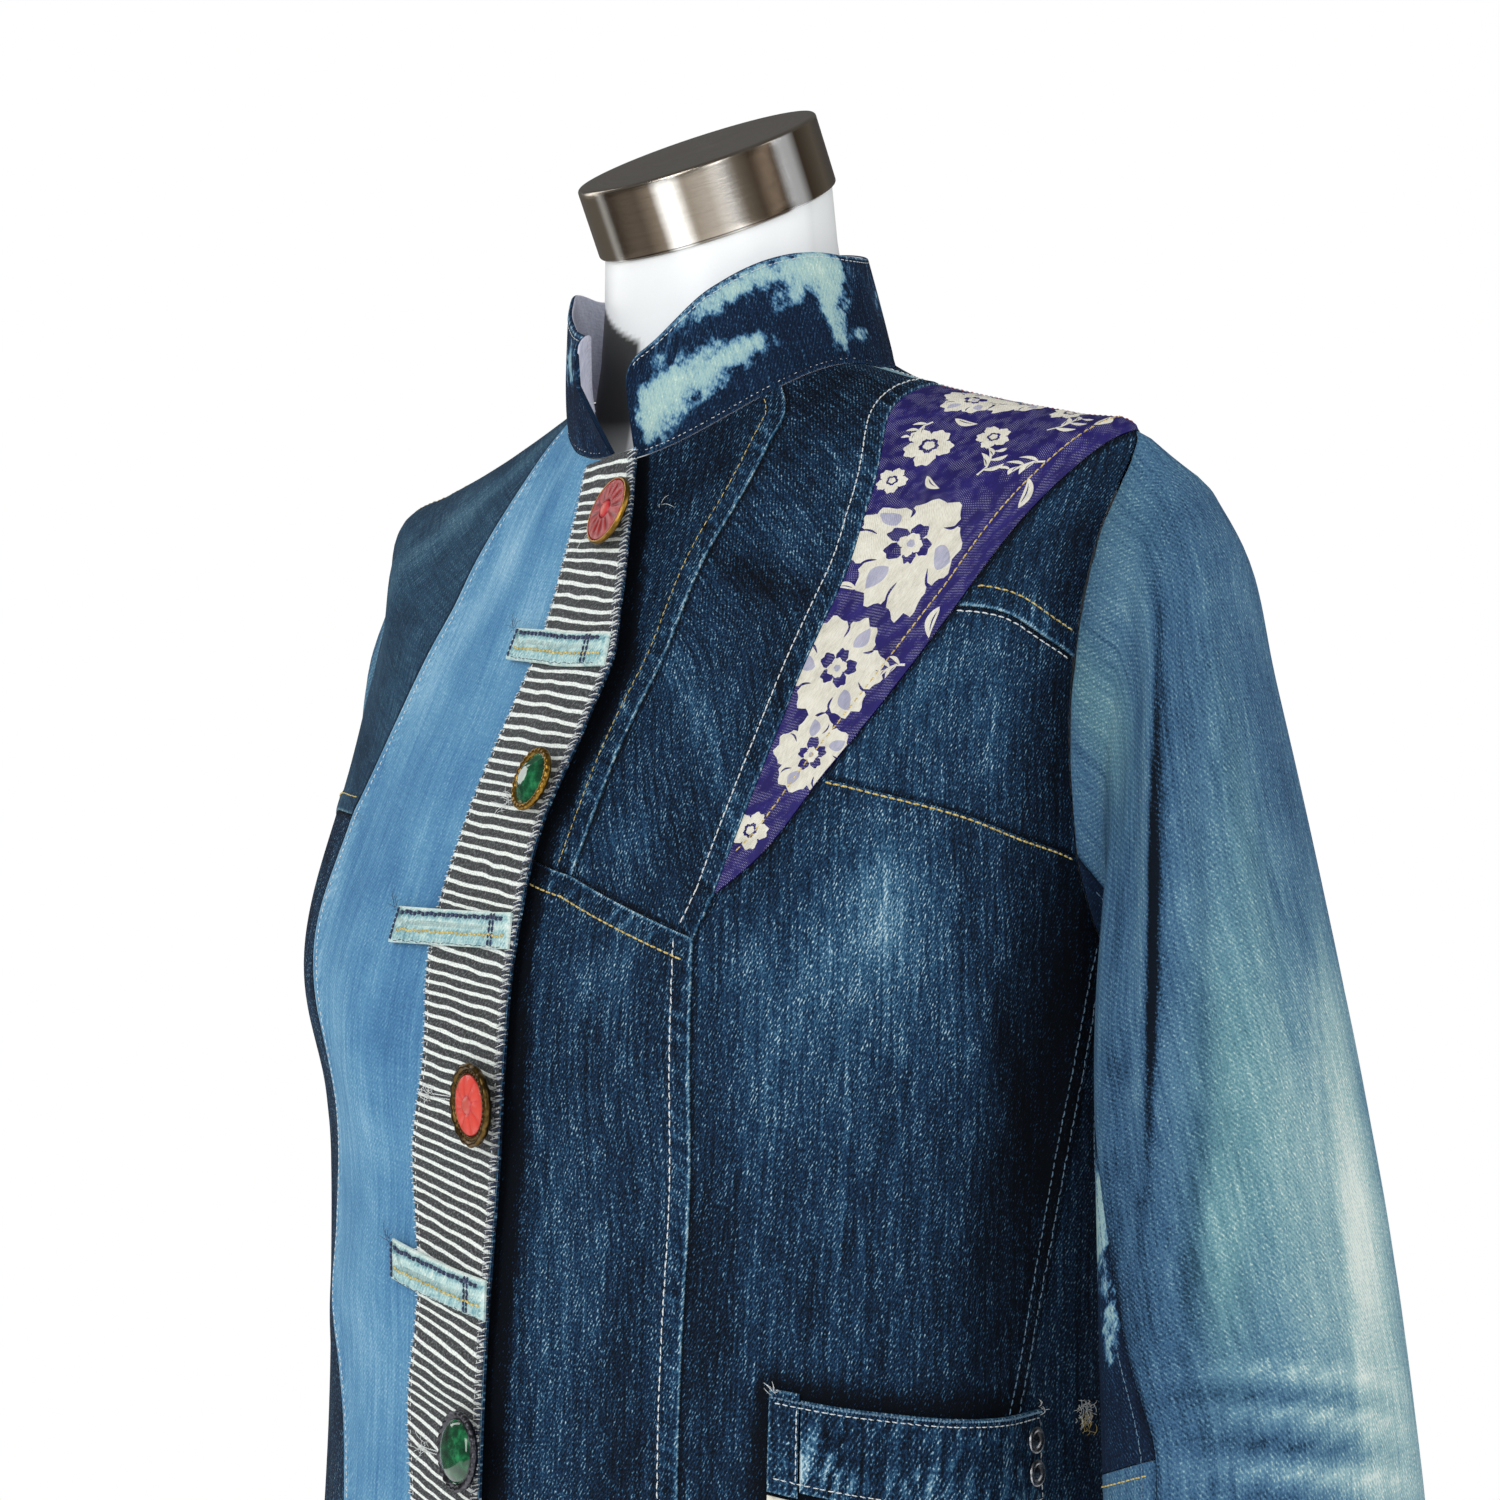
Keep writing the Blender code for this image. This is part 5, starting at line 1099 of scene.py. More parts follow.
def brushed(name):
    """Brushed nickel of the neck cap: fine lines round it, with painted reflections in bands
    round its side, and a faint glow.
    """
    look = Look(name, 0.22, 1.0, anisotropic=0.5)
    round_way, height, turn = look.attribute("cloth")
    h = look.math("MULTIPLY", height, PER_METRE)
    lines = look.noise(look.vector(look.math("MULTIPLY", turn, 2.0),
                                   look.math("MULTIPLY", h, 9.0), 0.0), 1.0, 4.0, 0.65)
    wide = look.noise(look.vector(look.math("MULTIPLY", turn, 1.2),
                                  look.math("MULTIPLY", h, 0.6), 3.0), 1.0, 2.0)
    level = look.total((lines, 0.7), (wide, 0.5), -0.1)
    colour = look.ramp(level, ((0.2, "8d8377"), (0.8, "cfc6b8")))
    rim = CAP_HEIGHT * PER_METRE
    side = look.step(h, rim - 0.6, rim - 1.8, 0.0, 1.0)
    way = look.math("MULTIPLY_ADD", round_way, 0.5 / math.pi, 0.5)
    # painted reflections: bands chosen by the turn round the cap
    painted_reflection = look.ramp(look.total((lines, 0.010), (way, 1.0), -0.005), CAP_PAINTED_REFLECTIONS)
    colour = look.mix(side, colour, look.mix(0.9, colour, painted_reflection))
    # painted light: the side glows faintly with the painted reflections, and the top in dark
    # warm grey
    look.feed(look.shader.inputs["Emission Color"], look.mix(side, "3a3228", painted_reflection))
    look.shader.inputs["Emission Strength"].default_value = 0.20
    return look.finish(colour, lines, 0.00006, 0.5, look.total((lines, 0.16), 0.10))


def painted(name, stops, roughness):
    """Smooth painted shell with faint mottling."""
    look = Look(name, roughness, coat_weight=0.1, coat_roughness=0.3)
    point = look.add("TexCoord").outputs["Object"]
    fine = look.noise(point, 900.0, 2.0, 0.5)
    wide = look.noise(point, 14.0, 3.0, 0.5)
    level = look.total((fine, 0.25), (wide, 0.75))
    # the tone's first part darkens the shell: painted shadow of the collar on the neck, painted
    # shade on the neck's dim side, and the line of the neck's seam
    shade, _, _ = look.attribute("tone")
    colour = look.mix(shade, look.ramp(level, stops), "1c1c19")
    return look.finish(colour, fine, 0.00005, 0.3)


# A panel of cloth on the body. middle is the angle where its grain runs straight down, and
# grain how far the cloth is turned from that, in degrees
Panel = namedtuple("Panel", "loop look out middle grain")
PANELS = {}


def add_panel(name, loop, look, out=off_body(0.0), middle=0.0, grain=0.0):
    """Keep a panel's outline and looks under its node's name."""
    PANELS[name] = Panel(loop, look, out, middle, grain)


def outline_fronts():
    """Outlines of the fronts' panels."""
    add_panel("front_left_centre_upper", closed_loop(
        seam_points("neck", "front_neck_edge", "band_neck"),
        seam_points("band"),
        seam_points("diagonal_front", "band_foot", "front_diagonal"),
        seam_points("left_edge", "front_diagonal", "front_neck_edge")), "dark", grain=-6)
    add_panel("front_left_side_upper", closed_loop(
        seam_points("neck", "band_neck", "neck_point_left"),
        seam_points("shoulder", "neck_point_left", "princess_shoulder"),
        seam_points("princess"),
        seam_points("princess_low"),
        seam_points("diagonal", "princess_foot", "band_foot"),
        seam_points("band", "band_foot", "band_neck")), "dark", middle=36, grain=-16)
    add_panel("front_left_centre_lower", closed_loop(
        seam_points("diagonal_front"),
        seam_points("diagonal"),
        seam_points("lower"),
        seam_points("hem_left", "princess_hem", "front_hem_edge"),
        seam_points("left_edge", "front_hem_edge", "front_diagonal")), "dark")
    add_panel("front_left_side_lower", closed_loop(
        seam_points("princess_low"),
        seam_points("lower"),
        seam_points("hem_left", "princess_hem", "side_left_hem"),
        seam_points("side_left", "side_left_hem", "armhole_165"),
        armhole_points(165, 135),
        seam_points("chest", "armhole_135", "chest_front"),
        seam_points("applique_low")), "dark", middle=45)
    add_panel("front_left_chest", closed_loop(
        seam_points("chest"),
        armhole_points(135, 90),
        seam_points("welt", "armhole_90", "welt_front"),
        seam_points("applique_edge", "welt_front", "chest_front")), "dark", middle=60)
    add_panel("front_left_shoulder", closed_loop(
        seam_points("welt"),
        armhole_points(90, 0),
        seam_points("applique_edge", "shoulder_tip_left", "welt_front")), "dark",
        middle=75)
    add_panel("applique_floral", closed_loop(
        seam_points("princess"),
        seam_points("applique_low", "applique_tip", "chest_front"),
        seam_points("applique_edge", "chest_front", "shoulder_tip_left"),
        seam_points("shoulder", "shoulder_tip_left", "princess_shoulder")), "floral",
        middle=60)
    add_panel("front_right_centre", closed_loop(
        seam_points("neck_right", "light_blue_neck", "right_edge_neck"),
        seam_points("right_edge"),
        seam_points("hem_right", "right_edge_hem", "light_blue_hem"),
        seam_points("light_blue_low", "light_blue_hem", "right_yoke_front"),
        seam_points("light_blue", "right_yoke_front", "light_blue_neck")), "light",
        out=lap_out, middle=-10)
    add_panel("front_right_yoke", closed_loop(
        seam_points("light_blue"),
        seam_points("right_yoke"),
        armhole_points(135, 0, "right"),
        seam_points("shoulder_right", "shoulder_tip_right", "neck_point_right"),
        seam_points("neck_right", "neck_point_right", "light_blue_neck")), "dark",
        out=lap_out, middle=-60, grain=80)
    add_panel("front_right_side", closed_loop(
        seam_points("right_yoke"),
        armhole_points(135, 165, "right"),
        seam_points("side_right"),
        seam_points("hem_right", "side_right_hem", "light_blue_hem"),
        seam_points("light_blue_low", "light_blue_hem", "right_yoke_front")), "dark",
        out=lap_out, middle=-60)


def outline_back():
    """Outlines of the back's panels."""
    add_panel("back_shoulder_strip", closed_loop(
        seam_points("neck", "neck_point_left", "strip_neck"),
        seam_points("strip"),
        seam_points("shoulder", "strip_end", "neck_point_left")), "bleached", middle=98)
    add_panel("back_yoke", closed_loop(
        seam_points("neck_back"),
        shifted(seam_points("shoulder_right"), 360),
        armhole_points(345, 285, "back"),
        seam_points("yoke_right", "back_armhole_285", "yoke_back_right"),
        seam_points("yoke_back", "yoke_back_right", "yoke_back_left"),
        seam_points("yoke_left", "yoke_back_left", "armhole_285"),
        armhole_points(285, 345),
        seam_points("shoulder", "shoulder_tip_left", "strip_end"),
        seam_points("strip", "strip_end", "strip_neck")), "dark", middle=180, grain=90)
    add_panel("back_left", closed_loop(
        seam_points("yoke_left"),
        seam_points("back_left"),
        seam_points("hem_back", "back_left_hem", "side_left_hem"),
        seam_points("side_left", "side_left_hem", "armhole_165"),
        armhole_points(165, 285)), "dark", middle=120)
    add_panel("back_centre", closed_loop(
        seam_points("yoke_back"),
        seam_points("back_right"),
        seam_points("hem_back", "back_right_hem", "back_left_hem"),
        seam_points("back_left", "back_left_hem", "yoke_back_left")), "light", middle=180)
    add_panel("back_right", closed_loop(
        seam_points("yoke_right"),
        armhole_points(285, 165, "back"),
        shifted(seam_points("side_right"), 360),
        seam_points("hem_back", "side_back_hem", "back_right_hem"),
        seam_points("back_right", "back_right_hem", "yoke_back_right")), "dark",
        middle=240)


def fell_lines(name):
    """The folded edges that a panel carries, and those that lie over it."""
    found = []
    for fell in FELLS:
        if fell.piece == name:
            found.append((fell, 1, seam_points(fell.seam, fell.start, fell.end)))
        elif name in fell.under:
            found.append((fell, -1, seam_points(fell.seam, fell.start, fell.end)))
    return found


UNDER_DIP = 0.0004        # how far the cloth sinks just beside a folded edge
UNDER_WIDE = 0.0020


def relief(fells, points):
    """Height of the folded edges at points of the body, and the nearest one's fields."""
    height = np.zeros(len(points))
    nearest = np.full(len(points), 1.0)
    fields = np.zeros((len(points), 3))
    fields[:, 1] = 1.0
    for fell, side, places in fells:
        line = body_point(*np.asarray(places).T)
        away, along = near_line(points, line)
        if side > 0:
            flat = eased((fell.width + FELL_RUN - away) / FELL_RUN)
            across = np.sin(np.pi * np.clip(away / fell.width, 0, 1)) ** 0.6
            wave = 1 + fell.ripple * across * wobble(along + 0.4 * away, fell.pitch)
            rise = fell.height * flat * wave
            rise = rise - 0.35 * fell.height * np.exp(-(away / 0.0007) ** 2)
            height = np.maximum(height, rise)
            strength = fell.wear
        else:
            height = height - UNDER_DIP * np.exp(-(away / UNDER_WIDE) ** 2)
            # a negative kind asks the cloth's look for painted shadow in the groove beside the
            # fold
            strength = -0.8
        closer = away < nearest
        nearest = np.where(closer, away, nearest)
        fields[closer] = np.stack([along, away, np.full(len(points), strength)], -1)[closer]
    return height, fields


def panel_lift(name, places):
    """How far a panel's outer face stands from the body at some places."""
    panel = PANELS[name]
    places = np.asarray(places, float)
    angle, down = places[:, 0], places[:, 1]
    height, _ = relief(fell_lines(name), body_point(angle, down))
    return panel.out(angle, down) + height


def cloth_coordinates(angle, down, middle, grain):
    """How far across and down the cloth each place is, in metres, turned by the grain."""
    count = 64
    grid_a = np.linspace(angle.min(), angle.max(), count)
    grid_d = np.linspace(down.min(), down.max(), count)
    points = body_point(grid_a[None, :], grid_d[:, None])
    across = np.linalg.norm(np.diff(points, axis=1), axis=2)
    across = np.concatenate([np.zeros((count, 1)), np.cumsum(across, axis=1)], axis=1)
    along = np.linalg.norm(np.diff(points, axis=0), axis=2)
    along = np.concatenate([np.zeros((1, count)), np.cumsum(along, axis=0)], axis=0)
    at = np.clip(middle, grid_a[0], grid_a[-1])
    base = np.array([np.interp(at, grid_a, row) for row in across])
    across = across - base[:, None]
    x = np.clip((angle - grid_a[0]) / (grid_a[1] - grid_a[0]), 0, count - 1.001)
    y = np.clip((down - grid_d[0]) / (grid_d[1] - grid_d[0]), 0, count - 1.001)
    i, j = x.astype(int), y.astype(int)
    fx, fy = x - i, y - j

    def read(table):
        top = table[j, i] * (1 - fx) + table[j, i + 1] * fx
        low = table[j + 1, i] * (1 - fx) + table[j + 1, i + 1] * fx
        return top * (1 - fy) + low * fy

    u, v = read(across), read(along)
    c, s = math.cos(math.radians(grain)), math.sin(math.radians(grain))
    return np.stack([u * c + v * s, v * c - u * s], -1)


def spread_out(groups):
    """Points of the groups, each point kept only if it is clear of those kept before it."""
    size = max(reach for _, reach in groups)
    cells = {}
    kept = []
    for points, reach in groups:
        for x, y in points.tolist():
            i, j = int(math.floor(x / size)), int(math.floor(y / size))
            near = [p for a in (i - 1, i, i + 1) for b in (j - 1, j, j + 1)
                    for p in cells.get((a, b), ())]
            if all((x - p[0]) ** 2 + (y - p[1]) ** 2 > reach * reach for p in near):
                cells.setdefault((i, j), []).append((x, y))
                kept.append((x, y))
    return kept


def hex_grid(low, high, cell):
    """Flat points in staggered rows over a box."""
    tall = cell * HEX_ROW
    rows = np.arange(math.floor(low[1] / tall), math.ceil(high[1] / tall))
    points = []
    for row in rows:
        xs = np.arange(math.floor(low[0] / cell), math.ceil(high[0] / cell) + 1) * cell
        points.append(np.stack([xs + (row % 2) * cell / 2, 0 * xs + row * cell * HEX_ROW], -1))
    return np.vstack(points)


def fill_panel(loop, lines, cell, extra_loops=()):
    """Points and triangles that fill a loop of flat points, denser along its folded edges."""
    rim = np.asarray(loop)
    groups = []
    for line, side in lines:
        rows = FELL_ROWS if side > 0 else FELL_ROWS[:4]
        places = np.asarray(line, float)
        step = (beside(places, np.full(len(line), MILLIMETRE)) - places) / MILLIMETRE
        for row in rows:
            both = np.vstack([places + row * step, places - row * step])
            groups.append((flat_of(both), FELL_SPACING))
    groups.append((hex_grid(rim.min(0), rim.max(0), cell), 0.62 * cell))
    clear = []
    for points, reach in groups:
        points = points[inside(points, rim)]
        if len(points):
            away, _ = near_line(points, rim, closed=True)
            points = points[away > min(0.45 * cell, 0.0005 if reach < 0.002 else 1.0)]
        clear.append((points, reach))
    kept = spread_out([g for g in clear if len(g[0])] or [(rim[:0], cell)])
    every = [Vector(p) for p in rim.tolist()] + [Vector(p) for p in kept]
    faces = [list(range(len(rim)))]
    for ring in extra_loops:
        start = len(every)
        every += [Vector(p) for p in ring]
        faces.append(list(range(start, len(every))))
    found, _, made, _, _, _ = delaunay_2d_cdt(every, [], faces, 1, 1e-7)
    found = np.array([tuple(p) for p in found])
    made = [tuple(f) for f in made]
    a, b, c = (found[[f[i] for f in made]] for i in range(3))
    if np.cross(b - a, c - a).sum() < 0:
        made = [f[::-1] for f in made]
    return found, made


def write_fields(mesh, **fields):
    """Keep named vectors on a mesh's points."""
    for name, values in fields.items():
        kept = mesh.attributes.new(name, "FLOAT_VECTOR", "POINT")
        kept.data.foreach_set("vector", np.asarray(values, np.float32).ravel())


def linked(name, data):
    """An object of the scene that shows some data."""
    piece = bpy.data.objects.new(name, data)
    bpy.context.scene.collection.objects.link(piece)
    return piece


def add_piece(name, points, faces, materials, fields, sharp=40, marks=None):
    """A visible piece from its points and faces, turned so that its faces point out."""
    mesh = bpy.data.meshes.new(name)
    mesh.from_pydata([tuple(p) for p in np.asarray(points).tolist()], [], faces)
    if marks is not None:
        mesh.polygons.foreach_set("material_index", np.asarray(marks, np.int32))
    work = bmesh.new()
    work.from_mesh(mesh)
    bmesh.ops.recalc_face_normals(work, faces=work.faces)
    if work.calc_volume(signed=True) < 0:
        bmesh.ops.reverse_faces(work, faces=work.faces)
    work.to_mesh(mesh)
    work.free()
    mesh.shade_smooth()
    mesh.set_sharp_from_angle(angle=math.radians(sharp))
    write_fields(mesh, **fields)
    piece = linked(name, mesh)
    for material in materials:
        mesh.materials.append(material)
    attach(piece, "root")
    return piece


# Soft patches of wear and of painted shade: place, size across and down in metres, lean in
# degrees, and how much paler, darker and more bleached they make the cloth; darker is painted
# shade of creases, sides and underarms
Patch = namedtuple("Patch", "angle down across along lean fade dark pale")
PATCHES = {
    "front_left_centre_upper": (
        Patch(2, 0.150, 0.020, 0.050, 0, 0.10, 0, 0),
        Patch(36, 0.012, 0.050, 0.030, 0, 0, 0.10, 0),
    ),
    "front_left_side_upper": (
        Patch(26, 0.133, 0.007, 0.060, -28, 0.13, 0, 0),
        Patch(18.5, 0.176, 0.012, 0.010, 0, 0.14, 0, 0),
        Patch(31, 0.078, 0.007, 0.055, -34, 0, 0.22, 0),
        Patch(38, 0.150, 0.010, 0.050, -20, 0, 0.12, 0),
        Patch(62, 0.020, 0.040, 0.030, 0, 0, 0.10, 0),
    ),
    "front_left_centre_lower": (
        Patch(16, 0.222, 0.018, 0.014, 0, 0.15, 0, 0),
        Patch(4, 0.198, 0.014, 0.016, 0, 0.15, 0, 0),
        Patch(10, 0.330, 0.016, 0.075, 4, 0.10, 0, 0),
        Patch(20, 0.400, 0.012, 0.060, 0, 0, 0.10, 0),
    ),
    "front_left_side_lower": (
        Patch(50.5, 0.236, 0.022, 0.026, 0, 0.22, 0, 0),
        Patch(46.0, 0.270, 0.028, 0.050, 10, 0.13, 0, 0),
        Patch(57, 0.265, 0.016, 0.030, -12, 0.12, 0, 0),
        Patch(36, 0.262, 0.010, 0.045, 0, 0.12, 0, 0),
        Patch(76, 0.345, 0.026, 0.070, 0, 0, 0.24, 0),
        Patch(84, 0.300, 0.016, 0.090, 0, 0, 0.34, 0),
        Patch(73, 0.310, 0.007, 0.034, -26, 0, 0.20, 0),
        Patch(66, 0.300, 0.012, 0.040, -20, 0.10, 0, 0),
        Patch(30, 0.350, 0.012, 0.060, 0, 0, 0.12, 0),
    ),
    "front_left_chest": (
        Patch(52, 0.176, 0.030, 0.020, 0, 0.16, 0, 0),
        Patch(66, 0.190, 0.020, 0.026, 0, 0.12, 0, 0),
        Patch(79, 0.215, 0.016, 0.030, 0, 0, 0.16, 0),
    ),
    "front_left_shoulder": (
        Patch(80, 0.165, 0.012, 0.040, 0, 0, 0.14, 0),
    ),
    "front_right_centre": (
        Patch(-30, 0.080, 0.012, 0.090, 6, 0.14, 0, 0),
        Patch(-24, 0.040, 0.030, 0.050, 0, 0.08, 0, 0),
        Patch(-22, 0.060, 0.010, 0.070, 0, 0, 0.12, 0),
        Patch(-36, 0.300, 0.016, 0.110, 0, 0.12, 0, 0),
        Patch(-20, 0.330, 0.012, 0.090, 0, 0.08, 0, 0),
        Patch(-14, 0.235, 0.012, 0.060, 0, 0, 0.12, 0),
        Patch(-28, 0.200, 0.030, 0.040, 0, 0, 0.08, 0),
    ),
    "front_right_yoke": (
        Patch(-55, 0.070, 0.012, 0.060, 0, 0.16, 0, 0),
        Patch(-70, 0.150, 0.030, 0.040, 0, 0, 0.10, 0),
    ),
    "front_right_side": (
        Patch(-60, 0.330, 0.030, 0.120, 0, 0, 0.16, 0),
    ),
    "back_shoulder_strip": (
        Patch(96, 0.040, 0.080, 0.080, 0, 0.20, 0, 0.75),
    ),
    "back_yoke": (
        Patch(180, 0.070, 0.070, 0.024, 0, 0.12, 0, 0),
        Patch(130, 0.100, 0.030, 0.030, 0, 0, 0.10, 0),
        Patch(232, 0.110, 0.030, 0.024, 0, 0.12, 0, 0),
    ),
    "back_left": (
        Patch(122, 0.250, 0.030, 0.050, 0, 0.22, 0, 0),
        Patch(134, 0.430, 0.020, 0.090, 0, 0.14, 0, 0),
        Patch(100, 0.350, 0.020, 0.080, 0, 0, 0.20, 0),
    ),
    "back_centre": (
        Patch(176, 0.260, 0.040, 0.060, 0, 0.10, 0, 0),
        Patch(188, 0.450, 0.030, 0.090, 0, 0, 0.10, 0),
    ),
    "back_right": (
        Patch(236, 0.240, 0.030, 0.060, 0, 0.20, 0, 0),
        Patch(224, 0.440, 0.020, 0.090, 0, 0.12, 0, 0),
        Patch(260, 0.350, 0.020, 0.090, 0, 0, 0.20, 0),
    ),
}


def patch_tones(patches, across, along):
    """Fade, painted shade and bleach at places given in metres from each patch's middle."""
    tones = np.zeros(np.shape(across(patches[0])) + (3,))
    for patch in patches:
        u, v = across(patch), along(patch)
        c, s = math.cos(math.radians(patch.lean)), math.sin(math.radians(patch.lean))
        gap = ((u * c + v * s) / patch.across) ** 2 + ((v * c - u * s) / patch.along) ** 2
        tones = tones + np.exp(-gap)[..., None] * np.array(patch[5:])
    return tones


def pocket_top(angles):
    """How far down the pocket's top edge lies at some angles."""
    rows = np.array(smooth_line(POCKET_TOP, 0.004))
    return np.interp(angles, rows[:, 0], rows[:, 1])


def deep_shade(name, angle, down):
    """Painted shadow on the cloth beside the strip's edge and round the pocket."""
    degree = body_point(20.5, 0.3)[0] - body_point(19.5, 0.3)[0]
    shade = np.zeros(len(angle))
    if name.startswith("front_left_centre"):
        edge = np.array(seam_points("right_edge"))
        gap = (angle - np.interp(down, edge[:, 1], edge[:, 0])) * degree
        wide = np.interp(down, [0.0, 0.12, 0.30], [0.0, 0.0012, 0.0035])
        shade = 0.55 * (1 - eased((gap - wide) / 0.0045))
    if name == "front_left_side_lower":
        above = pocket_top(angle) - down
        beyond = np.maximum(POCKET_START - angle, angle - POCKET_END) * degree
        near = np.hypot(np.maximum(above, 0), np.maximum(beyond, 0))
        shade = 0.50 * np.exp(-(near / 0.0060) ** 2)
    return shade


def body_tones(name, angle, down):
    """The wear of a panel at its places, with its painted shade and painted shadows."""
    patches = PATCHES.get(name, ())
    if not patches:
        return np.zeros((len(angle), 3))

    def across(patch):
        after = body_point(patch.angle + 0.5, patch.down)
        before = body_point(patch.angle - 0.5, patch.down)
        return (angle - patch.angle) * np.linalg.norm(after - before)

    tones = patch_tones(patches, across, lambda patch: down - patch.down)
    # painted shadow of the strip and the pocket, added to the darkening
    tones[:, 1] += deep_shade(name, angle, down)
    return tones


def edge_ring(faces):
    """The outer edge of some faces as one ring of points, in the faces' own direction."""
    sides = {(f[i], f[(i + 1) % len(f)]) for f in faces for i in range(len(f))}
    after = {a: b for a, b in sides if (b, a) not in sides}
    ring = [min(after)]
    while after[ring[-1]] != ring[0]:
        ring.append(after[ring[-1]])
    return np.array(ring)


def shell(name, outer, normal, thick, faces, marks, materials, fields, edge=0):
    """A closed thin shell from its outer points and faces.

    Its last material is on the inner face, and the one with the number edge on its rim.
    """
    total = len(outer)
    inner = outer - normal * np.asarray(thick)[:, None]
    rim = edge_ring(faces)
    back_faces = [tuple(total + i for i in reversed(f)) for f in faces]
    walls = [(int(i), int(j), total + int(j), total + int(i))
             for i, j in zip(rim, np.roll(rim, -1))]
    marks = list(marks) + [len(materials) - 1] * len(back_faces) + [edge] * len(walls)
    doubled = {key: np.vstack([value, value]) for key, value in fields.items()}
    return add_piece(name, np.vstack([outer, inner]), faces + back_faces + walls, materials,
                     doubled, marks=marks)


CUTS_SEEN = {}            # width, length and area of each cloth piece, by its node
FIGURE_RISE = 0.00016     # how far the woven flowers stand from their ground


def make_panel(name, materials, cell=CELL, cut_in=()):
    """The fine cloth of one panel, a closed thin shell."""
    panel = PANELS[name]
    fells = fell_lines(name)
    flat = flat_of(panel.loop)
    rings = [flat_of(ring).tolist() for ring, _ in cut_in]
    found, faces = fill_panel(flat, [(f[2], f[1]) for f in fells], cell, rings)
    middles = sum(found[[f[i] for f in faces]] for i in range(3)) / 3
    if rings:
        held = inside(middles, flat)
        faces = [face for face, good in zip(faces, held) if good]
        middles = middles[held]
    marks = np.zeros(len(faces), int)
    for ring, (_, mark) in zip(rings, cut_in):
        marks[inside(middles, ring)] = mark
    places = place_from(found)
    angle, down = places[:, 0], places[:, 1]
    base = body_point(angle, down)
    normal = body_normal(angle, down)
    height, seam = relief(fells, base)
    if cut_in:
        figure = sorted({i for face, mark in zip(faces, marks) if mark for i in face})
        height[figure] += FIGURE_RISE
    outer = base + normal * (panel.out(angle, down) + height)[:, None]
    rim = edge_ring(faces)
    outer[rim] += inset_steps(outer[rim], normal[rim], GAP / 2)
    cloth = cloth_coordinates(angle, down, panel.middle, panel.grain)
    fields = {"cloth": np.column_stack([cloth, 0 * angle]), "seam": seam,
              "tone": body_tones(name, angle, down)}
    piece = shell("cloth_" + name, outer, normal, CLOTH + 0.6 * height, faces, marks,
                  materials, fields, edge=len(materials) - 2 if not cut_in else 0)
    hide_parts(name)
    CUTS_SEEN[name] = (np.ptp(cloth[:, 0]), np.ptp(cloth[:, 1]), flat_area(outer, faces))


def flat_area(points, faces):
    """Area of some triangles."""
    a, b, c = (points[[f[i] for f in faces]] for i in range(3))
    return np.linalg.norm(np.cross(b - a, c - a), axis=1).sum() / 2


def inset_steps(rim, normals, amount):
    """How each rim point moves into its piece, along the cloth."""
    after = unit(np.roll(rim, -1, axis=0) - rim)
    before = unit(rim - np.roll(rim, 1, axis=0))
    in_after = unit(np.cross(after, normals))
    in_before = unit(np.cross(before, normals))
    spread = 1 + (in_after * in_before).sum(1, keepdims=True)
    return amount * (in_after + in_before) / np.clip(spread, 0.3, 2)


def grid_faces(rows, columns):
    """Faces of an open grid of points, row by row."""
    return [(r * columns + c, r * columns + c + 1, (r + 1) * columns + c + 1,
             (r + 1) * columns + c)
            for r in range(rows - 1) for c in range(columns - 1)]


def sleeve_point(turn, row, side="left"):
    """A point of a sleeve's outer face, as if on the wearer's left."""
    turn, row = np.broadcast_arrays(np.asarray(turn, float), np.asarray(row, float))
    table = np.column_stack([np.arange(1, CUFF_ROW + 1), np.array(SLEEVES[side])])
    value = smooth_rows(table, np.clip(row, 1, CUFF_ROW))
    outer_x, outer_z, inner_x, inner_z, centre_y, half_depth = np.moveaxis(value, -1, 0)
    angle = np.radians(turn)
    c = np.cos(angle)
    s = np.sin(angle)
    across = np.sign(c) * np.abs(c) ** SLEEVE_SQUARE
    deep = np.sign(s) * np.abs(s) ** SLEEVE_SQUARE
    x = (outer_x + inner_x) / 2 + (outer_x - inner_x) / 2 * across
    z = (outer_z + inner_z) / 2 + (outer_z - inner_z) / 2 * across
    y = centre_y - half_depth * deep
    folds = fold_height(SLEEVE_FOLDS, np.mod(turn, 360), row, 1.0, 15.0)
    reach = np.clip(row - 0.5, 0, 1)
    tube = np.stack([x + folds * reach * across, y - folds * reach * deep, z], -1)
    place = smooth_rows(ARMHOLE, np.mod(turn, 360), closed=True)
    edge_angle, edge_down = np.moveaxis(place, -1, 0)
    edge = body_point(edge_angle, edge_down) + 1.6 * GAP * body_normal(edge_angle, edge_down)
    middle = body_point(96.0, 0.195)
    edge = edge + unit(middle - edge) * GAP
    blend = np.clip(row, 0, 1)[..., None]
    return edge * (1 - blend) + tube * blend


def sleeve_normal(turn, row, side="left"):
    """The outward direction of a sleeve's surface."""
    across = sleeve_point(turn + 1.0, row, side) - sleeve_point(turn - 1.0, row, side)
    low = np.clip(row - 0.1, 0, CUFF_ROW)
    high = np.clip(row + 0.1, 0, CUFF_ROW)
    along = sleeve_point(turn, high, side) - sleeve_point(turn, low, side)
    return unit(np.cross(across, along))


def front_seam(side, rows):
    """The turn of a sleeve's seam in front at each of the rows."""
    return smooth_rows(FRONT_SEAM[side], rows)[..., 0]


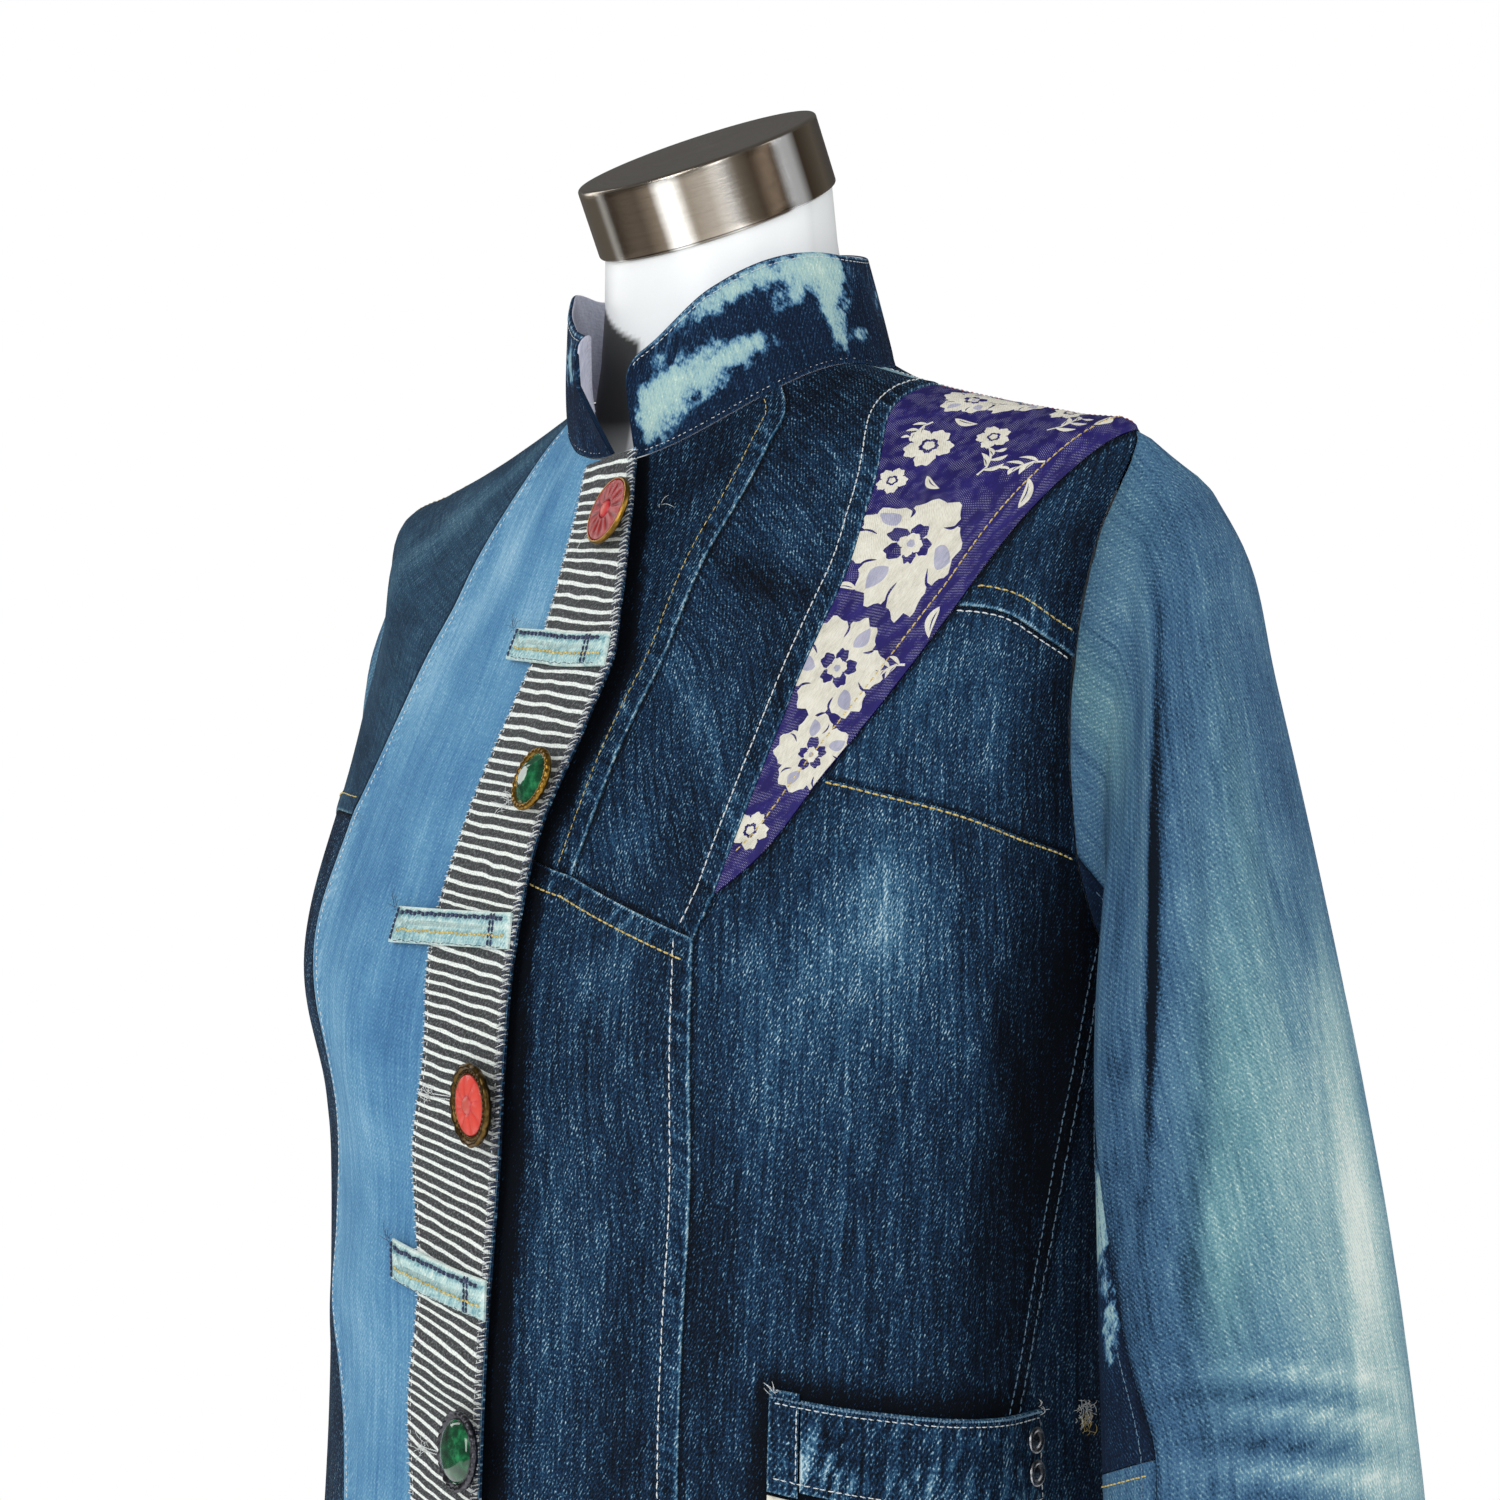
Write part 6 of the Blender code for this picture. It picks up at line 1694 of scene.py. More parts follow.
# Wear and painted shade of the sleeves: turn and row for the place, degrees and rows for the
# size; darker is painted shade of the folds and the sleeve's hidden sides
SleevePatch = namedtuple("SleevePatch", "turn row wide long lean fade dark pale")
SLEEVE_PATCHES = {
    "upper": (
        SleevePatch(4, 6.9, 26, 1.9, 0, 0.24, 0, 0.3),
        SleevePatch(-12, 6.4, 14, 1.3, -8, 0.18, 0, 0.3),
        SleevePatch(-16, 7.6, 18, 1.2, 0, 0.16, 0, 0.3),
        SleevePatch(0, 5.9, 1.8, 0.9, -16, 0.16, 0, 0),
        SleevePatch(45, 6.0, 18, 1.3, -6, 0.12, 0, 0.8),
        SleevePatch(58, 6.9, 12, 0.8, 0, 0.05, 0, 0.7),
        SleevePatch(52, 5.6, 4, 0.9, -10, 0, 0.10, 0),
        SleevePatch(26, 6.5, 20, 1.3, 0, 0.14, 0, 0.6),
        SleevePatch(66, 6.6, 5, 0.9, -12, 0, 0.14, 0),
        SleevePatch(20, 4.6, 12, 1.2, 0, 0.06, 0, 0.4),
        SleevePatch(94, 0.7, 9, 0.9, 0, 0.10, 0, 0.7),
        SleevePatch(84, 2.0, 7, 0.9, 0, 0.05, 0, 0.3),
        SleevePatch(30, 7.50, 40, 0.05, -12, 0.24, 0, 0),
        SleevePatch(30, 7.61, 40, 0.04, -12, 0, 0.20, 0),
        SleevePatch(26, 7.71, 38, 0.04, -12, 0.26, 0, 0),
        SleevePatch(30, 7.84, 38, 0.05, -12, 0, 0.26, 0),
        SleevePatch(28, 7.97, 40, 0.05, -12, 0.30, 0, 0),
        SleevePatch(32, 8.09, 36, 0.04, -12, 0, 0.16, 0),
        SleevePatch(34, 9.2, 50, 0.10, 2, 0.14, 0, 0),
        SleevePatch(34, 9.7, 50, 0.08, 2, 0.12, 0, 0),
        SleevePatch(72, 4.75, 2.8, 1.25, -12, 0, 0.60, 0),
        SleevePatch(74, 4.9, 1.8, 0.9, -12, 0, 0.30, 0),
        SleevePatch(66, 4.2, 7, 1.8, -12, 0, 0.16, 0),
        SleevePatch(78, 4.3, 3.4, 1.6, -12, 0.10, 0, 0),
        SleevePatch(53, 2.4, 3.0, 1.0, -12, 0, 0.05, 0),
        SleevePatch(96, 7.2, 16, 1.2, 0, 0, 0.13, 0),
        SleevePatch(70, 7.3, 8, 1.0, 0, 0, 0.10, 0),
        SleevePatch(60, 2.4, 3.4, 1.3, -12, 0.12, 0, 0),
        SleevePatch(98, 4.0, 9, 2.0, 0, 0, 0.10, 0),
        SleevePatch(108, 6.6, 6, 1.2, 0, 0, 0.12, 0),
        SleevePatch(26, 1.6, 16, 1.4, 0, 0, 0.07, 0),
        SleevePatch(46, 0.5, 26, 0.6, 0, 0.10, 0, 0.2),
        SleevePatch(-14, 3.4, 12, 1.0, 0, 0, 0.05, 0),
        SleevePatch(90, 9.4, 16, 1.6, 0, 0, 0.12, 0),
        SleevePatch(250, 5.0, 30, 3.0, 0, 0.14, 0, 0.5),
        SleevePatch(-80, 8.0, 30, 3.0, 0, 0.20, 0, 0.6),
        SleevePatch(-60, 2.6, 5, 2.2, 0, 0, 0.16, 0),
    ),
    "under": (
        SleevePatch(122, 6.1, 16, 0.55, 0, 0.05, 0, 1.0),
        SleevePatch(112, 6.9, 7, 0.30, 0, 0.05, 0, 0.7),
        SleevePatch(150, 6.8, 12, 0.40, 0, 0, 0, 0.8),
        SleevePatch(168, 5.0, 16, 0.9, 0, 0, 0, 0.9),
        SleevePatch(200, 6.2, 14, 0.8, 0, 0, 0, 0.9),
        SleevePatch(180, 3.0, 14, 0.8, 0, 0, 0, 0.8),
        SleevePatch(150, 9.4, 14, 0.8, 0, 0, 0, 0.9),
        SleevePatch(196, 9.0, 14, 0.8, 0, 0, 0, 0.9),
        SleevePatch(176, 10.4, 10, 0.4, 0, 0, 0, 0.7),
    ),
    "under_low": (
        SleevePatch(100, 9.4, 30, 1.2, 0, 0.14, 0, 0),
    ),
}
# Row and turn of the line beyond which the sleeve's outer side is worn pale
EDGE_WEAR = ((5.0, -12.0), (5.45, -8.5), (6.0, 0.0), (6.4, 3.5), (7.6, 8.0), (8.5, 12.0))
SLEEVE_STEP = 0.0042      # spacing of its rows
SLEEVE_COLUMN = 3.6       # and degrees between its columns
SLEEVE_DEGREE = 0.0013    # metres round the sleeve for each degree
CUFF_HEM = 0.020
MIRRORS = {"left": np.array([1, 1, 1]), "right": np.array([-1, 1, 1])}


def sleeve_metres(side):
    """How far down the sleeve each row lies, from the armhole."""
    rows = np.linspace(0, CUFF_ROW, 10 * CUFF_ROW + 1)
    return rows, distances(sleeve_point(np.full(len(rows), 40.0), rows, side))


def sleeve_grid(part, side, rows):
    """Turns and rows of the points of a sleeve's piece, row by row."""
    if part == "upper":
        start = np.full(len(rows), BACK_SEAM - 360.0)
        end = front_seam(side, rows)
    else:
        start = front_seam(side, rows)
        end = np.full(len(rows), float(BACK_SEAM))
    columns = round((end - start).max() / SLEEVE_COLUMN)
    turn = start[:, None] + (end - start)[:, None] * np.linspace(0, 1, columns + 1)
    return turn, np.broadcast_to(rows[:, None], turn.shape)


def sleeve_relief(part, u, v, edge, cuff):
    """Height of the cuff's fold, the puckers at the armhole and the sunk seams."""
    height = 0.0006 * eased((CUFF_HEM + FELL_RUN - cuff) / FELL_RUN)
    height = height * (1 + 0.4 * wobble(u, 0.0085))
    pucker = np.exp(-(v / 0.012) ** 2) * 0.0005 * wobble(u, 0.0120)
    height = height + pucker * (part == "upper") - 0.0005 * np.exp(-(v / 0.0016) ** 2)
    return height - 0.0004 * np.exp(-(edge / 0.0018) ** 2)


def sleeve_tones(kind, side, turn, row, v):
    """The wear and the painted shade of a sleeve's piece at its points."""
    row_marks, run = sleeve_metres(side)
    metre_row = run[-1] / CUFF_ROW
    scaled = [Patch(p.turn, p.row, p.wide * SLEEVE_DEGREE, p.long * metre_row, *p[4:])
              for p in SLEEVE_PATCHES[kind]]

    def gap_turn(patch):
        return ((turn - patch.angle + 180) % 360 - 180) * SLEEVE_DEGREE

    def gap_row(patch):
        return v - np.interp(patch.down, row_marks, run)

    tones = patch_tones(scaled, gap_turn, gap_row)
    if kind == "upper":
        tones[..., 0] += 0.12 * eased((row - 6.0) / 5.0)
        edge_turn = np.interp(row, *np.array(EDGE_WEAR).T)
        outside = eased((edge_turn - turn) / 4.0) * eased((turn + 120) / 40)
        tones[..., 0] += 0.15 * outside * eased((row - 4.9) / 0.9)
        tones[..., 2] += 0.2 * outside * eased((row - 4.9) / 0.9)
    return tones


def make_sleeve_piece(node, part, side, materials, first=0.0, last=float(CUFF_ROW)):
    """The upper or the under piece of a sleeve between two rows, in fine cloth."""
    row_marks, run = sleeve_metres(side)
    low, high = np.interp([first, last], row_marks, run)
    count = max(4, round((high - low) / SLEEVE_STEP))
    rows = np.interp(np.linspace(low, high, count + 1), run, row_marks)
    turn, row = sleeve_grid(part, side, rows)
    outer = sleeve_point(turn, row, side)
    normal = sleeve_normal(turn, row, side)
    around = unit(sleeve_point(turn + 1.0, row, side) - outer)
    outer[:, 0] += around[:, 0] * GAP / 2
    outer[:, -1] -= around[:, -1] * GAP / 2
    across = np.linalg.norm(np.diff(outer, axis=1), axis=2)
    u = np.concatenate([np.zeros((len(rows), 1)), np.cumsum(across, axis=1)], axis=1)
    width = u[:, -1:]
    v = np.broadcast_to(np.interp(rows, row_marks, run)[:, None], u.shape)
    edge = np.minimum(u, width - u)
    cuff = run[-1] - v
    outer = outer + normal * sleeve_relief(part, u, v, edge, cuff)[..., None]
    # the negative kind gives painted shadow in the grooves of the sunk seams
    seam = np.stack([v, edge, 0 * v - 0.45], -1)
    near_cuff = cuff < CUFF_HEM
    seam[near_cuff] = np.stack([u, cuff, 0 * u + 0.8], -1)[near_cuff]
    kind = "under_low" if node == "sleeve_left_under_low" else part
    tones = sleeve_tones(kind, side, turn, row, v)
    points = outer.reshape(-1, 3) * MIRRORS[side]
    faces = grid_faces(*turn.shape)
    fields = {"cloth": np.stack([u - width / 2, v, 0 * v], -1).reshape(-1, 3),
              "seam": seam.reshape(-1, 3), "tone": tones.reshape(-1, 3)}
    piece = shell("cloth_" + node, points, normal.reshape(-1, 3) * MIRRORS[side],
                  np.full(len(points), CLOTH), faces, [0] * len(faces), materials,
                  fields)
    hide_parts(node)
    triangles = [f[:3] for f in faces] + [(f[0], f[2], f[3]) for f in faces]
    CUTS_SEEN[node] = (width.max(), v.max() - v.min(), flat_area(points, triangles))


CURL_START = 13.0         # degrees before the centre front where the right end turns out
CURL_REACH = (-0.0055, -0.0125, 0.0)


def collar_point(angle, up, out=0.0):
    """A point of the stand collar, up metres along it from the neck seam."""
    half = (np.asarray(angle) + 180) % 360 - 180
    lap = np.where(half > COLLAR_LEFT_END - 2, 0, lap_out(half, 0 * half))
    base = body_point(angle, np.zeros(np.shape(angle)), lap)
    turn = np.radians(angle)
    axis = np.array([0, -math.sin(COLLAR_LEAN), math.cos(COLLAR_LEAN)])
    away = np.stack([np.sin(turn), -np.cos(turn) * math.cos(COLLAR_LEAN),
                     -np.cos(turn) * math.sin(COLLAR_LEAN)], -1)
    side = np.abs((np.asarray(angle) + 180) % 360 - 180)
    front = np.clip((105 - side) / 55, 0, 1)
    flare = COLLAR_PULL * front * front * (3 - 2 * front) * (up / COLLAR_HEIGHT) ** 1.3
    curl = np.clip((half + CURL_START) / (CURL_START + 1), 0, 1) ** 2 * (half < 2)
    curl = curl * (0.10 + 0.90 * np.clip(up / 0.026, 0, 1))
    turned_out = curl[..., None] * np.array(CURL_REACH)
    thick_way = np.stack([-curl, 0.35 * curl, 0 * curl], -1)
    way = unit(away + thick_way)
    out = np.asarray(out)[..., None]
    return base + axis * up[..., None] + away * flare[..., None] + way * out + turned_out


def collar_top(angles):
    """How tall the collar is at each angle, with its rounded front corners."""
    start, end, corner = COLLAR_LEFT_END, COLLAR_RIGHT_END, COLLAR_CORNER
    arc = np.minimum(angles - start, end - angles) * math.radians(1) * NECK_RADIUS
    round_off = np.clip(1 - arc / corner, 0, 1)
    low = np.clip(1 - (angles - start) / 38, 0, 1)
    top = COLLAR_HEIGHT - COLLAR_DROP * low * low * (3 - 2 * low)
    return top - corner * (1 - np.sqrt(1 - round_off ** 2))


# Bleached patches of the collar: angle and height up it, then sizes in metres
CollarPatch = namedtuple("CollarPatch", "angle up across along lean fade dark pale")
COLLAR_PATCHES = (
    CollarPatch(13, 0.014, 0.0045, 0.0105, 0, 0, 0, 1.00),
    CollarPatch(20, 0.018, 0.0085, 0.0130, 0, 0, 0, 1.05),
    CollarPatch(34, 0.021, 0.0160, 0.0085, -8, 0, 0, 1.10),
    CollarPatch(50, 0.020, 0.0110, 0.0040, -12, 0, 0, 0.90),
    CollarPatch(56, 0.0430, 0.0380, 0.0044, 0, 0, 0, 1.05),
    CollarPatch(70, 0.034, 0.0110, 0.0050, 30, 0, 0, 0.80),
    CollarPatch(84, 0.038, 0.0100, 0.0130, 0, 0, 0, 1.25),
    CollarPatch(81, 0.018, 0.0045, 0.0130, 0, 0, 0, 1.00),
    CollarPatch(92, 0.013, 0.0080, 0.0030, 0, 0, 0, 0.70),
    CollarPatch(118, 0.030, 0.0150, 0.0100, 0, 0.14, 0, 0.30),
    CollarPatch(150, 0.022, 0.0160, 0.0140, 0, 0, 0, 0.95),
    CollarPatch(188, 0.036, 0.0220, 0.0090, 0, 0, 0, 1.00),
    CollarPatch(222, 0.020, 0.0130, 0.0150, 0, 0, 0, 0.95),
    CollarPatch(262, 0.034, 0.0180, 0.0100, 0, 0, 0, 1.00),
    CollarPatch(296, 0.016, 0.0130, 0.0100, 0, 0, 0, 0.85),
    CollarPatch(330, 0.034, 0.0130, 0.0090, 0, 0, 0, 0.60),
)
COLLAR_STITCH = 0.0022    # from each edge to the stitches
COLLAR_EDGE = 0.0011      # radius of its folded top edge
COLLAR_COLUMNS = 210
COLLAR_ROWS = 17          # rows of points up each face
TURNED_FROM = 344         # from this angle on the inner face shows the outer cloth
TURNED_SHARE = 0.62       # beyond this share of the way down it


def collar_waves(angles, up):
    """Small unevenness of the collar's face."""
    arc = np.radians(angles) * NECK_RADIUS
    low = 0.0005 * wobble(arc, 0.026) * np.sin(np.pi * np.clip(up / COLLAR_HEIGHT, 0, 1))
    stitch = np.exp(-((up - COLLAR_STITCH) / 0.0012) ** 2)
    return low - 0.00035 * stitch + 0.00012 * stitch * wobble(arc, 0.0045)


def collar_angles():
    """Angles of the collar's columns, closer together at its two ends."""
    even = np.linspace(COLLAR_LEFT_END, COLLAR_RIGHT_END, COLLAR_COLUMNS + 1)
    ease = np.linspace(0, 1, 9)[1:] ** 1.5
    return np.unique(np.concatenate([even, COLLAR_LEFT_END + 9 * ease,
                                     COLLAR_RIGHT_END - 9 * ease]))


def collar_sheet(angles, top):
    """Rows of the collar's points, and how far along the cloth each point lies."""
    shares = np.linspace(0, 1, COLLAR_ROWS)
    half = COLLAR_CLOTH / 2
    rows = []
    cloth = []
    for share in shares:
        up = GAP + (top - COLLAR_EDGE - GAP) * share
        rows.append(collar_point(angles, up, collar_waves(angles, up)))
        cloth.append(up)
    for bend in np.linspace(0, math.pi, 7)[1:-1]:
        up = top - COLLAR_EDGE + COLLAR_EDGE * math.sin(bend)
        out = np.full(len(angles), -half + half * math.cos(bend))
        rows.append(collar_point(angles, up, out))
        cloth.append(top + bend * COLLAR_EDGE)
    for share in shares[::-1]:
        up = GAP + (top - COLLAR_EDGE - GAP) * share
        rows.append(collar_point(angles, up, np.full(len(angles), -COLLAR_CLOTH)))
        cloth.append(2 * top - up)
    return rows, np.array(cloth)


def collar_faces(count, angles):
    """Faces of the collar and the number of each one's material, 1 for the lining."""
    across = len(angles)
    outer_rows = COLLAR_ROWS + 3
    dark_rows = outer_rows + round(TURNED_SHARE * COLLAR_ROWS)
    faces = grid_faces(count, across)
    marks = []
    for k in range(len(faces)):
        row, column = divmod(k, across - 1)
        turned_out = row > dark_rows and angles[column] > TURNED_FROM
        marks.append(0 if row < outer_rows or turned_out else 1)
    last = (count - 1) * across
    foot = [(c, c + 1, last + c + 1, last + c) for c in range(across - 1)]
    ends = [tuple(r * across + c for r in range(count)) for c in (0, across - 1)]
    return faces + foot + ends, marks + [0] * (len(foot) + len(ends))


def make_collar(materials):
    """The stand collar as one folded band: up its outer face, over its edge and down."""
    angles = collar_angles()
    top = collar_top(angles)
    rows, v = collar_sheet(angles, top)
    faces, marks = collar_faces(len(rows), angles)
    u = np.broadcast_to(np.radians(angles) * NECK_RADIUS * 1.15, v.shape)
    grid_angle = np.broadcast_to(angles, v.shape)

    def gap_turn(patch):
        return (grid_angle - patch.angle) * math.radians(1) * NECK_RADIUS * 1.1

    tones = patch_tones(COLLAR_PATCHES, gap_turn, lambda patch: v - patch.up)
    seam = np.stack([u, np.abs(top - v), 0 * v + 1.3], -1)
    low = v < COLLAR_HEIGHT / 2
    edge = np.minimum(np.abs(top - v), np.abs(v))
    seam[low] = np.stack([u, edge, 0 * v + 0.3], -1)[low]
    fields = {"cloth": np.stack([u, -v, 0 * v], -1).reshape(-1, 3),
              "seam": seam.reshape(-1, 3), "tone": tones.reshape(-1, 3)}
    piece = add_piece("cloth_collar", np.vstack(rows), faces, materials,
                      fields, sharp=50, marks=marks)
    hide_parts("collar")
    CUTS_SEEN["collar"] = (np.ptp(u), COLLAR_HEIGHT, np.ptp(u) * COLLAR_HEIGHT)


def smooth_line(knots, step):
    """Places along a smooth line through the knots."""
    flat = flat_of(knots)
    run = distances(flat)
    rows = np.column_stack([run, np.array(knots, float)])
    count = max(2, round(run[-1] / step))
    found = smooth_rows(rows, np.linspace(0, run[-1], count + 1))
    return [tuple(p) for p in found]


def straight_line(start, end, count):
    """Places from start to end whose heights rise evenly, like a strip pulled straight."""
    heights = np.linspace(body_point(*start)[2], body_point(*end)[2], count)
    angles = np.linspace(start[0], end[0], count)
    downs = np.linspace(start[1], end[1], count)
    for _ in range(6):
        downs = downs + body_point(angles, downs)[:, 2] - heights
    return list(zip(angles.tolist(), downs.tolist()))


def patch_piece(name, loop, out, thick, materials, slot, cell, rows=False, cloth=None,
                folds=None, edge_round=0.0, tones=None, kind=0.4):
    """A flat piece sewn on the body, its edges softly rounded, in fine cloth."""
    closed = list(loop) + [loop[0]]
    flat = flat_of(loop)
    found, faces = fill_panel(flat, [(closed, 1)] if rows else [], cell)
    places = place_from(found)
    angle, down = places[:, 0], places[:, 1]
    base = body_point(angle, down)
    normal = body_normal(angle, down)
    away, along = near_line(base, body_point(*np.array(closed).T))
    height = -edge_round * np.clip(1 - away / 0.0012, 0, 1) ** 2
    if folds is not None:
        height = height + folds(angle, down, along, away)
    outer = base + normal * (out(angle, down) + height)[:, None]
    rim = edge_ring(faces)
    outer[rim] += inset_steps(outer[rim], normal[rim], GAP / 2)
    if cloth is None:
        flat_cloth = cloth_coordinates(angle, down, (angle.min() + angle.max()) / 2, 0.0)
    else:
        flat_cloth = cloth(angle, down)
    tone = np.zeros((len(angle), 3)) if tones is None else tones(angle, down)
    fields = {"cloth": np.column_stack([flat_cloth, 0 * angle]), "tone": tone,
              "seam": np.column_stack([along, away, 0 * away + kind])}
    piece = shell("cloth_" + name, outer, normal, thick + height, faces,
                  [0] * len(faces), materials, fields)
    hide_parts(name)
    CUTS_SEEN[name] = (np.ptp(flat_cloth[:, 0]), np.ptp(flat_cloth[:, 1]),
                       flat_area(outer, faces))


STRIP_OUT = PATCH_GAP + PLACKET_CLOTH
TAB_OUT = STRIP_OUT + PATCH_GAP + TAB_CLOTH
STRIP_INSET = 0.06        # degrees between the strip's edge and the front's


def strip_loop():
    """Outline of the striped strip along the right front's edge."""
    right = [(a - STRIP_INSET, d) for a, d in seam_points("right_edge")]
    right[0] = (right[0][0], PLACKET_END)
    right[-1] = (right[-1][0], JACKET_LENGTH - PLACKET_END)
    left = smooth_line(PLACKET_LEFT, SEAM_STEP)
    return right, left


# Lean of the stripes at places down the strip, in degrees
STRIPE_LEANS = ((0.0, 4), (0.03, -4), (0.06, -8), (0.12, -7), (0.22, -10), (0.32, -15),
                (0.42, -20), (0.50, -24), (0.58, -26))


def strip_cloth(angle, down):
    """Cloth coordinates of the strip: its stripes lean more lower down."""
    point = body_point(angle, down, lap_out(angle, down))
    x = point[:, 0]
    z = point[:, 2]
    leans = np.array(STRIPE_LEANS)
    steps = np.linspace(0, 0.58, 60)
    slope = np.tan(np.radians(np.interp(steps, leans[:, 0], leans[:, 1])))
    lean = np.interp(down, steps, slope)
    wave = 0.0012 * wobble(down, 0.047)
    return np.stack([x, -z + x * lean + wave], -1)


def strip_folds(angle, down, along, away):
    """Crumples of the strip's edges, and a pinch where it runs out at the neck."""
    edge = np.exp(-(away / 0.0045) ** 2)
    top = np.exp(-(down / 0.022) ** 2)
    crumple = 0.0006 * top * (1 + wobble(down + 0.0004 * angle, 0.0065))
    return crumple * np.clip(away / 0.002, 0, 1) + 0.00022 * edge * (1 + wobble(along, 0.0070))


def make_strip(materials):
    """The striped strip."""
    right, left = strip_loop()
    patch_piece("placket_stripe", closed_loop(right, left[::-1]), on_lap(STRIP_OUT),
                PLACKET_CLOTH, materials, "stripe_cotton", 0.0036, cloth=strip_cloth,
                folds=strip_folds)


def make_tab(tab, materials):
    """One belt-loop tab across the strip."""
    top = np.array(straight_line((tab.left, tab.down_left), (tab.right, tab.down_right), 25))
    bottom = top[::-1] + np.array([0, tab.height])
    side = np.linspace(0, 1, 8)[1:-1, None]
    loop = [tuple(p) for p in np.vstack([
        top, top[-1] * (1 - side) + bottom[0] * side,
        bottom, bottom[-1] * (1 - side) + top[0] * side])]

    def folds(angle, down, along, away):
        quilt = 0.00025 * np.sin(np.pi * np.clip(away / 0.0075, 0, 1))
        return quilt + 0.00012 * wobble(angle * CHEST_DEGREE + down, 0.0042)

    def tones(angle, down):
        share = (down - np.interp(angle, top[:, 0], top[:, 1])) / tab.height
        # painted shade in the grooves along the navy and the gold rows of stitches
        rows = 0.34 * np.exp(-((share - 0.19) / 0.07) ** 2)
        rows = rows + 0.10 * np.exp(-((share - 0.66) / 0.07) ** 2)
        worn = 0.12 * wobble(angle * CHEST_DEGREE + 3 * down, 0.0095)
        worn = worn + 0.16 * np.exp(-((share - 0.42) / 0.14) ** 2)
        worn = worn + 0.14 * np.exp(-((share - 0.02) / 0.06) ** 2)
        return np.stack([worn, rows, 0 * worn], -1)

    patch_piece(tab.name, loop, on_lap(TAB_OUT), TAB_CLOTH, materials, "denim_aqua", 0.0026,
                rows=True, folds=folds, edge_round=0.0007, kind=0.7, tones=tones)


def pocket_loop(first, last, shift, depth):
    """Outline of a piece of the pocket."""
    angles = np.linspace(first, last, max(3, round((last - first) / 0.9) + 1))
    downs = pocket_top(angles) + shift
    steps = max(2, round(depth / 0.003))
    top = list(zip(angles.tolist(), downs.tolist()))
    right = [(last, downs[-1] + depth * k / steps) for k in range(1, steps)]
    left = [(first, downs[0] + depth * k / steps) for k in range(1, steps)]
    bottom = [(a, d + depth) for a, d in top]
    return top + right + bottom[::-1] + left[::-1]


def band_folds(angle, down, along, away):
    """Slanting puckers of the waistband."""
    slant = angle * CHEST_DEGREE + down * 0.9
    belly = np.sin(np.pi * np.clip(away / 0.015, 0, 1))
    stitch = np.exp(-((away - 0.0035) / 0.0012) ** 2)
    return 0.0004 * belly + 0.00045 * belly * wobble(slant, 0.0085) - 0.0003 * stitch


def band_tones(angle, down):
    """Pale slanting marks worn along the band's puckers."""
    places = pocket_cloth(angle, down)
    slant = places[:, 0] + 0.30 * places[:, 1]
    share = np.clip(places[:, 1] / POCKET_BAND, 0, 1)
    marks = np.clip(wobble(slant, 0.0062) - 0.05, 0, 1)
    where = 0.45 + 0.55 * np.exp(-((share - 0.78) / 0.22) ** 2)
    left = np.exp(-((places[:, 0] + 0.052) / 0.012) ** 2)
    worn = 0.80 * marks * where * np.sin(np.pi * share) ** 0.4 + 0.12 * left * marks
    return np.stack([worn, 0.05 + 0 * worn, 0 * worn], -1)


def bag_folds(angle, down, along, away):
    """Soft hang of the pocket's bag."""
    return 0.0006 * wobble(angle * CHEST_DEGREE, 0.045) * np.clip(away / 0.02, 0, 1)


def pocket_cloth(angle, down):
    """Cloth coordinates that follow the pocket's sloping top edge."""
    step = body_point(60.5, 0.41) - body_point(59.5, 0.41)
    across = (angle - 60.0) * np.linalg.norm(step) * 1.04
    return np.stack([across, down - pocket_top(angle)], -1)


def make_pocket(materials, tape):
    """The waistband pocket: end strip, band, pale strip and bag."""
    split = POCKET_START + POCKET_LOOP
    low = POCKET_BAND + POCKET_SEAM
    shared = {"rows": True, "cloth": pocket_cloth}
    band = {"edge_round": 0.0009, "folds": band_folds, **shared}
    patch_piece("pocket_end_loop", pocket_loop(POCKET_START, split, -LOOP_PROUD,
                                               POCKET_BAND + 2 * LOOP_PROUD),
                off_body(POCKET_OUT), POCKET_CLOTH, materials, "denim_indigo", 0.003,
                kind=0.7, **band)
    patch_piece("pocket_band", pocket_loop(split + 0.15, POCKET_END, 0.0, POCKET_BAND),
                off_body(POCKET_OUT), POCKET_CLOTH, materials, "denim_indigo", 0.0034,
                kind=0.8, tones=band_tones, **band)
    patch_piece("pocket_strip", pocket_loop(POCKET_START, POCKET_END, low, POCKET_STRIP),
                off_body(TAPE_OUT), CLOTH, tape, "cream_tape", 0.0028, edge_round=0.0005,
                kind=0.2, **shared)
    patch_piece("pocket_bag", pocket_loop(POCKET_START, POCKET_END,
                                          low + POCKET_STRIP + GAP, POCKET_DEPTH - low),
                off_body(BAG_OUT), CLOTH, materials, "denim_indigo", 0.0046,
                edge_round=0.0004, folds=bag_folds, kind=0.8, **shared,
                tones=lambda a, d: np.stack([0.06 + 0 * a, 0 * a, 0 * a], -1))


def facing_frame(normal):
    """The level direction, the one up the face and the outward one of a round piece."""
    side = unit(np.cross((0, 0, 1), normal))
    return np.stack([side, np.cross(normal, side), normal])


def strip_place(angle, down, extra):
    """A point of the right front near its edge, and the outward direction there."""
    step_angle = 1.0
    step_down = 0.004
    angles = angle + step_angle * np.array([0, 1, -1, 0, 0])
    downs = down + step_down * np.array([0, 0, 0, 1, -1])
    points = body_point(angles, downs, lap_out(angles, downs) + extra)
    return points[0], unit(np.cross(points[3] - points[4], points[1] - points[2]))


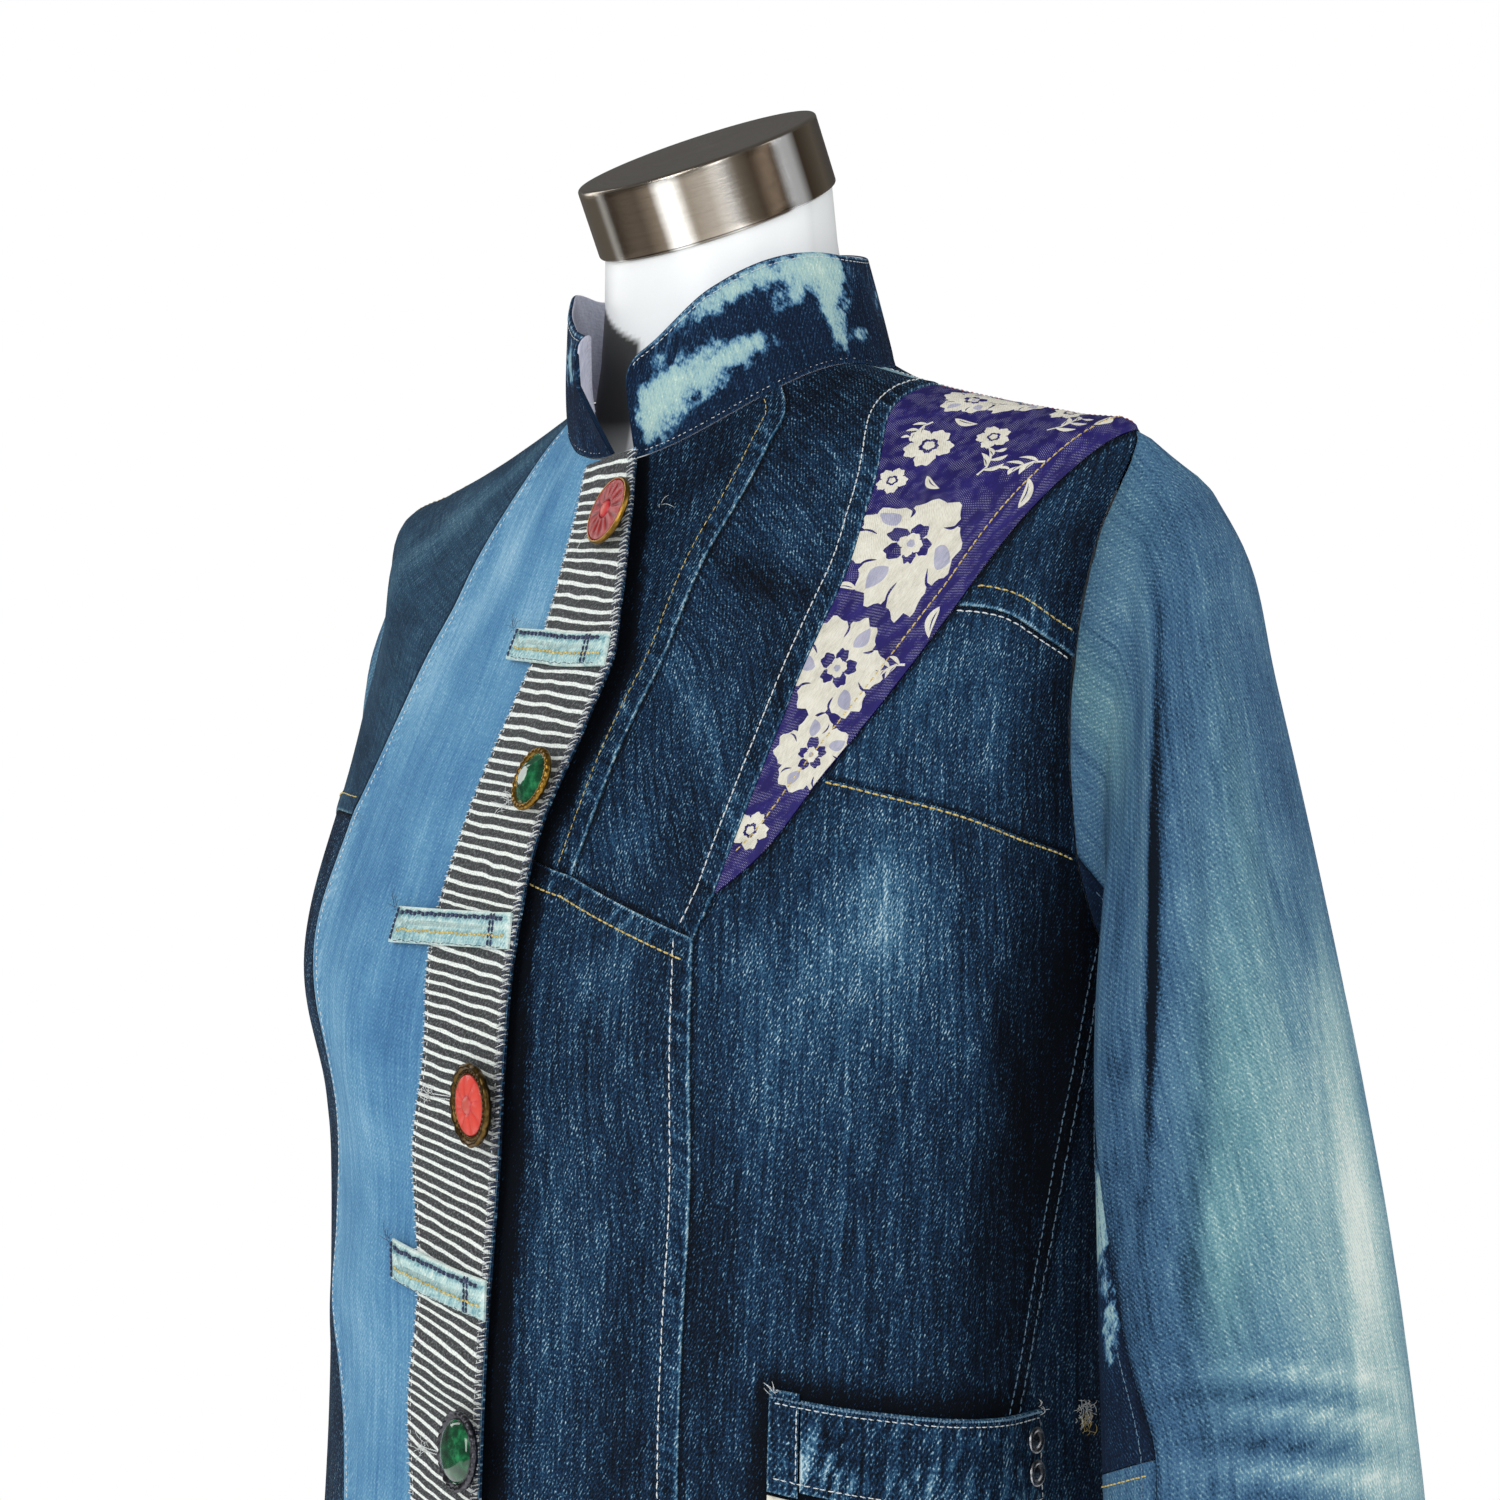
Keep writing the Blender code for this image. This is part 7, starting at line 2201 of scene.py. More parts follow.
def tube_faces(count, sides):
    """Faces of a stack of rings, closed at both ends."""
    faces = []
    for ring in range(count - 1):
        for k in range(sides):
            j = (k + 1) % sides
            faces.append((ring * sides + k, ring * sides + j,
                          (ring + 1) * sides + j, (ring + 1) * sides + k))
    faces.append(tuple(range(sides))[::-1])
    faces.append(tuple((count - 1) * sides + k for k in range(sides)))
    return faces


def ring_turns(sides):
    """The turns of a ring's points."""
    return np.arange(sides) * 2 * math.pi / sides


def polar(profile, sides):
    """Points of rings, each with a radius and a height that may change round it."""
    turn = ring_turns(sides)
    rows = []
    for radius, height in profile:
        r = 0 * turn + radius
        rows.append(np.stack([r * np.cos(turn), r * np.sin(turn), 0 * turn + height], -1))
    return rows


# Each button's face is a list of rings from its rim to its middle: radius, height from the
# button's back and number of the material, 0 for the rim's metal; t is the turn round it


def plain_rings(r, mark, rows):
    """Round rings at shares of the radius."""
    return [(r * share, high, mark) for share, high in rows]


def carved_face(r, t):
    """A carved disc with a boss, in a plain rim."""
    lobes = 12
    rings = plain_rings(r, 0, ((0.955, 0.0), (1.0, 0.0007), (1.0, 0.0017),
                               (0.965, 0.0023), (0.925, 0.0023)))
    rings += plain_rings(r, 1, ((0.905, 0.0017),))
    for share in np.linspace(0.88, 0.30, 15):
        wave = max(0.0, math.sin(math.pi * (share - 0.30) / 0.58)) ** 0.7
        lift = 0.0021 + 0.0012 * (1 - share)
        rings.append((r * share, lift + 0.00026 * wave * np.cos(lobes * t + 2.2 * share)
                      + 0.0001 * wave * np.cos(lobes * 2 * t), 1))
    return rings + plain_rings(r, 2, ((0.27, 0.0022), (0.235, 0.0030), (0.17, 0.0036),
                                      (0.09, 0.0040)))


def faceted_face(r, t):
    """A faceted stone in a roped rim."""
    ropes = 26
    rings = plain_rings(r, 0, ((0.93, 0.0), (0.99, 0.0008)))
    for share, high in ((1.0, 0.0015), (0.975, 0.0023), (0.93, 0.0028), (0.88, 0.0029),
                        (0.83, 0.0026), (0.79, 0.0019)):
        twist = np.cos(ropes * t + 9 * share)
        rings.append((r * (share + 0.010 * twist), high + 0.0002 * twist, 0))
    for share in np.linspace(0.78, 0.08, 18):
        rings.append((r * share, facet_height(share / 0.78, t), 1))
    return rings


def scalloped_face(r, t):
    """A carved disc with a boss, in a scalloped rim."""
    lobes = 16
    scallop = np.abs(np.cos(lobes / 2 * t))
    rings = []
    for share, high in ((0.94, 0.0), (0.985, 0.0008), (1.0, 0.0016), (0.985, 0.0024),
                        (0.95, 0.0029), (0.91, 0.0030), (0.87, 0.0027)):
        rings.append((r * (share - 0.035 + 0.035 * scallop),
                      high + 0.0003 * scallop * (high > 0), 0))
    for share, high in ((0.83, 0.0022), (0.79, 0.0026), (0.75, 0.0026), (0.72, 0.0020)):
        rings.append((r * share, high + 0.0002 * np.cos(40 * t), 0))
    for share in np.linspace(0.70, 0.24, 14):
        wave = max(0.0, math.sin(math.pi * (share - 0.24) / 0.46)) ** 0.6
        lift = 0.0024 + 0.0014 * (1 - share)
        carving = 0.0007 * wave * np.abs(np.cos(4 * t + 1.2 * share))
        rings.append((r * share, lift + carving - 0.0002, 1))
    return rings + plain_rings(r, 2, ((0.215, 0.0031), (0.18, 0.0038), (0.12, 0.0042),
                                      (0.06, 0.0044)))


def beaded_face(r, t):
    """A domed stone in a beaded rim."""
    beads = 26
    rings = []
    for share, high in ((0.93, 0.0), (0.985, 0.0009), (1.0, 0.0018), (0.975, 0.0027),
                        (0.93, 0.0031), (0.885, 0.0029), (0.85, 0.0021)):
        rings.append((r * (share + 0.012 * np.cos(beads * t)),
                      high * (0.80 + 0.20 * np.abs(np.cos(beads / 2 * t))), 0))
    rings += plain_rings(r, 0, ((0.82, 0.0018), (0.79, 0.0024)))
    for share in np.linspace(0.77, 0.05, 16):
        dome = 0.0034 * math.sqrt(max(0, 1 - (share / 0.77) ** 2))
        rings.append((r * share, 0.0022 + dome, 1))
    return rings


def facet_height(share, turn):
    """Height of a stone cut with two rows of flat faces and a flat top."""
    reach = 0.0101
    height = 0.0056
    for count, tilt, at_rim, start in ((10, 0.62, 0.0018, 0.0),
                                       (10, 0.30, 0.0036, math.pi / 10)):
        step = 2 * math.pi / count
        off = (turn - start + step / 2) % step - step / 2
        plane = at_rim + tilt * reach * (1 - share * np.cos(off))
        height = np.minimum(height, plane)
    return height


BUTTON_RISE = 0.0040      # from the strip to the button's back
BUTTON_SIDES = 120
BUTTON_FACES = {"carved": carved_face, "faceted": faceted_face,
                "scalloped": scalloped_face, "beaded": beaded_face}


def make_button(button, materials):
    """A button on its shank, with a patterned face."""
    sides = BUTTON_SIDES
    rings = BUTTON_FACES[button.make](button.radius, ring_turns(sides))
    profile = [(SHANK_RADIUS, 0.0), (SHANK_RADIUS, BUTTON_RISE)]
    profile += [(radius, BUTTON_RISE + height) for radius, height, _ in rings]
    marks = [0] + [mark for _, _, mark in rings]
    rows = polar(profile, sides)
    centre, axis = strip_place(button.angle, button.down, STRIP_OUT + BUTTON_GAP)
    x, y, z = axis
    c = math.cos(BUTTON_TURN)
    s = math.sin(BUTTON_TURN)
    facing = facing_frame(np.array([c * x - s * y, s * x + c * y, z]))
    placed = [row @ facing + centre for row in rows]
    placed[0] = rows[0] @ facing_frame(axis) + centre
    faces = tube_faces(len(rows), sides)
    face_marks = [marks[k // sides] for k in range((len(rows) - 1) * sides)]
    face_marks += [0, marks[-1]]
    low = np.concatenate([row[:, 2] for row in rows])
    radius = np.concatenate([np.hypot(row[:, 0], row[:, 1]) for row in rows])
    body = 0.0021 + 0.0014 * (1 - radius / button.radius) + BUTTON_RISE
    hollow = np.clip(0.5 + (low - body) / 0.0011, 0, 1)
    fields = {"cloth": np.stack([hollow, radius, 0 * low], -1)}
    piece = add_piece(button.name + "_detail", np.vstack(placed), faces, materials,
                      fields, sharp=38, marks=face_marks)
    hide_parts(button.name)


def make_rivet(number, angle, down, material):
    """A small domed rivet with a sunk ring."""
    sides = 40
    profile = [(0.0046, 0.0), (0.0050, 0.0003), (0.0050, 0.0008), (0.0046, 0.0013),
               (0.0040, 0.0015), (0.0034, 0.0012), (0.0028, 0.0011), (0.0022, 0.0015),
               (0.0014, 0.0019), (0.0006, 0.0021)]
    rows = polar(profile, sides)
    centre = body_point(angle, down, 2 * PATCH_GAP + POCKET_CLOTH)
    facing = facing_frame(body_normal(angle, down))
    placed = [row @ facing + centre for row in rows]
    name = "pocket_rivet_" + str(number)
    count = len(rows) * sides
    piece = add_piece(name + "_detail", np.vstack(placed), tube_faces(len(rows), sides),
                      [material], {"cloth": np.zeros((count, 3))}, sharp=60)
    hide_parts(name)


FORM_SIDES = 120
FORM_STEPS = 76
NECK_STEPS = 40
NECK_START = NECK_RINGS[0][0]
TORSO_TOP = 0.006
NECK_SHADE_TURN = -2.0    # the collar's shadow on the neck ends at this turn
NECK_SHADE_TOP = 0.60     # and at this share of the neck's height
NECK_SEAM = 89.0          # turn of the faint seam up the neck


def form_point(angles, down):
    """Points of the form under the jacket, nearest to the cloth along the shoulders."""
    side = np.abs((angles + 180) % 360 - 180)
    along = np.exp(-((down - SHOULDER_DOWN) / SHOULDER_LONG) ** 4)
    near = along * np.exp(-((side - SHOULDER_ANGLE) / SHOULDER_WIDE) ** 2)
    inset = CLOTH + CLEAR + (REST - CLEAR) * near
    return body_point(angles, np.full(len(angles), down), -inset)


def tilted_axis(tilt):
    """The direction up the neck at a forward tilt."""
    return np.array([0, -math.sin(tilt), math.cos(tilt)])


def tilted_ring(centre, radius, tilt, turn):
    """Points of a circle whose plane tilts forward; turn 0 is at the front."""
    forward = np.array([0, -math.cos(tilt), -math.sin(tilt)])
    left = np.array([1.0, 0, 0])
    return centre + radius * (np.outer(np.cos(turn), forward) + np.outer(np.sin(turn), left))


def neck_shade(share, wide):
    """The collar's shadow on the neck, the neck's seam and its dim side at one height."""
    low = eased((NECK_SHADE_TOP - share - 0.0040 * (wide - NECK_SHADE_TURN)) / 0.03)
    shade = 0.97 * low * eased((NECK_SHADE_TURN - wide) / 3.5) * eased((wide + 70) / 20)
    shade = shade + 0.10 * np.exp(-((wide - NECK_SEAM) / 2.2) ** 2)
    return shade + 0.05 * eased((wide - NECK_SEAM) / 3) * eased((180 - wide) / 20)


def make_form(material):
    """The white form: a whole torso under the jacket with its neck."""
    angles = np.arange(FORM_SIDES) * 360.0 / FORM_SIDES
    rings = []
    low = form_point(angles, JACKET_LENGTH)
    for height, share in FORM_FOOT:
        ring = low * np.array([share, share, 0])
        ring[:, 2] = FORM_BOTTOM + height
        rings.append(ring)
    for down in np.linspace(JACKET_LENGTH, TORSO_TOP, FORM_STEPS):
        rings.append(form_point(angles, down))
    turn = np.radians(angles)
    foot = np.array(NECK_FOOT)
    head = np.array(CAP_CENTRE) - GAP * tilted_axis(CAP_TILT)
    marks = np.array(NECK_RINGS)
    shares = np.linspace(NECK_START, 1.0, NECK_STEPS)
    for share in shares:
        radius = np.interp(share, marks[:, 0], marks[:, 1])
        centre = foot * (1 - share) + head * share
        tilt = COLLAR_LEAN + (CAP_TILT - COLLAR_LEAN) * share
        rings.append(tilted_ring(centre, radius, tilt, turn))
    grid = np.vstack(rings)
    shade = np.zeros((len(rings), FORM_SIDES))
    for row, share in enumerate(shares, len(rings) - NECK_STEPS):
        shade[row] = neck_shade(share, (angles + 180) % 360 - 180)
    shade = shade.reshape(-1)
    tone = np.stack([shade, 0 * shade, 0 * shade], -1)
    piece = add_piece("form_shell", grid, tube_faces(len(rings), FORM_SIDES), [material],
                      {"tone": tone}, sharp=50)
    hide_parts("form_torso")


def make_cap(material):
    """The brushed cap on the neck, with a fine bevel."""
    sides = 160
    turn = ring_turns(sides)
    axis = tilted_axis(CAP_TILT)
    rows = []
    shape = [(CAP_RADIUS - CAP_EDGE, 0.0)]
    shape += [(CAP_RADIUS - CAP_EDGE * (1 - math.sin(k * math.pi / 8)),
               CAP_EDGE * (1 - math.cos(k * math.pi / 8))) for k in range(1, 5)]
    shape += [(CAP_RADIUS, CAP_HEIGHT * k / 8) for k in range(1, 8)]
    shape += [(CAP_RADIUS - CAP_EDGE * (1 - math.cos(k * math.pi / 8)),
               CAP_HEIGHT - CAP_EDGE * (1 - math.sin(k * math.pi / 8))) for k in range(5)]
    shape += [(CAP_RADIUS * k / 7, CAP_HEIGHT) for k in (6, 5, 4, 3, 2, 1)]
    fields = []
    for radius, height in shape:
        rows.append(tilted_ring(np.array(CAP_CENTRE) + axis * height, radius, CAP_TILT, turn))
        wrapped = (turn + math.pi) % (2 * math.pi) - math.pi
        fields.append(np.stack([wrapped * (radius > 0.9 * CAP_RADIUS),
                                height + (CAP_RADIUS - radius) + 0 * turn,
                                np.sin(turn)], -1))
    piece = add_piece("cap_detail", np.vstack(rows), tube_faces(len(rows), sides), [material],
                      {"cloth": np.vstack(fields)}, sharp=50)
    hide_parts("neck_cap")


def make_stand(material):
    """The base, hub and pole with fine rounded edges."""
    rounds = [(math.sin(k * math.pi / 10), math.cos(k * math.pi / 10)) for k in range(6)]
    bevel = 0.004
    base = [(BASE_RADIUS, 0.0)]
    base += [(BASE_RADIUS - bevel * (1 - c), BASE_HEIGHT - bevel * (1 - s))
             for s, c in rounds]
    base += [(BASE_RADIUS * k / 6, BASE_HEIGHT) for k in (5, 4, 3, 2, 1)]
    soft = 0.008
    hub = [(HUB_RADIUS, BASE_HEIGHT + GAP)]
    hub += [(HUB_RADIUS - soft * (1 - c), HUB_HEIGHT - soft * (1 - s)) for s, c in rounds]
    pole = [(POLE_RADIUS, HUB_HEIGHT + GAP), (POLE_RADIUS, FORM_BOTTOM - GAP)]
    for node, shape, sides in (("stand_base", base, 160), ("stand_hub", hub, 80),
                               ("stand_pole", pole, 64)):
        grid = np.vstack(polar(shape, sides))
        piece = add_piece(node + "_detail", grid, tube_faces(len(shape), sides), [material],
                          {"cloth": np.zeros((len(grid), 3))}, sharp=35)
        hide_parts(node)


def on_panel(name, places, extra=0.0):
    """Points on a panel's outer face at some places, and the outward directions there."""
    angle, down = np.asarray(places, float).T
    normal = body_normal(angle, down)
    lift = panel_lift(name, places) + extra
    return body_point(angle, down) + normal * lift[:, None], normal


def stitch_runs(piece, seam, start, end, inset):
    """Runs of places inset metres inside a piece, along one of its seams."""
    line = np.array(seam_points(seam, start, end))
    step = (beside(line, np.full(len(line), MILLIMETRE)) - line) / MILLIMETRE
    rim = flat_of(PANELS[piece].loop)
    best = np.zeros(len(line), bool)
    chosen = line
    for sign in (1, -1):
        moved = line + sign * inset * step
        flat = flat_of(moved)
        away, _ = near_line(flat, rim, closed=True)
        good = inside(flat, rim) & (away > min(0.6 * inset, 0.0016))
        if good.sum() > best.sum():
            best = good
            chosen = moved
    runs = []
    for k in range(len(chosen)):
        if best[k] and k and best[k - 1]:
            runs[-1].append(chosen[k])
        elif best[k]:
            runs.append([chosen[k]])
    return [np.array(run) for run in runs if len(run) > 2]


def along_line(points, run):
    """Points at some distances along a line of points."""
    marks = distances(points)
    return np.stack([np.interp(run, marks, points[:, k]) for k in range(points.shape[1])],
                    -1), marks[-1]


STITCH_RINGS = 5
STITCH_SIDES = 5
THREAD_END = 0.55         # a thread's thickness at its ends, as a share of its middle's


def strand_mesh(name, paths, ups, radius, material):
    """Short round threads: paths and up directions as (thread, step, xyz) arrays."""
    count, steps, _ = paths.shape
    tangent = unit(np.gradient(paths, axis=1))
    side = unit(np.cross(tangent, ups))
    up = np.cross(side, tangent)
    share = np.linspace(0, 1, steps)
    round_off = THREAD_END + (1 - THREAD_END) * np.sin(np.pi * share) ** 0.5
    size = np.asarray(radius)[:, None] * round_off
    turn = ring_turns(STITCH_SIDES)
    ring = np.cos(turn)[:, None] * side[:, :, None] + np.sin(turn)[:, None] * up[:, :, None]
    points = paths[:, :, None] + size[..., None, None] * ring
    far = np.concatenate([np.zeros((count, 1)), np.cumsum(
        np.linalg.norm(np.diff(paths, axis=1), axis=2), axis=1)], axis=1)
    far = far + np.arange(count)[:, None] * 0.0031
    cloth = np.stack(np.broadcast_arrays(far[..., None], turn / (2 * math.pi), 0.0), -1)
    block = steps * STITCH_SIDES
    faces = []
    for k in range(steps - 1):
        for i in range(STITCH_SIDES):
            j = (i + 1) % STITCH_SIDES
            faces.append((k * STITCH_SIDES + i, k * STITCH_SIDES + j,
                          (k + 1) * STITCH_SIDES + j, (k + 1) * STITCH_SIDES + i))
    quads = np.array(faces)[None] + np.arange(count)[:, None, None] * block
    ends = np.array([list(range(STITCH_SIDES))[::-1],
                     [block - STITCH_SIDES + i for i in range(STITCH_SIDES)]])
    ends = ends[None] + np.arange(count)[:, None, None] * block
    every = quads.reshape(-1, 4).tolist() + ends.reshape(-1, STITCH_SIDES).tolist()
    mesh = bpy.data.meshes.new(name)
    mesh.from_pydata(points.reshape(-1, 3).tolist(), [], every)
    mesh.shade_smooth()
    write_fields(mesh, cloth=cloth.reshape(-1, 3))
    mesh.materials.append(material)
    piece = linked(name, mesh)
    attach(piece, "root")


class Threads:
    """Threads gathered by colour, each a bowed path over the cloth."""

    def __init__(self):
        self.paths = {}
        self.random = np.random.default_rng(7)

    def keep(self, colour, paths, ups, radius):
        """Add some threads of a colour."""
        self.paths.setdefault(colour, []).append((paths, ups, radius))

    def stitch(self, colour, points, normals, long, gap, thick, uneven=0.16):
        """A row of stitches along a line of points."""
        _, total = along_line(points, np.zeros(1))
        count = int(total / (long + gap))
        if count < 1:
            return
        pitch = total / count
        size = self.random.normal(0, uneven, (count, 2))
        start = np.arange(count) * pitch + gap / 2 + size[:, 0] * gap
        length = (pitch - gap) * (1 - np.abs(size[:, 1]) * 0.4)
        share = np.linspace(0, 1, STITCH_RINGS)
        run = start[:, None] + length[:, None] * share
        path, _ = along_line(points, run.ravel())
        up, _ = along_line(normals, run.ravel())
        path = path.reshape(count, STITCH_RINGS, 3)
        up = unit(up).reshape(count, STITCH_RINGS, 3)
        bow = thick * (0.62 * np.sin(np.pi * share) ** 0.7 - 0.30)
        sway = np.cross(unit(np.gradient(path, axis=1)), up)
        lean = self.random.normal(0, 0.00010, (count, 1, 1))
        path = path + up * bow[None, :, None] + sway * lean * (share - 0.5)[None, :, None] * 2
        self.keep(colour, path, up, np.full(count, thick / 2))

    def build(self, looks):
        """Join each colour's threads into one piece."""
        for colour, groups in self.paths.items():
            by_steps = {}
            for paths, ups, radius in groups:
                by_steps.setdefault(paths.shape[1], []).append((paths, ups, radius))
            for steps, parts in by_steps.items():
                name = "threads_" + colour + "_" + str(steps)
                strand_mesh(name, *(np.concatenate([part[k] for part in parts])
                                    for k in range(3)), looks[colour])


# A row of stitches inside a piece, along one of its seams; lengths in millimetres
Sewn = namedtuple("Sewn", "piece seam inset colour long gap thick start end",
                  defaults=(None, None))
SEWN = (
    Sewn("front_left_centre_upper", "band", 8.2, "gold", 2.7, 0.7, 0.42),
    Sewn("front_left_centre_lower", "diagonal_front", 8.9, "gold", 2.9, 0.3, 0.80),
    Sewn("front_left_centre_lower", "diagonal", 8.9, "gold", 2.9, 0.3, 0.80),
    Sewn("front_left_centre_lower", "lower", 7.9, "white", 3.0, 0.5, 0.62),
    Sewn("front_left_side_upper", "princess", 7.8, "white", 2.7, 0.5, 0.60),
    Sewn("front_left_side_upper", "princess_low", 7.8, "white", 2.7, 0.5, 0.60),
    Sewn("front_left_side_lower", "chest", 1.4, "gold", 2.7, 0.3, 0.80),
    Sewn("front_left_shoulder", "welt", 8.3, "gold", 2.6, 0.4, 0.70),
    Sewn("front_left_chest", "welt", 2.0, "white", 2.6, 0.4, 0.60),
    Sewn("applique_floral", "applique_edge", 8.6, "gold", 2.8, 0.5, 0.62),
    Sewn("applique_floral", "applique_low", 8.6, "gold", 2.8, 0.5, 0.62),
    Sewn("applique_floral", "shoulder", 1.6, "red_thread", 2.0, 0.5, 0.45,
         "princess_shoulder", "shoulder_tip_left"),
    Sewn("front_right_centre", "light_blue", 4.4, "white", 2.0, 1.0, 0.45),
    Sewn("front_right_centre", "light_blue_low", 4.4, "white", 2.0, 1.0, 0.45),
    Sewn("front_right_yoke", "right_yoke", 7.8, "gold", 2.7, 0.5, 0.62),
    Sewn("front_right_yoke", "shoulder_right", 6.2, "gold", 2.7, 0.5, 0.60),
    Sewn("front_left_side_lower", "side_left", 1.8, "blue", 2.8, 0.5, 0.50),
    Sewn("front_left_side_lower", "side_left", 7.8, "blue", 2.8, 0.5, 0.50),
    Sewn("front_right_side", "side_right", 1.8, "gold", 2.8, 0.5, 0.55),
    Sewn("front_right_side", "side_right", 7.8, "gold", 2.8, 0.5, 0.55),
    Sewn("back_shoulder_strip", "strip", 3.6, "white", 2.4, 0.5, 0.50),
    *(Sewn(piece, seam, inset, "gold", 2.7, 0.5, 0.60)
      for piece, seam in (("back_yoke", "yoke_left"), ("back_yoke", "yoke_back"),
                          ("back_yoke", "yoke_right"), ("back_left", "back_left"),
                          ("back_right", "back_right"))
      for inset in (1.8, 7.8)),
    *(Sewn(piece, seam, 11.4, "white", 2.8, 0.5, 0.58, start, end)
      for piece, seam, start, end in HEMS),
)


def sew_panels(threads):
    """The rows of stitches along the panels' seams."""
    for row in SEWN:
        for run in stitch_runs(row.piece, row.seam, row.start, row.end,
                               row.inset * MILLIMETRE):
            points, normals = on_panel(row.piece, run)
            threads.stitch(row.colour, points, normals, row.long * MILLIMETRE,
                           row.gap * MILLIMETRE, row.thick * MILLIMETRE)


def sew_line(threads, colour, places, out, long, gap, thick):
    """Stitches along places of the body that lie out metres from it; the rest in mm."""
    angle, down = np.asarray(places, float).T
    normals = body_normal(angle, down)
    points = body_point(angle, down) + normals * (out + 0 * angle)[:, None]
    threads.stitch(colour, points, normals, long * MILLIMETRE, gap * MILLIMETRE,
                   thick * MILLIMETRE)


def sew_strip(threads):
    """Fine stitches inside the strip's edges, and loops of thread over them."""
    right, left = strip_loop()
    for places, turn in ((np.array(right), 1), (np.array(left), -1)):
        inner = places - np.array([turn * 0.55, 0])
        out = lap_out(*inner.T) + STRIP_OUT
        sew_line(threads, "white", inner, out, 2.1, 0.5, 0.46)
        loop_edge(threads, places, turn)


LOOP_STEP = 0.0021        # between the loops of thread over the strip's edges
# How far the loops reach inward and drop, and their radius, at the right and the left edge
LOOP_SIZES = {1: (0.0030, 0.0009, 0.00024), -1: (0.0014, 0.0004, 0.00017)}


def loop_edge(threads, places, turn):
    """Loops of thread over an edge of the strip; turn is 1 at its right edge, else -1."""
    inward, drop, radius = LOOP_SIZES[turn]
    angle, down = places.T
    normals = body_normal(angle, down)
    out = lap_out(angle, down) + STRIP_OUT + 0.0001
    line = body_point(angle, down) + normals * out[:, None]
    _, total = along_line(line, np.zeros(1))
    count = int(total / LOOP_STEP)
    spots = (np.arange(count) + 0.5 + threads.random.normal(0, 0.2, count)) * LOOP_STEP
    spots = np.clip(spots, 0, total)
    base, _ = along_line(line, spots)
    up = unit(along_line(normals, spots)[0])
    along = unit(along_line(unit(np.gradient(line, axis=0)), spots)[0])
    outward = unit(np.cross(along, up))
    middle = along_line(body_point(angle - turn * 2.0, down), spots)[0]
    outward = outward * np.sign((outward * (base - middle)).sum(1))[:, None]
    reach = (0.0007 + 0.0009 * threads.random.random(count))[:, None]
    lean = along * threads.random.normal(0, 0.0004, count)[:, None]
    path = np.stack([base - outward * inward + up * 0.00005,
                     base - outward * 0.0004 + up * 0.0003 + lean * 0.4,
                     base + outward * reach * 0.7 + up * 0.0001 + lean,
                     base + outward * reach - up * drop * 0.7 + lean,
                     base + outward * reach * 0.4 - up * drop + lean * 1.2], 1)
    thick = np.full(count, radius)
    ups = np.repeat(up[:, None], 5, 1)
    threads.keep("white", path, ups, thick)
    if turn > 0:
        threads.keep("navy", path + (along * 0.0009)[:, None], ups, thick)


FRAY_RADIUS = 0.00011


def fray(threads, colour, angle, down, out, count, reach, spread, seed, pull=(0, 0)):
    """A tuft of loose threads standing from one place of the body."""
    random = np.random.default_rng(seed)
    normal = body_normal(np.array([angle]), np.array([down]))[0]
    base = body_point(np.array([angle]), np.array([down]))[0] + normal * out
    across = unit(np.cross((0, 0, 1), normal))
    upward = np.cross(normal, across)
    start = base + (random.normal(0, spread, (count, 1)) * across
                    + random.normal(0, spread, (count, 1)) * upward)
    turn = random.uniform(0, 2 * math.pi, (count, 1))
    away = (np.cos(turn) + pull[0]) * across + (np.sin(turn) + pull[1]) * upward
    long = reach * (0.5 + random.random((count, 1)))
    curl = random.normal(0, 0.35, (count, 1))
    side = np.cross(np.broadcast_to(normal, away.shape), away)
    share = np.linspace(0, 1, 7)[None, :, None]
    lift = normal * (0.0004 + 0.0011 * np.sin(np.pi * share * 0.9))
    path = (start[:, None] + away[:, None] * (long[:, None] * share)
            + side[:, None] * (curl * long)[:, None] * share ** 2 + lift)
    ups = np.broadcast_to(normal, path.shape)
    threads.keep(colour, path, ups, np.full(count, FRAY_RADIUS))


def sew_tabs(threads):
    """Yellow and navy rows on the tabs."""
    for tab in TABS:
        top = np.array(straight_line((tab.left, tab.down_left),
                                     (tab.right, tab.down_right), 40))
        for share, colour, thick in ((0.16, "navy", 1.20), (0.21, "navy", 0.90),
                                     (0.66, "gold", 1.05), (0.95, "navy", 0.30)):
            line = top + np.array([0, tab.height * share])
            line[:, 1] += 0.0004 * wobble(line[:, 0] * CHEST_DEGREE, 0.007)
            line = line[2:-2] if colour == "navy" else line[2:-1]
            out = lap_out(line[:, 0], line[:, 1]) + TAB_OUT + 0.00022
            sew_line(threads, colour, line, out, 2.3, 0.4, thick)
        for end in (1, -6, -7):
            share = np.linspace(0.06, 0.94, 12)[:, None]
            line = top[end] + share * np.array([0, tab.height])
            out = lap_out(line[:, 0], line[:, 1]) + TAB_OUT + 0.00018
            sew_line(threads, "navy", line, out, 2.1, 0.1, 1.05)
        fray(threads, "navy", tab.left, tab.down_left + 0.1 * tab.height,
             float(lap_out(np.array(tab.left), np.array(tab.down_left))) + TAB_OUT, 7,
             0.0035, 0.0008, 31, pull=(-0.7, 0.5))


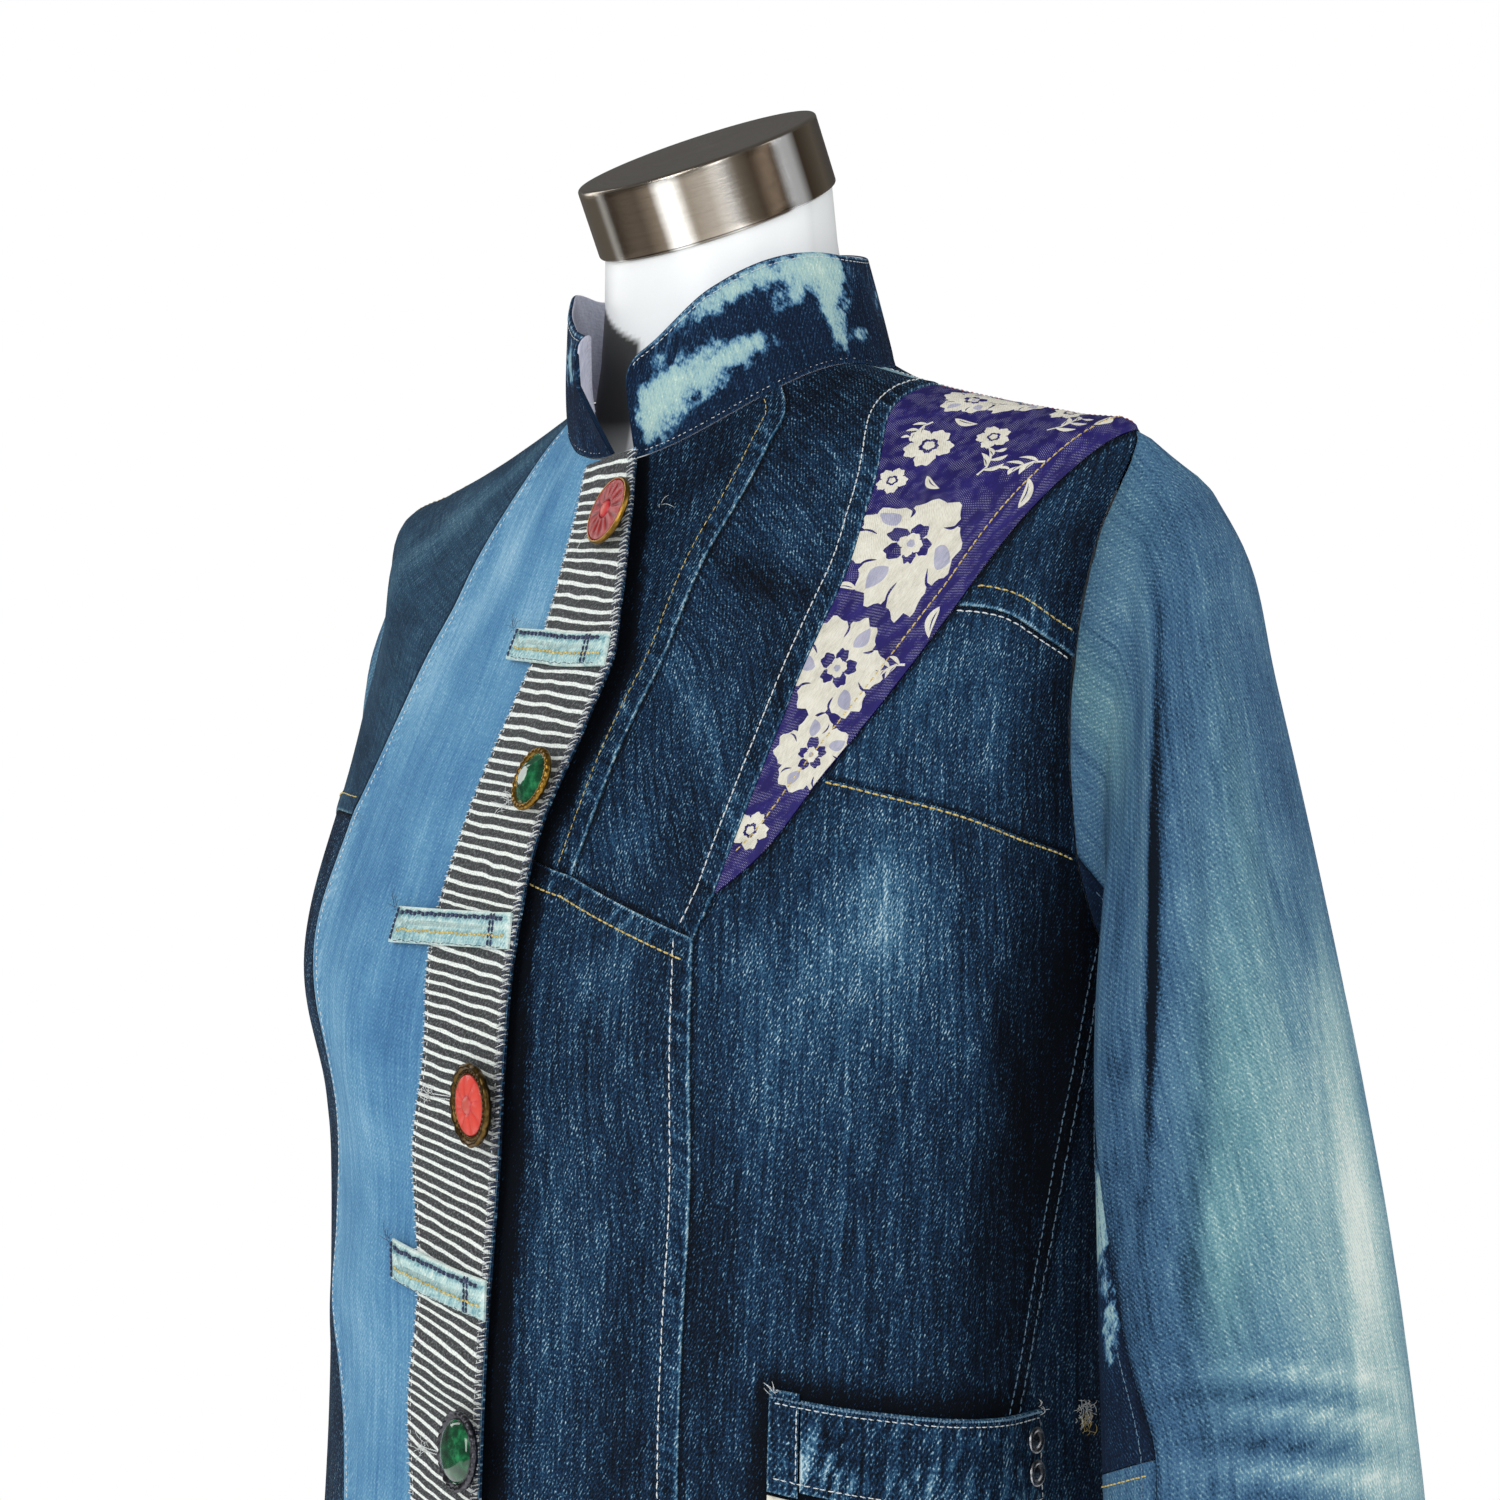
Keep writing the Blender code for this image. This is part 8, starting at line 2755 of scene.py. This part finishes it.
def sew_pocket(threads):
    """White rows along the pocket's band and bag, and blue ones over its top edge."""
    low = POCKET_BAND + POCKET_SEAM + POCKET_STRIP

    def sew_along(colour, ends, count, shift, out, *sizes):
        """Stitches shift metres below the pocket's top edge."""
        angles = np.linspace(POCKET_START + ends, POCKET_END - ends, count)
        places = np.column_stack([angles, pocket_top(angles) + shift])
        sew_line(threads, colour, places, out, *sizes)

    def sew_down(angle, first, last, count, out, *sizes):
        """Stitches straight down at one angle."""
        downs = np.linspace(first, last, count)
        sew_line(threads, "white", np.column_stack([0 * downs + angle, downs]), out, *sizes)

    for shift, out in ((0.0024, POCKET_OUT), (POCKET_BAND - 0.0030, POCKET_OUT),
                       (low + 0.0030, BAG_OUT), (low + 0.0820, BAG_OUT)):
        sew_along("white", 0.8, 60, shift, out, 2.4, 0.5, 0.50)
    sew_along("blue", 0.3, 90, 0.0008, POCKET_OUT - 0.0002, 0.8, 0.5, 0.95)
    for angle in (POCKET_START + POCKET_LOOP - 0.3, POCKET_END - 0.9):
        top = float(pocket_top(angle))
        sew_down(angle, top + 0.003, top + POCKET_BAND - 0.003, 14, POCKET_OUT, 2.2, 0.5,
                 0.45)
        sew_down(angle, top + low + 0.004, top + low + 0.08, 30, BAG_OUT, 2.4, 0.5, 0.50)


def sew_collar(threads):
    """White stitches inside the collar's edges."""
    for share in ("low", "top"):
        angles = np.linspace(COLLAR_LEFT_END + 3.5, COLLAR_RIGHT_END - 4, 420)
        up = np.full(len(angles), COLLAR_STITCH) if share == "low" else (
            collar_top(angles) - COLLAR_STITCH)
        points = collar_point(angles, up, collar_waves(angles, up) + 0.00002)
        beyond = collar_point(angles, up, collar_waves(angles, up) + 0.001)
        threads.stitch("white", points, unit(beyond - points), 0.0019, 0.0007, 0.00036)


def sew_sleeves(threads):
    """Rows along the sleeves' cuffs, armholes and front seams."""
    for side in SLEEVES:
        flip = MIRRORS[side]
        turns = np.linspace(0, 360, 260)
        rows = np.full(260, CUFF_ROW - 0.35)
        plans = [("white", turns, rows, 0.00062)]
        line = np.linspace(0.5, CUFF_ROW - 0.1, 200)
        seam = front_seam(side, line)
        plans.append(("blue", seam + 5.0, line, 0.00040))
        if side == "left":
            across = np.linspace(float(front_seam(side, np.array([CROSS_SEAM]))[0]) + 3,
                                 BACK_SEAM - 3.0, 120)
            plans.append(("gold", across, np.full(120, CROSS_SEAM + 0.07), 0.00062))
        for colour, turn, row, thick in plans:
            points = sleeve_point(turn, row, side)
            normals = sleeve_normal(turn, row, side)
            points = points + normals * (0.0006 if colour == "white" else 0.0001)
            threads.stitch(colour, points * flip, normals * flip, 0.0026, 0.0005, thick)


def loose_threads(threads):
    """Frayed buttonholes, worn corners and one loose thread."""
    for k, button in enumerate(BUTTONS):
        left = button.angle - 7.4
        down = button.down + (0.004 if k != 2 else -0.001)
        out = float(lap_out(np.array(left), np.array(down))) + STRIP_OUT
        fray(threads, "white", left, down, out, 20, 0.0032, 0.0015, 60 + k,
             pull=(-0.9, 0.1))
        slot = np.column_stack([np.linspace(left, button.angle - 4.0, 12),
                                np.full(12, down)])
        slot_out = lap_out(slot[:, 0], slot[:, 1]) + STRIP_OUT
        for shift in (-0.0006, 0.0006):
            row = slot + np.array([0, shift])
            sew_line(threads, "white", row, slot_out, 1.0, 0.15, 0.5)
    fray(threads, "white", 16.6, 0.0285, 0.0001, 3, 0.0050, 0.0002, 12, pull=(0.6, 0.7))
    fray(threads, "white", 88.8, 0.420, 0.0002, 44, 0.0022, 0.0022, 15, pull=(0.2, -0.6))
    fray(threads, "gold", 88.8, 0.423, 0.0002, 30, 0.0020, 0.0020, 18, pull=(0.2, -0.4))
    fray(threads, "white", 39.2, 0.384, POCKET_OUT, 8, 0.0016, 0.0010, 16, pull=(-0.4, 0.8))
    fray(threads, "white", 79.8, 0.416, POCKET_OUT, 7, 0.0015, 0.0010, 17, pull=(0.4, 0.8))


# Where the flowered cloth's motifs lie: kind, place, size in millimetres and turn
Motif = namedtuple("Motif", "kind angle down size turn")
MOTIFS = (
    Motif("blossom", 50.2, 0.1185, 25.0, 10),
    Motif("blossom", 43.6, 0.1500, 20.0, 64),
    Motif("half", 41.6, 0.1770, 15.5, -24),
    Motif("small", 34.6, 0.1925, 7.5, 0),
    Motif("small", 61.6, 0.0720, 10.5, 20),
    Motif("half", 80.0, 0.0560, 12.5, 150),
    Motif("spray", 60.5, 0.1035, 17.0, -30),
    Motif("spray", 74.0, 0.0980, 18.0, 8),
    Motif("small", 68.5, 0.0860, 7.0, 40),
    Motif("leaf", 56.5, 0.1500, 12.0, 128),
    Motif("leaf", 64.5, 0.1300, 12.0, -52),
    Motif("spray", 52.8, 0.1640, 11.0, 196),
    Motif("leaf", 44.0, 0.1240, 9.5, 215),
    Motif("leaf", 57.0, 0.0880, 10.0, 80),
    Motif("small", 86.0, 0.0900, 7.0, 15),
    Motif("leaf", 79.0, 0.1100, 12.0, -20),
    Motif("leaf", 70.0, 0.0640, 11.0, 60),
    Motif("half", 88.5, 0.0700, 11.0, 80),
    Motif("spray", 68.0, 0.1170, 13.0, 205),
    Motif("spray", 57.0, 0.1640, 13.0, 60),
    Motif("small", 53.5, 0.0800, 6.5, 10),
    Motif("spray", 67.0, 0.0600, 12.0, 170),
)


def petal_ring(size, lobes, depth, uneven, seed):
    """Outline of a blossom with rounded, slightly uneven petals."""
    random = np.random.default_rng(seed)
    tall = 1 + uneven * random.normal(0, 1, lobes)
    off = random.normal(0, 0.10, lobes)
    turn = np.linspace(0, 2 * math.pi, lobes * 14, endpoint=False)
    at = turn * lobes / (2 * math.pi)
    k = np.floor(at).astype(int) % lobes
    swing = np.abs(np.sin(np.pi * (at - np.floor(at)))) ** 0.55
    notch = 0.06 * np.cos(3 * 2 * np.pi * (at - np.floor(at)) + off[k])
    radius = size * (1 - depth + depth * swing * tall[k] + notch * swing)
    return np.stack([radius * np.cos(turn), radius * np.sin(turn)], -1)


def leaf_ring(long, wide, bend=0.2):
    """Outline of a pointed leaf from its foot to its tip."""
    share = np.linspace(0, 1, 13)
    half = wide * np.sin(np.pi * share) ** 0.75 * (1 - 0.35 * share)
    spine = bend * long * np.sin(np.pi * share * 0.8)
    right = np.stack([share * long, spine + half], -1)
    left = np.stack([share * long, spine - half], -1)[::-1][1:-1]
    return np.vstack([right, left])


def stem_ring(points, wide):
    """Outline of a thin stem through some points."""
    points = np.array(points, float)
    run = unit(np.gradient(points, axis=0))
    side = np.stack([-run[:, 1], run[:, 0]], -1) * wide
    return np.vstack([points + side, (points - side)[::-1]])


def turned(ring, degrees, shift=(0, 0)):
    """A ring turned and moved."""
    c, s = math.cos(math.radians(degrees)), math.sin(math.radians(degrees))
    return np.asarray(ring) @ np.array([[c, s], [-s, c]]) + np.array(shift)


def motif_rings(motif, seed):
    """Rings of one motif in millimetres, each with its colour: 0 ground, 1 pale, 2 grey."""
    r = motif.size
    rings = []
    if motif.kind in ("blossom", "half"):
        lobes = 6 if motif.kind == "blossom" else 5
        rings.append((petal_ring(r, lobes, 0.24, 0.07, seed), 1))
        for k in range(lobes):
            angle = 360 * k / lobes + 30
            grey = turned(leaf_ring(r * 0.44, r * 0.17, 0.15), angle, turned(
                [(r * 0.47, 0)], angle)[0])
            if k % 2 == 0:
                rings.append((grey, 2))
            gap = turned(leaf_ring(r * 0.30, r * 0.030, 0.25), angle + 26, turned(
                [(r * 0.56, 0)], angle + 26)[0])
            rings.append((gap, 0))
        rings.append((petal_ring(r * 0.40, 5, 0.52, 0.22, seed + 1), 0))
        rings.append((petal_ring(r * 0.20, 4, 0.28, 0.14, seed + 2), 1))
        rings.append((petal_ring(r * 0.07, 3, 0.20, 0.05, seed + 3), 2))
    elif motif.kind == "small":
        rings.append((petal_ring(r, 5, 0.34, 0.08, seed), 1))
        rings.append((petal_ring(r * 0.40, 5, 0.25, 0.08, seed + 1), 0))
        rings.append((petal_ring(r * 0.24, 5, 0.2, 0.08, seed + 2), 1))
    elif motif.kind == "leaf":
        rings.append((leaf_ring(r, r * 0.20), 1))
        rings.append((turned(leaf_ring(r * 0.66, r * 0.028, 0.13), 4, (r * 0.16, r * 0.03)),
                      0))
    else:
        stem = [(0, 0), (r * 0.3, r * 0.08), (r * 0.62, r * 0.02), (r * 0.98, -r * 0.14)]
        rings.append((stem_ring(stem, 0.45), 1))
        for share, side, long in ((0.18, 1, 0.52), (0.32, -1, 0.55), (0.55, 1, 0.45),
                                  (0.70, -1, 0.40), (0.92, 1, 0.30)):
            foot = (r * share, r * 0.05 * (1 - share))
            leaf = turned(leaf_ring(r * long, r * 0.085), side * 42, foot)
            rings.append((leaf, 1))
            vein = turned(leaf_ring(r * long * 0.55, r * 0.016, 0.1), side * 42,
                          (foot[0] + r * 0.04, foot[1]))
            rings.append((vein, 0))
    return rings


def motif_places():
    """The motifs' rings as places of the body, with the number of each one's material."""
    found = []
    for k, motif in enumerate(MOTIFS):
        step = 0.5
        drop = MILLIMETRE
        here = np.array([motif.angle, motif.down])
        by_angle = body_point(here[0] + step, here[1]) - body_point(here[0] - step, here[1])
        by_down = body_point(here[0], here[1] + drop) - body_point(here[0], here[1] - drop)
        per_degree = np.linalg.norm(by_angle)
        per_down = np.linalg.norm(by_down) / (2 * drop)
        lean = float((by_angle * by_down).sum()) / (per_degree * per_down * (2 * drop))
        for ring, mark in motif_rings(motif, 100 + 10 * k):
            flat = turned(ring, motif.turn) * MILLIMETRE
            down = flat[:, 1] / (per_down * math.sqrt(max(0.2, 1 - lean * lean)))
            across = flat[:, 0] - lean * flat[:, 1]
            places = here + np.stack([across / per_degree, down], -1)
            found.append((places, mark))
    return found


SHEET_SPARE = 1.01        # room left when a sheet's sides are enlarged to hold its area
LEAST_SIDE = 0.0105       # shortest side that is worked out


def declare_sheets():
    """Work out how wide and long each cloth piece was cut, grown to hold its area; nothing is
    kept.
    """
    for node, (width, length, area) in CUTS_SEEN.items():
        grown = max(1.0, math.sqrt(area / (width * length)) * SHEET_SPARE)
        width, length = width * grown, max(length * grown, LEAST_SIDE)


# Key of each thread's colour, name of its material and its three shades
THREAD_LOOKS = (
    ("gold", "thread_gold", "8a7430", "cdb25c", "f0e0a0"),
    ("white", "thread_white", "a9b3b8", "dfe4e4", "f6f7f4"),
    ("navy", "thread_navy", "0c1530", "1d2c52", "45597f"),
    ("blue", "thread_blue", "2c4764", "5a7f9c", "8fb0c2"),
    ("red_thread", "thread_red", "6d1720", "a8303a", "d4757a"),
)


def shades(*texts):
    """A ramp's stops for three colours, from the darkest to the palest."""
    return tuple(zip((0.1, 0.5, 0.9), texts))


def make_materials():
    """Every material of the scene under a short name."""
    looks = {name: denim("denim_" + name, dye) for name, dye in DYES.items()}
    looks["inside"] = back_cloth()
    looks["stripe"] = striped()
    looks["tape"] = plain_weave("tape_cream", shades("a8a595", "d9d6c6", "efece0"))
    looks["lining"] = plain_weave("collar_lining", shades("8d8fa6", "bfc1d3", "dcdde8"))
    looks["ground"] = brocade_ground()
    looks["cream"] = brocade_figure("brocade_cream", shades("a9a496", "dbd8c9", "f3f1e6"))
    looks["lavender"] = brocade_figure("brocade_lavender",
                                       shades("7d7d96", "a9a9bd", "c9c9d6"))
    for key, name, *texts in THREAD_LOOKS:
        looks[key] = thread_look(name, shades(*texts))
    looks["red"] = enamel("button_red_enamel", "5a0d0d", "981f1f", 420.0, "aa302a")
    looks["red_bright"] = enamel("button_red_centre", "6a0b10", "c42632", 700.0)
    looks["red_light"] = enamel("button_red_coral", "7a120e", "d0362a", 420.0, "da4a3c")
    looks["old_gold"] = metal("button_old_gold", "1d140c", "8a6c3c", 0.34, 900.0)
    looks["green"] = glass_stone("button_green_glass", "0a4a2c", "2c8a55")
    looks["gold_metal"] = metal("button_gold_metal", "4d3412", "c79a45", 0.32, 900.0)
    looks["pewter"] = metal("pewter_metal", "1e1f24", "6f6f76", 0.35, 900.0)
    looks["nickel"] = brushed("cap_brushed_nickel")
    looks["form"] = painted("form_shell_white", ((0.2, "eef2f3"), (0.8, "f9fbfb")), 0.42)
    looks["steel"] = metal("stand_brushed_steel", "8f9194", "c9cbcd", 0.28, 500.0, 0.2)
    return looks


def make_body(looks):
    """Every panel of the fronts and the back."""
    outline_fronts()
    outline_back()
    for name, panel in PANELS.items():
        if panel.look == "floral":
            continue
        look = "slubby" if name == "front_right_yoke" else panel.look
        layers = [looks[look], looks["inside"]]
        if name == "front_right_centre":
            layers.insert(1, looks["dark"])
        make_panel(name, layers)
    make_panel("applique_floral", [looks["ground"], looks["cream"], looks["lavender"],
                                   looks["inside"]], 0.0034,
               motif_places())


def make_sleeves(looks):
    """Both sleeves, with the left under one in two pieces."""
    upper = [looks["sleeve"], looks["inside"]]
    under = [looks["bleached"], looks["inside"]]
    make_sleeve_piece("sleeve_left_upper", "upper", "left", upper)
    make_sleeve_piece("sleeve_left_under", "under", "left", under,
                      last=CROSS_SEAM - CROSS_GAP)
    make_sleeve_piece("sleeve_left_under_low", "under", "left", upper,
                      first=CROSS_SEAM + CROSS_GAP)
    make_sleeve_piece("sleeve_right_upper", "upper", "right", upper)
    make_sleeve_piece("sleeve_right_under", "under", "right", under)


def make_buttons(looks):
    """The five buttons, each of its own kind."""
    kinds = {"carved": ("gold_metal", "red", "red_bright"),
             "scalloped": ("old_gold", "red_light", "red_bright"),
             "faceted": ("gold_metal", "green"),
             "beaded": ("pewter", "green")}
    for button in BUTTONS:
        names = kinds[button.make]
        make_button(button, [looks[name] for name in names])


def sew(looks):
    """Every stitch and loose thread."""
    threads = Threads()
    sew_panels(threads)
    sew_strip(threads)
    sew_tabs(threads)
    sew_pocket(threads)
    sew_collar(threads)
    sew_sleeves(threads)
    loose_threads(threads)
    threads.build(looks)


FLOOR_HALF = 3.0
FLOOR_DROP = 0.0005       # how far the floor lies below the base


def make_floor():
    """A plain pale floor."""
    half = FLOOR_HALF
    mesh = bpy.data.meshes.new("floor")
    mesh.from_pydata([(-half, -half, 0), (half, -half, 0), (half, half, 0), (-half, half, 0)],
                     [], [(0, 1, 2, 3)])
    floor = linked("floor", mesh)
    look = Look("floor_pale", 0.9)
    point = look.add("TexCoord").outputs["Object"]
    shade = look.noise(point, 3.0, 2.0, 0.5)
    look.shader.inputs["Emission Color"].default_value = (1.0, 1.0, 1.0, 1.0)
    look.shader.inputs["Emission Strength"].default_value = 0.30
    mesh.materials.append(look.finish(look.ramp(shade, ((0.3, "f1f1f1"), (0.7, "f6f6f6")))))
    floor.location = (0, 0, -FLOOR_DROP)


CAMERA_SIDE = math.radians(40.5)
CAMERA_TILT = math.radians(3.0)
CAMERA_AWAY = 1.2
CAMERA_HEIGHT = 1.184
CAMERA_SHIFT = 0.006
CAMERA_LENS = 67.08
CAMERA_SENSOR = 36.0


def camera_axes():
    """The camera's right, up and looking directions."""
    right = Vector((math.cos(CAMERA_SIDE), math.sin(CAMERA_SIDE), 0))
    look = Vector((-math.sin(CAMERA_SIDE) * math.cos(CAMERA_TILT),
                   math.cos(CAMERA_SIDE) * math.cos(CAMERA_TILT), math.sin(CAMERA_TILT)))
    return right, right.cross(look), look


def make_camera():
    """The camera at the photo's angle and framing."""
    right, up, look = camera_axes()
    data = bpy.data.cameras.new("camera")
    data.lens = CAMERA_LENS
    data.sensor_width = CAMERA_SENSOR
    camera = linked("camera", data)
    place = Matrix((right, up, -look)).transposed().to_4x4()
    place.translation = Vector((CAMERA_AWAY * math.sin(CAMERA_SIDE),
                                -CAMERA_AWAY * math.cos(CAMERA_SIDE),
                                CAMERA_HEIGHT)) + right * CAMERA_SHIFT
    camera.matrix_world = place
    bpy.context.scene.camera = camera


# Lights: metres to the camera's right, up and toward it from the chest, size and watts
LightPlan = namedtuple("LightPlan", "name right up near wide tall power")
LIGHTS = (
    LightPlan("key", -1.35, 0.95, 2.0, 0.7, 1.7, 20.0),
    LightPlan("front", 0.35, 0.55, 2.4, 0.35, 1.5, 7.0),
    LightPlan("fill", 1.9, 0.5, 1.0, 0.30, 1.8, 6.0),
    LightPlan("back", -1.6, 0.9, -1.2, 0.5, 1.6, 7.0),
)
CHEST = Vector((0.05, -0.10, 1.18))
ROOM_LIGHT = 0.70         # light of the surround on the cloth
ROOM_SEEN = 1.0           # as the camera sees it
ROOM_GLOSS = 0.12         # as shiny metal sees it


def make_lights():
    """Plain soft studio light and a white surround."""
    right, _, look = camera_axes()
    for plan in LIGHTS:
        data = bpy.data.lights.new(plan.name, "AREA")
        data.shape = "RECTANGLE"
        data.size = plan.wide
        data.size_y = plan.tall
        data.energy = plan.power
        lamp = linked(plan.name, data)
        offset = right * plan.right + Vector((0, 0, 1)) * plan.up - look * plan.near
        lamp.location = CHEST + offset
        lamp.rotation_euler = (-offset).to_track_quat("-Z", "Y").to_euler()
    world = bpy.data.worlds.new("studio")
    world.use_nodes = True
    shade = world.node_tree.nodes["Background"]
    shade.inputs["Color"].default_value = (1.0, 1.0, 1.0, 1.0)
    links = world.node_tree.links
    ray = world.node_tree.nodes.new("ShaderNodeLightPath")
    strengths = []
    for kind, light in (("Is Camera Ray", ROOM_SEEN), ("Is Glossy Ray", ROOM_GLOSS)):
        node = world.node_tree.nodes.new("ShaderNodeMath")
        node.operation = "MULTIPLY_ADD"
        node.inputs[1].default_value = light - ROOM_LIGHT
        node.inputs[2].default_value = ROOM_LIGHT
        links.new(ray.outputs[kind], node.inputs[0])
        strengths.append(node)
    links.new(strengths[0].outputs[0], strengths[1].inputs[2])
    links.new(strengths[1].outputs[0], shade.inputs["Strength"])
    bpy.context.scene.world = world
    bpy.context.scene.view_settings.view_transform = "Standard"


def main():
    """Dress the solids, stage them and finish."""
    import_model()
    looks = make_materials()
    make_body(looks)
    make_sleeves(looks)
    make_collar([looks["bleached"], looks["lining"]])
    make_strip([looks["stripe"], looks["inside"]])
    for tab in TABS:
        make_tab(tab, [looks["aqua"], looks["inside"]])
    make_pocket([looks["dark"], looks["inside"]], [looks["tape"], looks["inside"]])
    make_buttons(looks)
    for number, (angle, down) in enumerate(RIVETS, 1):
        make_rivet(number, angle, down, looks["steel"])
    make_form(looks["form"])
    make_cap(looks["nickel"])
    make_stand(looks["steel"])
    sew(looks)
    declare_sheets()
    make_floor()
    make_camera()
    make_lights()


main()
